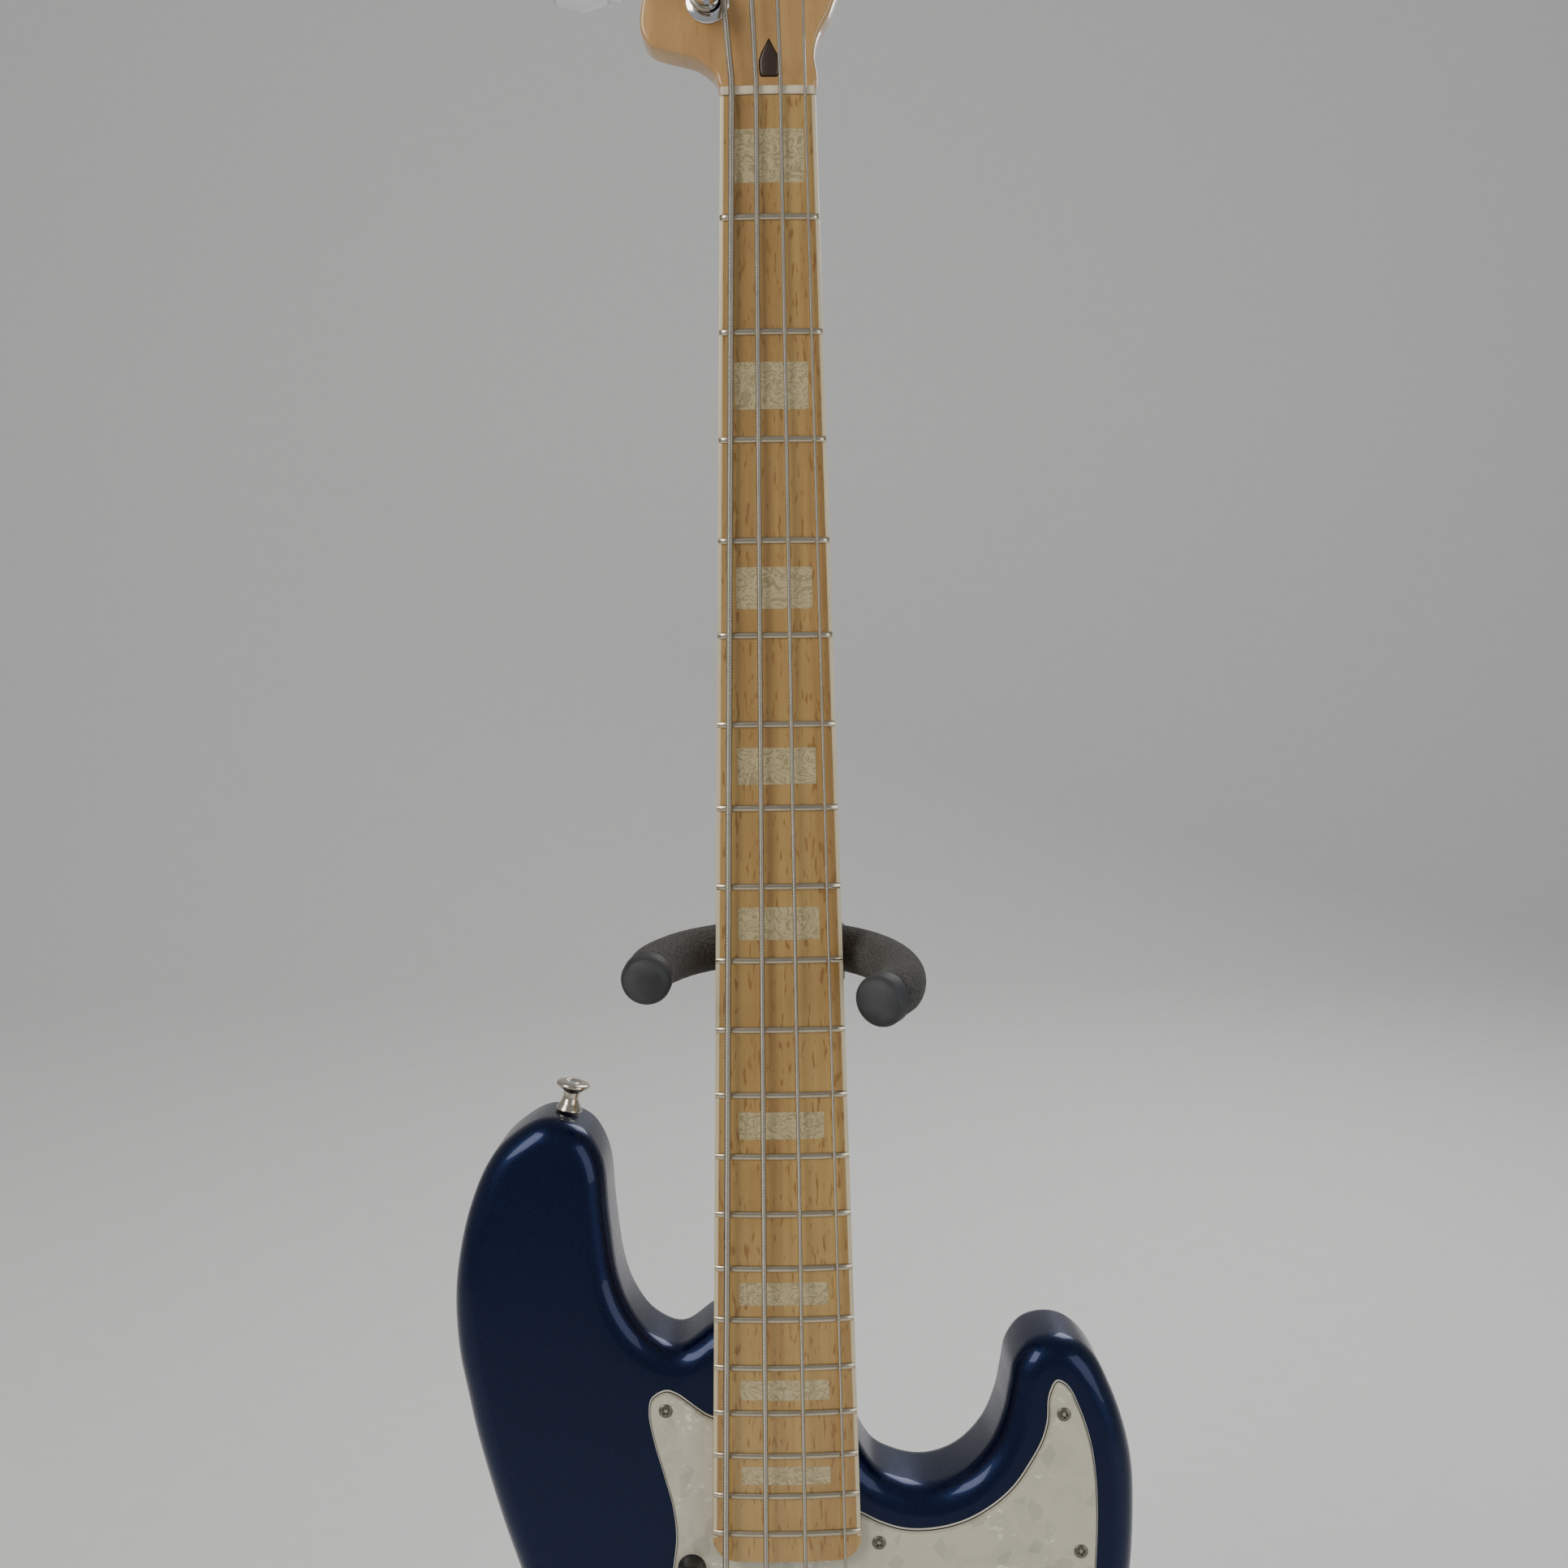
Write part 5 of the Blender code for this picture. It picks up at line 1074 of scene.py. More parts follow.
def make_body(spacing=0.0065, steps=12):
    """One slab with rounded rims, a forearm slope in front and a belly scoop behind."""
    outline = body_outline(7)
    size, back = len(outline), BODY_FACE + BODY_THICK
    rings = []
    for k in range(steps, -1, -1):
        a = math.pi / 2 * (1 - k / steps)
        rings.append((inset(outline, BODY_EDGE * (1 - math.sin(a))), BODY_EDGE * (1 - math.cos(a)), 1))
    rings += [(ring, depth, -1) for ring, depth, _ in reversed(rings)]
    verts, faces = [], []
    for ring, depth, side in rings:
        for w, s in ring:
            front = BODY_FACE + depth + forearm(w, s)
            verts.append(at(w, s, front if side > 0 else back - depth - belly(w, s)))
    for k in range(len(rings) - 1):
        low, high = k * size, (k + 1) * size
        faces += [(low + i, low + (i + 1) % size, high + (i + 1) % size, high + i) for i in range(size)]
    points, triangles = filled(rings[0][0], spacing)
    for front in (True, False):
        start = len(verts)
        for w, s in points:
            verts.append(at(w, s, BODY_FACE + forearm(w, s) if front else back - belly(w, s)))
        faces += [tuple(start + i for i in triangle) for triangle in triangles]
    body = piece("lacquered_body", (verts, faces), BLUE_LACQUER, "bass", ("body",), angle=50)
    floor = HEEL_BACK + GAP
    pockets = [prism(neck_plan(0.00025, BOARD_END - 0.120), 0, floor)]
    for before in PICKUPS_BEFORE_BRIDGE.values():
        hole = shifted(pickup_outline(0.0010), 0, SCALE_LENGTH - before)
        pockets.append(prism(hole, 0, PICKUP_DEPTH + 0.004))
    pockets.append(prism(capsule(*control_ends(), CONTROL_HALF - 0.003), 0, BODY_FACE + CONTROL_CAVITY))
    carve(body, "DIFFERENCE", *pockets)


# Screws
def recess(radius, depth, high):
    """The two crossed slots of a screw head, as cutters that stand out of its top at z = high."""
    thin = radius * 0.16
    arms = []
    for long, wide in ((radius * 0.62, thin), (thin, radius * 0.62)):
        rings = []
        for z, grow in ((high + radius * 0.1, 1.0), (high - depth, 0.55)):
            rings.append([Vector((i * long * (grow if long > wide else 1),
                                  j * wide * (1 if long > wide else grow), z))
                          for i, j in ((1, 1), (-1, 1), (-1, -1), (1, -1))])
        arms.append(loft(rings))
    return arms


def screw_mesh(name, radius, dome, look):
    """A cross-headed screw whose head rests on z = 0."""
    profile = [(0, -0.0006), (radius * 0.72, -0.0006), (radius * 0.98, -0.0001), (radius, dome * 0.20)]
    profile += [(radius * math.cos(a), dome * (0.2 + 0.8 * math.sin(a)))
                for a in (math.pi / 2 * k / 8 for k in range(1, 8))] + [(0, dome)]
    thing = piece(name, turned(profile, 28), look, "bass", place=Matrix.Identity(4))
    return carve(thing, "DIFFERENCE", *recess(radius, dome * 1.1, dome)).data


def stud(name, mesh, spot, body="bass", way=(0, -1, 0), twist=20.0):
    """One more screw, cut like the others."""
    thing = bpy.data.objects.new(name, mesh)
    bpy.context.collection.objects.link(thing)
    turn = Vector((0, 0, 1)).rotation_difference(Vector(way)).to_matrix().to_4x4()
    thing.matrix_world = BASS @ Matrix.Translation(spot) @ turn @ Matrix.Rotation(math.radians(twist), 4,
                                                                                  "Z")
    settle(thing, body, ())
    return thing


def new_screws(name, radius, dome, look):
    """A function that puts screws of one kind in place."""
    mesh = screw_mesh(f"{name}_pattern", radius, dome, look)
    pattern = next(thing for thing in bpy.data.objects if thing.data is mesh)
    bpy.data.objects.remove(pattern)
    count = [0]

    def put(spot, body="bass", way=(0, -1, 0)):
        count[0] += 1
        return stud(f"{name}_{count[0]:02d}", mesh, spot, body, way, 137.5 * count[0])
    return put


# Body fittings
def guard_places():
    upper = [(w * MM, s * MM + BOARD_END) for w, s in GUARD_SCREWS_UPPER]
    return upper + [(w * MM, s * MM + SCALE_LENGTH) for w, s in GUARD_SCREWS_LOWER]


def make_pickguard():
    """Three plies with a bevelled rim that shows the black middle one."""
    face = BODY_FACE - 0.0001
    front = face - GUARD_THICK
    bass_side = spline(from_board_end(GUARD_BASS) + from_bridge(GUARD_BASS_LOWER), 10)
    treble_side = spline(from_bridge(GUARD_TREBLE_LOWER) + from_board_end(GUARD_TREBLE), 10)
    bottom = spline(from_bridge(GUARD_BOTTOM), 10)
    outline = bass_side + bottom + treble_side
    cutouts = [prism(neck_plan(GAP, BOARD_END - 0.100), 0, face + MM),
               prism(shifted(pickup_outline(GAP), 0, SCALE_LENGTH - PICKUPS_BEFORE_BRIDGE["neck"]), 0,
                     face + MM),
               prism(capsule(*control_ends(), CONTROL_HALF + GAP), 0, face + MM)]
    plies = (("pearl_guard_top", PEARL, 0.0, 0.0012, 0.0013, 0.0007),
             ("guard_black_ply", BLACK_PLY, 0.0012, 0.0017, 0.0007, 0.0004),
             ("guard_white_ply", WHITE_PLY, 0.0017, GUARD_THICK, 0.0004, 0.0))
    for k, (name, look, high, low, inner, outer) in enumerate(plies):
        rings = [(inset(outline, inner), front + high), (inset(outline, outer), front + low)]
        shape = loft([[at(p[0], p[1], d) for p in ring] for ring, d in rings])
        ply = piece(name, shape, look, "bass", ("pickguard",) if k == 0 else ())
        carve(ply, "DIFFERENCE", *cutouts)
    put = new_screws("guard_screw", 0.0029, 0.0010, DARK_STEEL)
    for w, s in guard_places():
        put(at(w, s, front))
    return front


def make_thumb_rest(front):
    """A rounded bar with flared ends and two screws."""
    start = BOARD_END + THUMB_AFTER_BOARD - THUMB_LENGTH / 2
    half = THUMB_WIDTH / 2
    ends = (THUMB_W, start + half), (THUMB_W, start + THUMB_LENGTH - half)
    low = front - 0.0001
    levels = [(0, 0), (0.0006, 0.0003), (0.0022, 0.0009), (0.0050, 0.0011), (0.0074, 0.0009)]
    levels += [(THUMB_HEIGHT - 0.0026 * (1 - math.sin(a)), 0.0009 + 0.0026 * (1 - math.cos(a)))
               for a in (math.pi / 2 * k / 6 for k in range(7))]
    rings = [[at(p[0], p[1], low - up) for p in capsule(*ends, half - less, 16)] for up, less in levels]
    rest = piece("thumb_rest_bar", loft(rings), BLACK_PLASTIC, "bass", ("thumb_rest",))
    holes = [Vector((THUMB_W, start + part * THUMB_LENGTH)) for part in (0.22, 0.78)]
    carve(rest, "DIFFERENCE",
          *(rod(at(w, s, low - THUMB_HEIGHT - MM), at(w, s, low - THUMB_HEIGHT + 0.0012), 0.0030)
            for w, s in holes))
    put = new_screws("thumb_rest_screw", 0.0026, 0.0008, DARK_STEEL)
    for w, s in holes:
        put(at(w, s, low - THUMB_HEIGHT + 0.0012))


def make_pickups():
    put = new_screws("pickup_screw", 0.0024, 0.0008, DARK_STEEL)
    for name, before in PICKUPS_BEFORE_BRIDGE.items():
        middle = SCALE_LENGTH - before
        cover = slab(shifted(pickup_outline(0), 0, middle), PICKUP_TOP, PICKUP_DEPTH, 0.0014, 0.0003, 6)
        piece(f"{name}_pickup_cover", cover, BLACK_PLASTIC, "bass", (f"{name}_pickup",))
        for k, (far, near) in enumerate(zip(BRIDGE_STRING_W, NUT_STRING_W)):
            w = far + (near - far) * before / SCALE_LENGTH
            for side in (-1, 1):
                spot = w + side * 0.0042
                pole = turned(eased([(0, 0), (0.0024, 0), (0.0024, 0.0016), (0, 0.0016)], 0.0004), 28)
                piece(f"{name}_pole_{STRING_NAMES[k]}_{'bt'[side > 0]}",
                      placed(pole, at(spot, middle, PICKUP_TOP + 0.0008), (0, -1, 0)), STEEL, "bass")
        for i in (-1, 1):
            put(at(i * (PICKUP_LENGTH / 2 - 0.0042), middle, PICKUP_TOP))


def knurled(name, body, spot, stands_for):
    """A flat-topped knob with a knurled side and a domed top."""
    sides, rings = 108, []
    levels = [(0, KNOB_RADIUS - 0.0006, 0), (0.0005, KNOB_RADIUS, 0), (0.0022, KNOB_RADIUS, 0),
              (0.0026, KNOB_RADIUS - 0.0003, 0), (0.0030, KNOB_RADIUS - 0.0003, 1),
              (KNOB_HEIGHT - 0.0030, KNOB_RADIUS - 0.0003, 1),
              (KNOB_HEIGHT - 0.0026, KNOB_RADIUS - 0.0003, 0),
              (KNOB_HEIGHT - 0.0010, KNOB_RADIUS - 0.0002, 0),
              (KNOB_HEIGHT - 0.0003, KNOB_RADIUS - 0.0009, 0),
              (KNOB_HEIGHT, KNOB_RADIUS - 0.0022, 0), (KNOB_HEIGHT + 0.0002, KNOB_RADIUS * 0.45, 0)]
    for z, radius, cut_in in levels:
        rings.append([Vector(((radius - 0.00035 * cut_in * (k % 2)) * math.cos(2 * math.pi * k / sides),
                              (radius - 0.00035 * cut_in * (k % 2)) * math.sin(2 * math.pi * k / sides), z))
                      for k in range(sides)])
    knob = piece(name, placed(loft(rings), spot, (0, -1, 0)), CHROME, body, stands_for)
    top = spot.y - KNOB_HEIGHT - 0.0002
    mark = slab(capsule((spot.x, -spot.z - 0.0035), (spot.x, -spot.z - 0.0070), 0.0007, 8), top,
                top + 0.0006, 0.0001)
    piece(f"{name}_mark", mark, BLACK_PLASTIC, body)
    return knob


def make_controls():
    face = BODY_FACE - 0.0001
    front = BODY_FACE - GAP - CONTROL_THICK
    top, bottom = control_ends()
    plate = piece("chrome_control_plate",
                  slab(capsule(top, bottom, CONTROL_HALF), front, face, 0.0006, 0.0001), CHROME,
                  "bass", ("control_plate",))
    hole_spots = [top.lerp(bottom, part) for part in (*KNOB_SPOTS.values(), JACK_SPOT)]
    carve(plate, "DIFFERENCE",
          *(rod(at(w, s, 0), at(w, s, face + MM), JACK_RADIUS + 0.0001) for w, s in hole_spots))
    for (name, part), (w, s) in zip(KNOB_SPOTS.items(), hole_spots):
        washer = turned(eased([(KNOB_SHAFT_RADIUS, 0), (0.0070, 0), (0.0070, 0.0004),
                               (KNOB_SHAFT_RADIUS, 0.0004)], 0.0001),
                        36)
        piece(f"{name}_washer", placed(washer, at(w, s, front), (0, -1, 0)), STEEL, "bass")
        piece(f"{name}_shaft", rod(at(w, s, face + 0.010), at(w, s, front - 0.0020), KNOB_SHAFT_RADIUS, 24),
              STEEL, "bass")
        piece(f"{name}_pot",
              placed(turned(eased([(0, 0), (0.0110, 0), (0.0110, 0.0100), (0, 0.0100)], 0.001), 36),
                     at(w, s, face + 0.0005), (0, 1, 0)), STEEL, "bass")
        knurled(f"{name}_knob", f"knob_{name}", at(w, s, front - GAP), (f"knob_{name}",))
    make_jack(hole_spots[-1], front)
    put = new_screws("control_screw", 0.0029, 0.0010, CHROME)
    along = (bottom - top).normalized()
    for spot in (top - along * (CONTROL_HALF - 0.0060), bottom + along * (CONTROL_HALF - 0.0052)):
        put(at(spot.x, spot.y, front))


def make_jack(spot, front):
    """A threaded jack with its hexagonal nut and washer."""
    w, s = spot
    bore = JACK_RADIUS * 0.68
    threads = []
    for k in range(8):
        z = -0.0005 + 0.0034 * k / 7
        threads += [(JACK_RADIUS, z), (JACK_RADIUS - 0.0003, z + 0.00024)]
    profile = [(bore, -0.020), (JACK_RADIUS, -0.020)] + threads + [(bore + 0.0004, 0.0031), (bore, 0.0027)]
    piece("jack_sleeve", placed(turned(profile, 40, closed=True), at(w, s, front), (0, -1, 0)), CHROME,
          "bass", ("output_jack",))
    hexagon = [(w + 0.0072 * math.cos(a), s + 0.0072 * math.sin(a))
               for a in (math.pi / 3 * k for k in range(6))]
    nut = piece("jack_nut", slab(hexagon, front - 0.0024, front - 0.0004, 0.0004), CHROME, "bass")
    carve(nut, "DIFFERENCE", rod(at(w, s, front - 0.01), at(w, s, front + 0.01), JACK_RADIUS - 0.0001))
    washer = turned(eased([(JACK_RADIUS, 0), (0.0078, 0), (0.0078, 0.0004), (JACK_RADIUS, 0.0004)], 0.0001),
                    40)
    piece("jack_washer", placed(washer, at(w, s, front), (0, -1, 0)), STEEL, "bass")


# Bridge
def saddle_depth(k):
    thick = STRING_DIAMETERS[k]
    return string_depth(BRIDGE_STRING_W[k], thick, BRIDGE_RISE) + thick / 2 + 0.0003 + SADDLE_RADIUS


def make_bridge():
    """A bent plate whose raised lip holds the strings' ball ends and the saddles' long screws."""
    face = BODY_FACE - 0.0001
    half, front, lip = BRIDGE_WIDTH / 2, SCALE_LENGTH - BRIDGE_FRONT, lip_place()
    middle = sum(BRIDGE_STRING_W) / 4
    outline = rounded_box(half, (lip - front) / 2, 0.0025)
    top = face - BRIDGE_THICK
    plate = piece("chrome_bridge_plate",
                  slab(shifted(outline, middle, (front + lip) / 2), top, face, 0.0006), CHROME,
                  "bass", ("bridge_plate",))
    bend = 0.0022
    section = [(lip - BRIDGE_THICK - bend, top)]
    section += [(lip - BRIDGE_THICK - bend * (1 - math.sin(a)), top - bend * (1 - math.cos(a)))
                for a in (math.pi / 2 * k / 6 for k in range(1, 7))]
    section += [(lip - BRIDGE_THICK, -BRIDGE_LIP_TOP + 0.0006),
                (lip - BRIDGE_THICK + 0.0006, -BRIDGE_LIP_TOP),
                (lip - 0.0006, -BRIDGE_LIP_TOP), (lip, -BRIDGE_LIP_TOP + 0.0006), (lip, face - 0.0015),
                (lip - 0.0010, face - 0.0002), (lip - BRIDGE_THICK - bend, face - 0.0002)]
    ends = [(-half + 0.0001, 0.0006), (-half + 0.0007, 0.0), (half - 0.0007, 0.0), (half - 0.0001, 0.0006)]
    centre = Vector((lip - BRIDGE_THICK / 2, (face - BRIDGE_LIP_TOP) / 2))
    rings = []
    for w, less in ends:
        shrink = 1 - less / 0.008
        rings.append([at(middle + w, centre.x + (s - centre.x) * shrink, centre.y + (d - centre.y) * shrink)
                      for s, d in section])
    carve(plate, "UNION", loft(rings))
    holes = [rod(at(w, lip - 0.006, LIP_HOLE_D), at(w, lip + 0.006, LIP_HOLE_D),
                 STRING_DIAMETERS[k] / 2 + 0.0006)
             for k, w in enumerate(BRIDGE_STRING_W)]
    grooves = [block((w - 0.0060, w - 0.0044), (SCALE_LENGTH - 0.0120, lip - 0.016),
                     (top - MM, top + 0.0006))
               for w in BRIDGE_STRING_W]
    grooves += [block((w + 0.0044, w + 0.0060), (SCALE_LENGTH - 0.0120, lip - 0.016),
                      (top - MM, top + 0.0006))
                for w in BRIDGE_STRING_W]
    carve(plate, "DIFFERENCE", *holes, *grooves)
    put = new_screws("bridge_screw", 0.0036, 0.0015, CHROME)
    for k in range(5):
        put(at(middle + (k - 2) * 0.0175, front + 0.0052, top))
    long_screw = new_screws("intonation_screw_head", 0.0026, 0.0014, CHROME)
    for k, name in enumerate(STRING_NAMES):
        make_saddle(k, name, lip, top)
        long_screw(at(BRIDGE_STRING_W[k], lip + 0.0001, saddle_depth(k)), "bass", (0, 0, -1))


def threaded(start, end, radius, pitch, depth, sides=20, edge=0.0):
    """A rod with rings of thread cut round it."""
    start, end = Vector(start), Vector(end)
    length = (end - start).length
    count = max(2, int(length / pitch))
    points, radii = [start], [radius - depth - edge]
    for k in range(count):
        for part, out in ((0.15, radius - depth), (0.5, radius), (0.85, radius - depth)):
            points.append(start.lerp(end, (k + part) / count))
            radii.append(out)
    return tube(points + [end], radii + [radius - depth - edge], sides)


def make_saddle(k, name, lip, top):
    """A threaded barrel on two height screws, drawn back by a long screw inside a spring."""
    w, d = BRIDGE_STRING_W[k], saddle_depth(k)
    body, half = f"saddle_{name}", SADDLE_LENGTH / 2
    barrel = threaded(at(w - half, SCALE_LENGTH, d), at(w + half, SCALE_LENGTH, d), SADDLE_RADIUS, 0.0011,
                      0.0003, 32, 0.0004)
    saddle = piece(f"saddle_barrel_{name}", barrel, CHROME, body, (f"saddle_{name}",))
    drill = SADDLE_SCREW_RADIUS + 0.0002
    carve(saddle, "DIFFERENCE", rod(at(w, SCALE_LENGTH - 0.01, d), at(w, SCALE_LENGTH + 0.01, d), drill, 16))
    for i, side in ((-1, "b"), (1, "t")):
        spot = w + i * 0.0058
        grub = threaded(at(spot, SCALE_LENGTH, d - SADDLE_RADIUS - 0.0008),
                        at(spot, SCALE_LENGTH, top - 0.0003), 0.0013, 0.0005, 0.00015, 18)
        grub = piece(f"height_screw_{name}_{side}", grub, STEEL, body)
        socket = [(spot + 0.0007 * math.cos(a), SCALE_LENGTH + 0.0007 * math.sin(a))
                  for a in (math.pi / 3 * j for j in range(6))]
        high = d - SADDLE_RADIUS - 0.0008
        carve(grub, "DIFFERENCE", prism(socket, high - MM, high + 0.0010))
    front_end, back_end = SCALE_LENGTH - 0.0085, lip - 0.0002
    long_screw = threaded(at(w, front_end, d), at(w, back_end, d), SADDLE_SCREW_RADIUS, 0.0006, 0.00015, 18)
    piece(f"intonation_screw_{name}", long_screw, STEEL, "bass")
    start, end = SCALE_LENGTH + SADDLE_RADIUS + 0.0046, lip - BRIDGE_THICK - 0.0004
    turns = 11
    coil = helix(at(w, start, d), (0, 0, -1), 0.0021, (end - start) / turns, turns, 20)
    piece(f"intonation_spring_{name}", tube(coil, 0.00032, 8), STEEL, "bass", angle=80)


# Tuners
def make_bushings():
    """Chrome ferrules in the headstock's face, round the posts."""
    for name, w, s in zip(STRING_NAMES, POST_W, POST_S):
        bore = POST_RADIUS + 0.0004
        profile = [(bore, 0), (BUSHING_RADIUS, 0), (BUSHING_RADIUS, 0.0007), (BUSHING_RADIUS * 0.80, 0.0014),
                   (BUSHING_RADIUS * 0.68, 0.0017), (bore, 0.0017), (bore, 0)]
        ring = turned(eased(profile[:-1], 0.0003), 48, closed=True)
        piece(f"bushing_{name}", placed(ring, at(w, s, HEAD_FACE - 0.0001), (0, -1, 0)), CHROME, "bass")


def make_posts():
    """String posts with a waist, a flared and slotted head, and a toothed gear behind the headstock."""
    back = HEAD_BACK + GAP
    gear_low = TUNER_PLATE_THICK + GAP
    gear_top = gear_low + 2 * WORM_RADIUS
    for name, w, s in zip(STRING_NAMES, POST_W, POST_S):
        top = HEAD_FACE - POST_HEIGHT - back
        profile = [(0, top), (POST_HEAD_RADIUS - 0.0006, top), (POST_HEAD_RADIUS, top + 0.0010),
                   (POST_HEAD_RADIUS, top + 0.0040), (POST_HEAD_RADIUS - 0.0006, top + 0.0047),
                   (POST_RADIUS, top + 0.0060), (POST_RADIUS, gear_low + 0.0002), (0, gear_low + 0.0002)]
        spot = at(w, s, back)
        post = piece(f"slotted_post_{name}", placed(turned(eased(profile, 0.0005), 48), spot, (0, 1, 0)),
                     CHROME, f"post_{name}", (f"tuner_post_{name}",))
        carve(post, "DIFFERENCE", box((w - 0.0012, w + 0.0012), (s - 0.01, s + 0.01),
                                      (back + top - MM, back + top + 0.0040)),
              rod(at(w, s, back + top - MM), at(w, s, back + top + 0.0060), 0.0018, 20))
        outline = []
        for k in range(GEAR_TEETH * 6):
            a = 2 * math.pi * k / (GEAR_TEETH * 6)
            tooth = (0.0, 0.35, 1.0, 1.0, 0.35, 0.0)[k % 6]
            radius = GEAR_RADIUS - 0.0012 * (1 - tooth)
            outline.append((w + radius * math.cos(a), s + radius * math.sin(a)))
        wheel = slab(outline, back + gear_low, back + gear_top, 0.0002, 0.0002, 2)
        piece(f"gear_{name}", wheel, STEEL, f"post_{name}")
        screw = [(0, 0), (0.0030, 0), (0.0030, 0.0010), (0.0022, 0.0016), (0, 0.0017)]
        head = piece(f"gear_screw_{name}",
                     placed(turned(eased(screw, 0.0003), 28), at(w, s, back + gear_top), (0, 1, 0)),
                     STEEL, f"post_{name}")
        carve(head, "DIFFERENCE", box((w - 0.0004, w + 0.0004), (s - 0.004, s + 0.004),
                                      (back + gear_top + 0.0010, back + gear_top + 0.003)))


def make_keys():
    """Clover-leaf keys, each on its shaft with a worm that meets the gear."""
    back = HEAD_BACK + GAP
    worm_d = back + TUNER_PLATE_THICK + GAP + WORM_RADIUS
    worm_s = -(GEAR_RADIUS + WORM_RADIUS + 0.0005)
    for name, w, s in zip(STRING_NAMES, POST_W, POST_S):
        spot_s = s + worm_s
        body = f"key_{name}"
        shaft = round_ended([at(w + 0.0145, spot_s, worm_d), at(w - KEY_REACH + 0.004, spot_s, worm_d)],
                            KEY_SHAFT_RADIUS, 28, 0.0004)
        piece(f"key_shaft_{name}", shaft, CHROME, body, (f"tuner_key_{name}",))
        worm = threaded(at(w - 0.0095, spot_s, worm_d), at(w + 0.0095, spot_s, worm_d), WORM_RADIUS, 0.0021,
                        0.0010, 32)
        piece(f"worm_{name}", worm, STEEL, body)
        ferrule = turned(eased([(0, 0), (0.0034, 0), (0.0040, 0.0020), (0.0030, 0.0065), (0, 0.0065)],
                               0.0008), 32)
        axis = at(0, spot_s, worm_d)
        turn = Matrix.Translation(axis) @ Matrix.Rotation(KEY_TURN, 4, "X") @ Matrix.Translation(-axis)
        piece(f"key_ferrule_{name}",
              placed(ferrule, at(w - KEY_REACH + KEY_HALF_LENGTH + 0.0045, spot_s, worm_d),
                     (-1, 0, 0)), CHROME, body)
        outline = []
        for k in range(72):
            a = 2 * math.pi * k / 72
            lobe = 1 - 0.13 * math.cos(3 * a) ** 2 - 0.05 * (1 + math.cos(a)) / 2
            outline.append((w - KEY_REACH + KEY_HALF_LENGTH * 0.98 * math.cos(a) * lobe / 0.87 * 0.90,
                            spot_s + KEY_HALF_WIDTH * 1.05 * math.sin(a) * lobe / 0.95 * 0.94))
        half = KEY_THICK / 2
        points, faces = slab(outline, worm_d - half, worm_d + half, 0.0014, 0.0014, 6)
        piece(f"key_leaf_{name}", ([turn @ point for point in points], faces), CHROME, body)


def make_tuner_plates():
    put = new_screws("tuner_screw", 0.0021, 0.0009, CHROME)
    back = HEAD_BACK + GAP
    worm_s = -(GEAR_RADIUS + WORM_RADIUS + 0.0005)
    worm_d = back + TUNER_PLATE_THICK + GAP + WORM_RADIUS
    for name, w, s in zip(STRING_NAMES, POST_W, POST_S):
        outline = shifted(rounded_box(0.0140, 0.01675, 0.0035), w, s - 0.00375)
        plate = piece(f"tuner_backplate_{name}",
                      slab(outline, HEAD_BACK + 0.0001, back + TUNER_PLATE_THICK, 0.0001,
                           0.0006), CHROME, "bass", (f"tuner_plate_{name}",))
        lugs = []
        for i in (-0.012, 0.012):
            arch = [(s + worm_s + 0.0045 * math.cos(a), worm_d + 0.0045 * math.sin(a))
                    for a in (math.pi * k / 12 for k in range(13))]
            arch = [(s + worm_s + 0.0045, back + TUNER_PLATE_THICK / 2)] + arch
            arch.append((s + worm_s - 0.0045, back + TUNER_PLATE_THICK / 2))
            lugs.append(loft([[at(w + i + side * 0.002, a, d) for a, d in arch] for side in (-1, 1)]))
        carve(plate, "UNION", *lugs)
        carve(plate, "DIFFERENCE", rod(at(w, s, back - 0.002), at(w, s, back + 0.01), POST_RADIUS + 0.0003),
              rod(at(w - 0.02, s + worm_s, worm_d), at(w + 0.02, s + worm_s, worm_d),
                  KEY_SHAFT_RADIUS + 0.0002))
        for i, j in ((-1, -1), (1, -1), (-1, 1), (1, 1)):
            spot = at(w + i * 0.0112, s + (0.0098 if j > 0 else -0.0060), back + TUNER_PLATE_THICK)
            put(spot, "bass", (0, 1, 0))


def make_string_tree():
    """A round button that holds the two thin strings down, on its screw."""
    stem, top = 0.0022, TREE_UNDER - 0.0020
    edge = TREE_RADIUS
    profile = [(0, 0.0001), (edge - 0.0030, 0), (edge - 0.0010, 0.0003), (edge, 0.0009),
               (edge, TREE_UNDER - top - 0.0002),
               (edge - 0.0006, TREE_UNDER - top), (stem + 0.0003, TREE_UNDER - top),
               (stem, HEAD_FACE - top - 0.0003),
               (stem + 0.0012, HEAD_FACE - top), (stem, HEAD_FACE + 0.003 - top),
               (0, HEAD_FACE + 0.004 - top)]
    button = piece("string_tree_button", placed(turned(profile, 48), at(TREE_W, TREE_S, top), (0, 1, 0)),
                   CHROME, "bass", ("string_tree",))
    carve(button, "DIFFERENCE", rod(at(TREE_W, TREE_S, top - MM), at(TREE_W, TREE_S, top + 0.0006), 0.0030))
    new_screws("tree_screw", 0.0024, 0.0006, CHROME)(at(TREE_W, TREE_S, top + 0.0006))


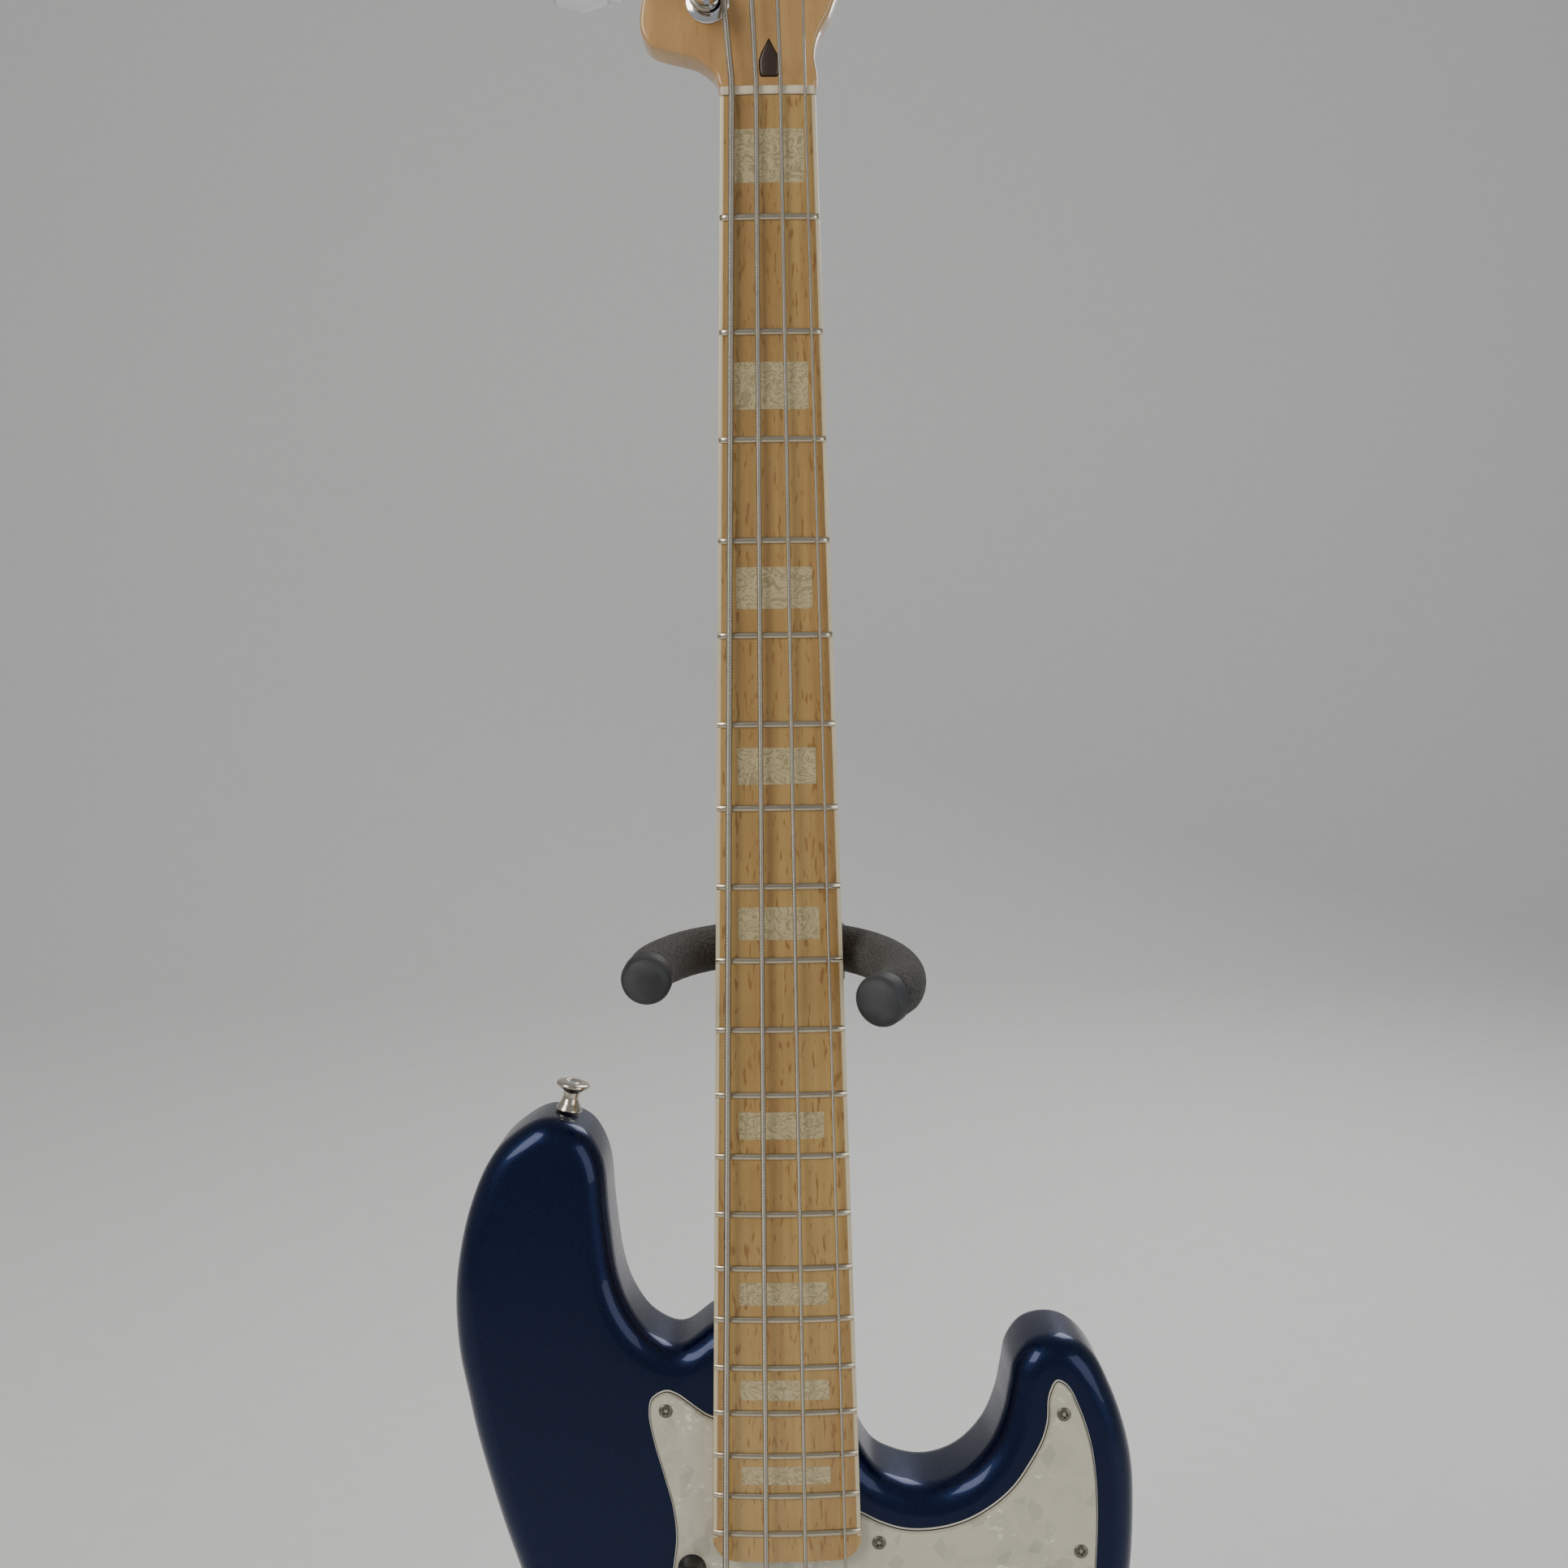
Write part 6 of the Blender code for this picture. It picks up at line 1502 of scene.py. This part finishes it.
# Strap buttons and neck plate
def make_strap_buttons():
    middle = BODY_FACE + BODY_THICK / 2
    base_s = max(p.y for p in body_outline(1)) + GAP
    horn_way = (math.sin(HORN_BUTTON_LEAN), 0, math.cos(HORN_BUTTON_LEAN))
    places = {"horn": (at(HORN_BUTTON_W, BOARD_END + HORN_BUTTON_S - GAP, middle), horn_way),
              "base": (at(0, base_s, middle), (0, 0, -1))}
    for name, (spot, way) in places.items():
        profile = [(0, 0), (0.0056, 0), (0.0058, 0.0008), (0.0040, 0.0036), (0.0034, 0.0058),
                   (0.0038, 0.0088), (STRAP_FLANGE_RADIUS - 0.0003, STRAP_HEIGHT * 0.82),
                   (STRAP_FLANGE_RADIUS, STRAP_HEIGHT * 0.88),
                   (STRAP_FLANGE_RADIUS - 0.0003, STRAP_HEIGHT * 0.95),
                   (STRAP_FLANGE_RADIUS * 0.70, STRAP_HEIGHT), (0.0034, STRAP_HEIGHT),
                   (0.0026, STRAP_HEIGHT - 0.0012), (0, STRAP_HEIGHT - 0.0012)]
        button = turned(eased(profile, 0.0006), 48)
        piece(f"strap_button_{name}_spool", placed(button, spot, way), WARM_NICKEL, "bass",
              (f"strap_button_{name}",))
        put = new_screws(f"strap_screw_{name}", 0.0030, 0.0012, CHROME)
        put(spot + Vector(way) * (STRAP_HEIGHT - 0.0012), "bass", way)


def make_neck_plate():
    back = BODY_FACE + BODY_THICK + GAP
    middle = BOARD_END - NECK_PLATE_BEFORE_END
    outline = shifted(rounded_box(NECK_PLATE_WIDTH / 2, NECK_PLATE_LENGTH / 2, 0.0045), 0, middle)
    plate = piece("chrome_neck_plate", slab(outline, back - 0.0002, back + NECK_PLATE_THICK, 0.0001, 0.0006),
                  CHROME, "bass", ("neck_plate",))
    top = back + NECK_PLATE_THICK
    carve(plate, "DIFFERENCE",
          *(rod(at(w, s, top - 0.0008), at(w, s, top + MM), 0.0050) for w, s in bolt_places()))
    put = new_screws("neck_bolt_head", 0.0048, 0.0028, CHROME)
    for w, s in bolt_places():
        put(at(w, s, top - 0.0004), "bass", (0, 1, 0))


# Stand
def ring_pipe(low, high, outer, inner, edge=0.0004, sides=48):
    """A pipe with a bore, whose rims are rounded."""
    profile = [(inner, low), (outer - edge, low), (outer, low + edge), (outer, high - edge),
               (outer - edge, high), (inner, high)]
    return turned(profile, sides, closed=True)


def socket_top():
    return YOKE_Z + ROD_RADIUS * 0.8


def make_mast():
    main_top = COLLAR_TOP - COLLAR_HEIGHT * 0.4
    piece("main_pipe",
          ring_pipe(HUB_BOTTOM + 0.0063, main_top, MAIN_TUBE_RADIUS, UPPER_TUBE_RADIUS + 0.0002),
          BLACK_STEEL, "stand", ("main_tube",), STAND)
    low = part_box("upper_tube")[0].z
    piece("upper_pipe", ring_pipe(low, socket_top() - 0.006, UPPER_TUBE_RADIUS, UPPER_TUBE_RADIUS - 0.0012),
          BLACK_STEEL, "upper_mast", ("upper_tube",), STAND)
    make_collar(main_top)


def make_collar(main_top):
    """The height clamp: a ribbed collar with a boss, and a three-lobed knob on its screw."""
    low, high = main_top - COLLAR_HEIGHT * 0.6, main_top + COLLAR_HEIGHT * 0.4
    wide, narrow, step = MAIN_TUBE_RADIUS + GAP, UPPER_TUBE_RADIUS + 0.0002, main_top + GAP
    outer = COLLAR_RADIUS
    profile = [(wide, low), (outer - 0.0015, low), (outer - 0.0003, low + 0.0012)]
    for k in range(5):
        z = low + 0.0040 + 0.0032 * k
        profile += [(outer, z), (outer, z + 0.0016), (outer - 0.0007, z + 0.0020),
                    (outer - 0.0007, z + 0.0028)]
    profile += [(outer, low + 0.0205), (outer, high - 0.0015), (outer - 0.0015, high), (narrow, high),
                (narrow, step), (wide, step)]
    collar = piece("ribbed_collar", turned(profile, 64, closed=True), BLACK_PLASTIC, "stand",
                   ("clamp_collar",), STAND)
    middle = (step + high) / 2
    boss = outer + 0.010
    drill = rod((0, UPPER_TUBE_RADIUS, middle), (0, boss + MM, middle), CLAMP_SCREW_RADIUS + 0.0002)
    carve(collar, "UNION",
          round_ended([(0, MAIN_TUBE_RADIUS, middle), (0, boss, middle)], CLAMP_SCREW_RADIUS + 0.003, 32,
                      0.0006))
    carve(collar, "DIFFERENCE", drill)
    start, outline = boss + GAP, []
    for k in range(96):
        a = 2 * math.pi * k / 96
        radius = CLAMP_KNOB_RADIUS * (0.86 + 0.14 * math.cos(3 * a)) + 0.00018 * math.cos(32 * a)
        outline.append((radius * math.cos(a), radius * math.sin(a) - middle))
    knob = piece("lobed_knob", slab(outline, start, start + 0.010, 0.0015, 0.0015, 6), BLACK_PLASTIC,
                 "clamp", ("clamp_knob",), STAND)
    dish = turned([(0, 0), (0.0052, 0), (0.0060, -0.0020), (0, -0.0020)], 40)
    carve(knob, "DIFFERENCE", placed(dish, (0, start + 0.0090, middle), (0, -1, 0)))
    insert = turned(eased([(0, 0), (0.0042, 0), (0.0042, 0.0014), (0, 0.0014)], 0.0004), 32)
    piece("knob_insert", placed(insert, (0, start + 0.0086, middle), (0, 1, 0)), STEEL, "clamp", (), STAND)
    screw = threaded((0, UPPER_TUBE_RADIUS + 0.0002, middle), (0, start + 0.002, middle), CLAMP_SCREW_RADIUS,
                     0.0010, 0.0003, 24)
    piece("clamp_screw", screw, STEEL, "clamp", (), STAND)


def yoke_path(steps=40):
    """The yoke's U, seen from above: an arm, the half circle and an arm, with the mast behind it at 0, 0."""
    middle = -(YOKE_STEM + YOKE_RADIUS)
    tip_x = YOKE_RADIUS - YOKE_ARM * math.sin(YOKE_SPLAY)
    tip_y = middle - YOKE_ARM * math.cos(YOKE_SPLAY)
    ring = arc((0, middle), YOKE_RADIUS, 180, 0, steps)
    return [Vector((x, y, 0)) for x, y in [(-tip_x, tip_y)] + ring + [(tip_x, tip_y)]]


def end_cap(name, points, body, node, place):
    """A rubber cap with a rounded lip, a small groove and a low dome in its end."""
    end, before = Vector(points[-1]), Vector(points[-2])
    way = (end - before).normalized()
    r, h = CAP_RADIUS, CAP_LENGTH
    profile = [(0, 0.0002), (r - 0.0008, 0.0002), (r, 0.0010), (r, h * 0.62), (r - 0.0003, h * 0.72),
               (r - 0.0009, h * 0.80), (r - 0.0012, h * 0.79), (r - 0.0016, h * 0.83),
               (r - 0.0024, h * 0.89), (r * 0.60, h * 0.96), (r * 0.30, h * 0.99), (0, h)]
    piece(name, placed(turned(profile, 48), end, way), RUBBER, body, (node,), place)


def foam_sleeve(name, path, body, node, place):
    """A foam sleeve with soft rims and a slightly uneven skin."""
    path = resampled(path, 0.0016)
    outer, inner, sides = FOAM_RADIUS, ROD_RADIUS + 0.0002, 44
    count = len(path)
    radii = []
    for k in range(count):
        to_end = min(k, count - 1 - k) * 0.0016
        radii.append(outer - 0.0012 * max(0, 1 - to_end / 0.0028) ** 2)
    rings = path_rings(path, radii, sides)
    for k, ring in enumerate(rings):
        middle = path[k]
        for i, p in enumerate(ring):
            lump = math.sin(5.1 * k * 0.21 + 3 * i) * math.sin(0.73 * k + 1.7 * i + 0.5)
            ring[i] = middle + (p - middle) * (1 - 0.006 * (1 + lump))
    rings += path_rings(path, [inner] * count, sides)[::-1]
    sleeve_piece = piece(name, loft(rings, closed=True), FOAM, body, (node,), place, angle=60)
    return sleeve_piece


def make_yoke():
    path = yoke_path()
    yoke = piece("bent_yoke_rod", round_ended(path, ROD_RADIUS, 28, 0.0006), BLACK_STEEL, "yoke",
                 ("yoke_tube",), YOKE)
    top = ROD_RADIUS * 0.8
    bore, wall = UPPER_TUBE_RADIUS + 0.0002, top - SOCKET_HEIGHT
    cup = [(0, top), (SOCKET_RADIUS - 0.0012, top), (SOCKET_RADIUS, top - 0.0012),
           (SOCKET_RADIUS, wall + 0.0006),
           (SOCKET_RADIUS - 0.0006, wall), (bore, wall), (bore, top - 0.0055), (0, top - 0.0055)]
    stem = rod((0, -SOCKET_RADIUS * 0.9, 0), (0, -YOKE_STEM, 0), ROD_RADIUS * 0.78)
    carve(yoke, "UNION", turned(cup, 48), stem)
    foam = foam_sleeve("yoke_foam_sleeve", path, "yoke", "yoke_foam", YOKE)
    slit = rod((0, 0, 0), (0, -YOKE_STEM, 0), ROD_RADIUS * 0.78 + 0.0002)
    carve(foam, "DIFFERENCE", slit, rod((0, 0, -0.02), (0, 0, 0.02), SOCKET_RADIUS + GAP, 48))
    end_cap("yoke_end_cap_left", path[::-1], "yoke", "yoke_cap_left", YOKE)
    end_cap("yoke_end_cap_right", path, "yoke", "yoke_cap_right", YOKE)


def make_cradle():
    """A tube across the mast with two arms that come forward under the body and turn up in front of it."""
    to_stand = STAND.inverted() @ BASS
    forward = (to_stand.to_3x3() @ Vector((0, -1, 0))).normalized()
    up = (to_stand.to_3x3() @ Vector((0, 0, 1))).normalized()
    nut = to_stand @ Vector((0, 0, 0))
    depth = forward.dot(nut - Vector((0, -CRADLE_BACK, CRADLE_Z)))
    lip_depth = BODY_FACE - LIP_CLEARANCE - FOAM_RADIUS
    bend = Vector((CRADLE_HALF, -CRADLE_BACK, CRADLE_Z))
    front = bend + forward * (depth - lip_depth)
    half = [Vector((0, -CRADLE_BACK, CRADLE_Z)), bend, front, front + up * CRADLE_LIP]

    def mirrored(points):
        return [Vector((-p.x, p.y, p.z)) for p in points]

    right = fillet(half, (0.022, 0.016))[1:]
    cradle = piece("bent_cradle_rod", round_ended(mirrored(right)[::-1] + right, ROD_RADIUS, 28, 0.0006),
                   BLACK_STEEL, "stand", ("cradle_tube",), STAND)
    low, high = CRADLE_Z - CRADLE_RING_HEIGHT / 2, CRADLE_Z + CRADLE_RING_HEIGHT / 2
    carve(cradle, "UNION", ring_pipe(low, high, CRADLE_RING_RADIUS, MAIN_TUBE_RADIUS + GAP, 0.0012))
    carve(cradle, "DIFFERENCE", rod((0, 0, low - MM), (0, 0, high + MM), MAIN_TUBE_RADIUS + GAP, 48))
    start = bend.lerp(front, 0.30)
    sides = {"right": fillet([start, front, half[-1]], (0.016,))}
    sides["left"] = mirrored(sides["right"])
    for side, path in sides.items():
        foam_sleeve(f"cradle_foam_sleeve_{side}", path, "stand", f"cradle_foam_{side}", STAND)
        end_cap(f"cradle_end_cap_{side}", path, "stand", f"cradle_cap_{side}", STAND)


def make_hub():
    floor, bore = HUB_BOTTOM + 0.006, MAIN_TUBE_RADIUS + GAP
    r, edge = HUB_RADIUS, 0.003
    profile = [(0, HUB_BOTTOM), (r - edge, HUB_BOTTOM)]
    profile += [(r - edge * (1 - math.sin(a)), HUB_BOTTOM + edge * (1 - math.cos(a)))
                for a in (math.pi / 2 * k / 5 for k in range(1, 6))]
    profile += [(r, HUB_BOTTOM + 0.010), (r - 0.0007, HUB_BOTTOM + 0.0106),
                (r - 0.0007, HUB_BOTTOM + 0.0118), (r, HUB_BOTTOM + 0.0124)]
    profile += [(r - edge * (1 - math.cos(a)), HUB_TOP - edge * (1 - math.sin(a)))
                for a in (math.pi / 2 * k / 5 for k in range(6))]
    profile += [(bore, HUB_TOP), (bore, floor), (0, floor)]
    hub = piece("moulded_hub", turned(profile, 64), BLACK_PLASTIC, "stand", ("hub",), STAND)
    reach = LEG_PIVOT_RADIUS + LEG_RADIUS
    inner, outer = LEG_RADIUS + 0.0002, LEG_RADIUS + 0.0002 + CHEEK_THICK
    cheeks = []
    for azimuth in LEG_AZIMUTH.values():
        turn = Matrix.Rotation(math.radians(azimuth), 3, "Z")
        for side in (-1, 1):
            plan = [(r * 0.7, LEG_PIVOT_Z - 0.0085)]
            plan += [(reach - 0.0085 + 0.0085 * math.cos(a), LEG_PIVOT_Z + 0.0085 * math.sin(a))
                     for a in (math.pi * (k / 12 - 0.5) for k in range(13))]
            plan.append((r * 0.7, LEG_PIVOT_Z + 0.0085))
            cheeks.append(loft([[turn @ Vector((x, side * y, z)) for x, z in plan] for y in (inner, outer)]))
        across = inner + CHEEK_THICK / 2
        ends = [turn @ Vector((LEG_PIVOT_RADIUS, y, LEG_PIVOT_Z)) for y in (-across, across)]
        piece(f"leg_pin_{int(azimuth) % 360}", rod(*ends, LEG_PIN_RADIUS, 28), STEEL, "stand", (), STAND)
        for side in (-1, 1):
            spot = turn @ Vector((LEG_PIVOT_RADIUS, side * (outer - 0.0012), LEG_PIVOT_Z))
            head = turned(eased([(0, 0), (0.0042, 0), (0.0040, 0.0014), (0.0026, 0.0020), (0, 0.0021)],
                                0.0004), 32)
            piece(f"leg_rivet_{int(azimuth) % 360}_{'rl'[side > 0]}",
                  placed(head, spot, turn @ Vector((0, side, 0))), STEEL, "stand", (), STAND)
    carve(hub, "UNION", *cheeks)


def make_leg(name):
    """A leg and its ribbed rubber foot, cut flat where it stands."""
    azimuth = math.radians(LEG_AZIMUTH[name])
    place = STAND @ Matrix.Rotation(azimuth, 4, "Z") @ Matrix.Translation((LEG_PIVOT_RADIUS, 0, LEG_PIVOT_Z))
    run = LEG_REACH[name] - LEG_PIVOT_RADIUS
    end = Vector((run, 0, FOOT_AXIS_Z - LEG_PIVOT_Z))
    way = end.normalized()
    tube_end = end - way * FOOT_END
    start = -way * LEG_RADIUS * 0.6
    body = f"leg_{name}"
    path = [start, start + way * 0.02, tube_end - way * 0.02, tube_end]
    leg = piece(f"{name}_leg_tube", round_ended(path, LEG_RADIUS, 40, 0.0012), BLACK_STEEL, body, (body,),
                place)
    carve(leg, "DIFFERENCE", rod((0, -0.02, 0), (0, 0.02, 0), LEG_PIN_RADIUS + 0.0002))
    points, radii = [end - way * FOOT_LENGTH], [FOOT_RADIUS - 0.0012]
    for mark, out in ((0.001, 0.0002), (0.008, 0.0), (0.0095, 0.0008), (0.011, 0.0), (0.016, 0.0),
                      (0.0175, 0.0008),
                      (0.019, 0.0), (0.024, 0.0), (0.0255, 0.0008), (0.027, 0.0), (0.0425, 0.0),
                      (0.0442, 0.0010)):
        points.append(end - way * (FOOT_LENGTH - mark))
        radii.append(FOOT_RADIUS - out)
    points.append(end)
    radii.append(FOOT_RADIUS - 0.0026)
    foot = piece(f"{name}_rubber_foot", tube(points, radii, 48), RUBBER, body, (f"foot_{name}",), place)
    slab_rings = [[Vector((x, y, z))
                   for x, y in ((0, -0.03), (run + 0.03, -0.03), (run + 0.03, 0.03), (0, 0.03))]
                  for z in (-LEG_PIVOT_Z - 0.03, -LEG_PIVOT_Z)]
    carve(foot, "DIFFERENCE", rod(end - way * (FOOT_LENGTH + MM), tube_end, LEG_RADIUS + 0.0001, 40),
          loft(slab_rings))


# The room: a pale floor and wall, and soft lights
def make_room():
    floor_look = Look("pale_floor", (0.84, 0.83, 0.81), 0.70)
    speckle = floor_look.noise(floor_look.place(), 35.0, 3.0)
    floor_look.set("Base Color", floor_look.mix(speckle, (0.82, 0.81, 0.79), (0.87, 0.86, 0.84)))
    section = [(-6.0, 0.0)] + [(2.2 + 1.2 * math.sin(a), 1.2 - 1.2 * math.cos(a))
                               for a in (math.pi / 2 * k / 16 for k in range(17))] + [(3.4, 6.0)]
    verts = [Vector((x, y, z - 0.0005)) for x in (-7.0, 7.0) for y, z in section]
    size = len(section)
    faces = [(k, k + 1, size + k + 1, size + k) for k in range(size - 1)]
    mesh = bpy.data.meshes.new("backdrop")
    mesh.from_pydata([tuple(v) for v in verts], [], faces)
    mesh.shade_smooth()
    mesh.materials.append(floor_look.material)
    backdrop = bpy.data.objects.new("backdrop", mesh)
    bpy.context.collection.objects.link(backdrop)


def area_light(name, spot, target, size, power, colour=(1, 1, 1)):
    data = bpy.data.lights.new(name, "AREA")
    data.shape = "RECTANGLE"
    data.size, data.size_y = size
    data.energy = power
    data.color = colour
    light = bpy.data.objects.new(name, data)
    bpy.context.collection.objects.link(light)
    light.location = spot
    light.rotation_euler = (Vector(spot) - Vector(target)).to_track_quat("Z", "Y").to_euler()


def make_lights():
    target = (0, 0, 0.75)
    area_light("key_light", (-1.6, -1.5, 2.3), target, (1.2, 1.6), 42.0, (1.0, 0.97, 0.93))
    area_light("fill_light", (1.9, -1.6, 1.2), target, (1.4, 1.6), 16.0, (0.93, 0.96, 1.0))
    area_light("rim_light", (0.9, 1.5, 1.9), target, (0.8, 1.2), 20.0)
    world = bpy.data.worlds.new("soft_room")
    world.use_nodes = True
    world.node_tree.nodes["Background"].inputs["Color"].default_value = (0.85, 0.88, 0.92, 1)
    world.node_tree.nodes["Background"].inputs["Strength"].default_value = 0.35
    bpy.context.scene.world = world


def make_camera():
    """In front of the neck and a little to its treble side, looking down it towards the body."""
    data = bpy.data.cameras.new("camera")
    data.lens, data.sensor_width = 34.66, 36.0
    data.clip_start = 0.02
    camera = bpy.data.objects.new("camera", data)
    bpy.context.collection.objects.link(camera)
    down, roll = math.radians(2.46), math.radians(-0.76)
    look = Matrix.Rotation(math.pi / 2 - down, 4, "X")
    camera.matrix_world = BASS @ Matrix.Translation((0.0029, -0.6178,
                                                     -0.2509)) @ look @ Matrix.Rotation(roll, 4, "Z")
    bpy.context.scene.camera = camera


make_neck()
make_fretboard()
make_frets()
make_inlays()
make_nut()
make_strings()
make_body()
guard_front = make_pickguard()
make_thumb_rest(guard_front)
make_pickups()
make_controls()
make_bridge()
make_bushings()
make_posts()
make_keys()
make_tuner_plates()
make_string_tree()
make_strap_buttons()
make_neck_plate()
make_mast()
make_yoke()
make_cradle()
make_hub()
for leg_name in LEG_REACH:
    make_leg(leg_name)
make_room()
make_lights()
make_camera()
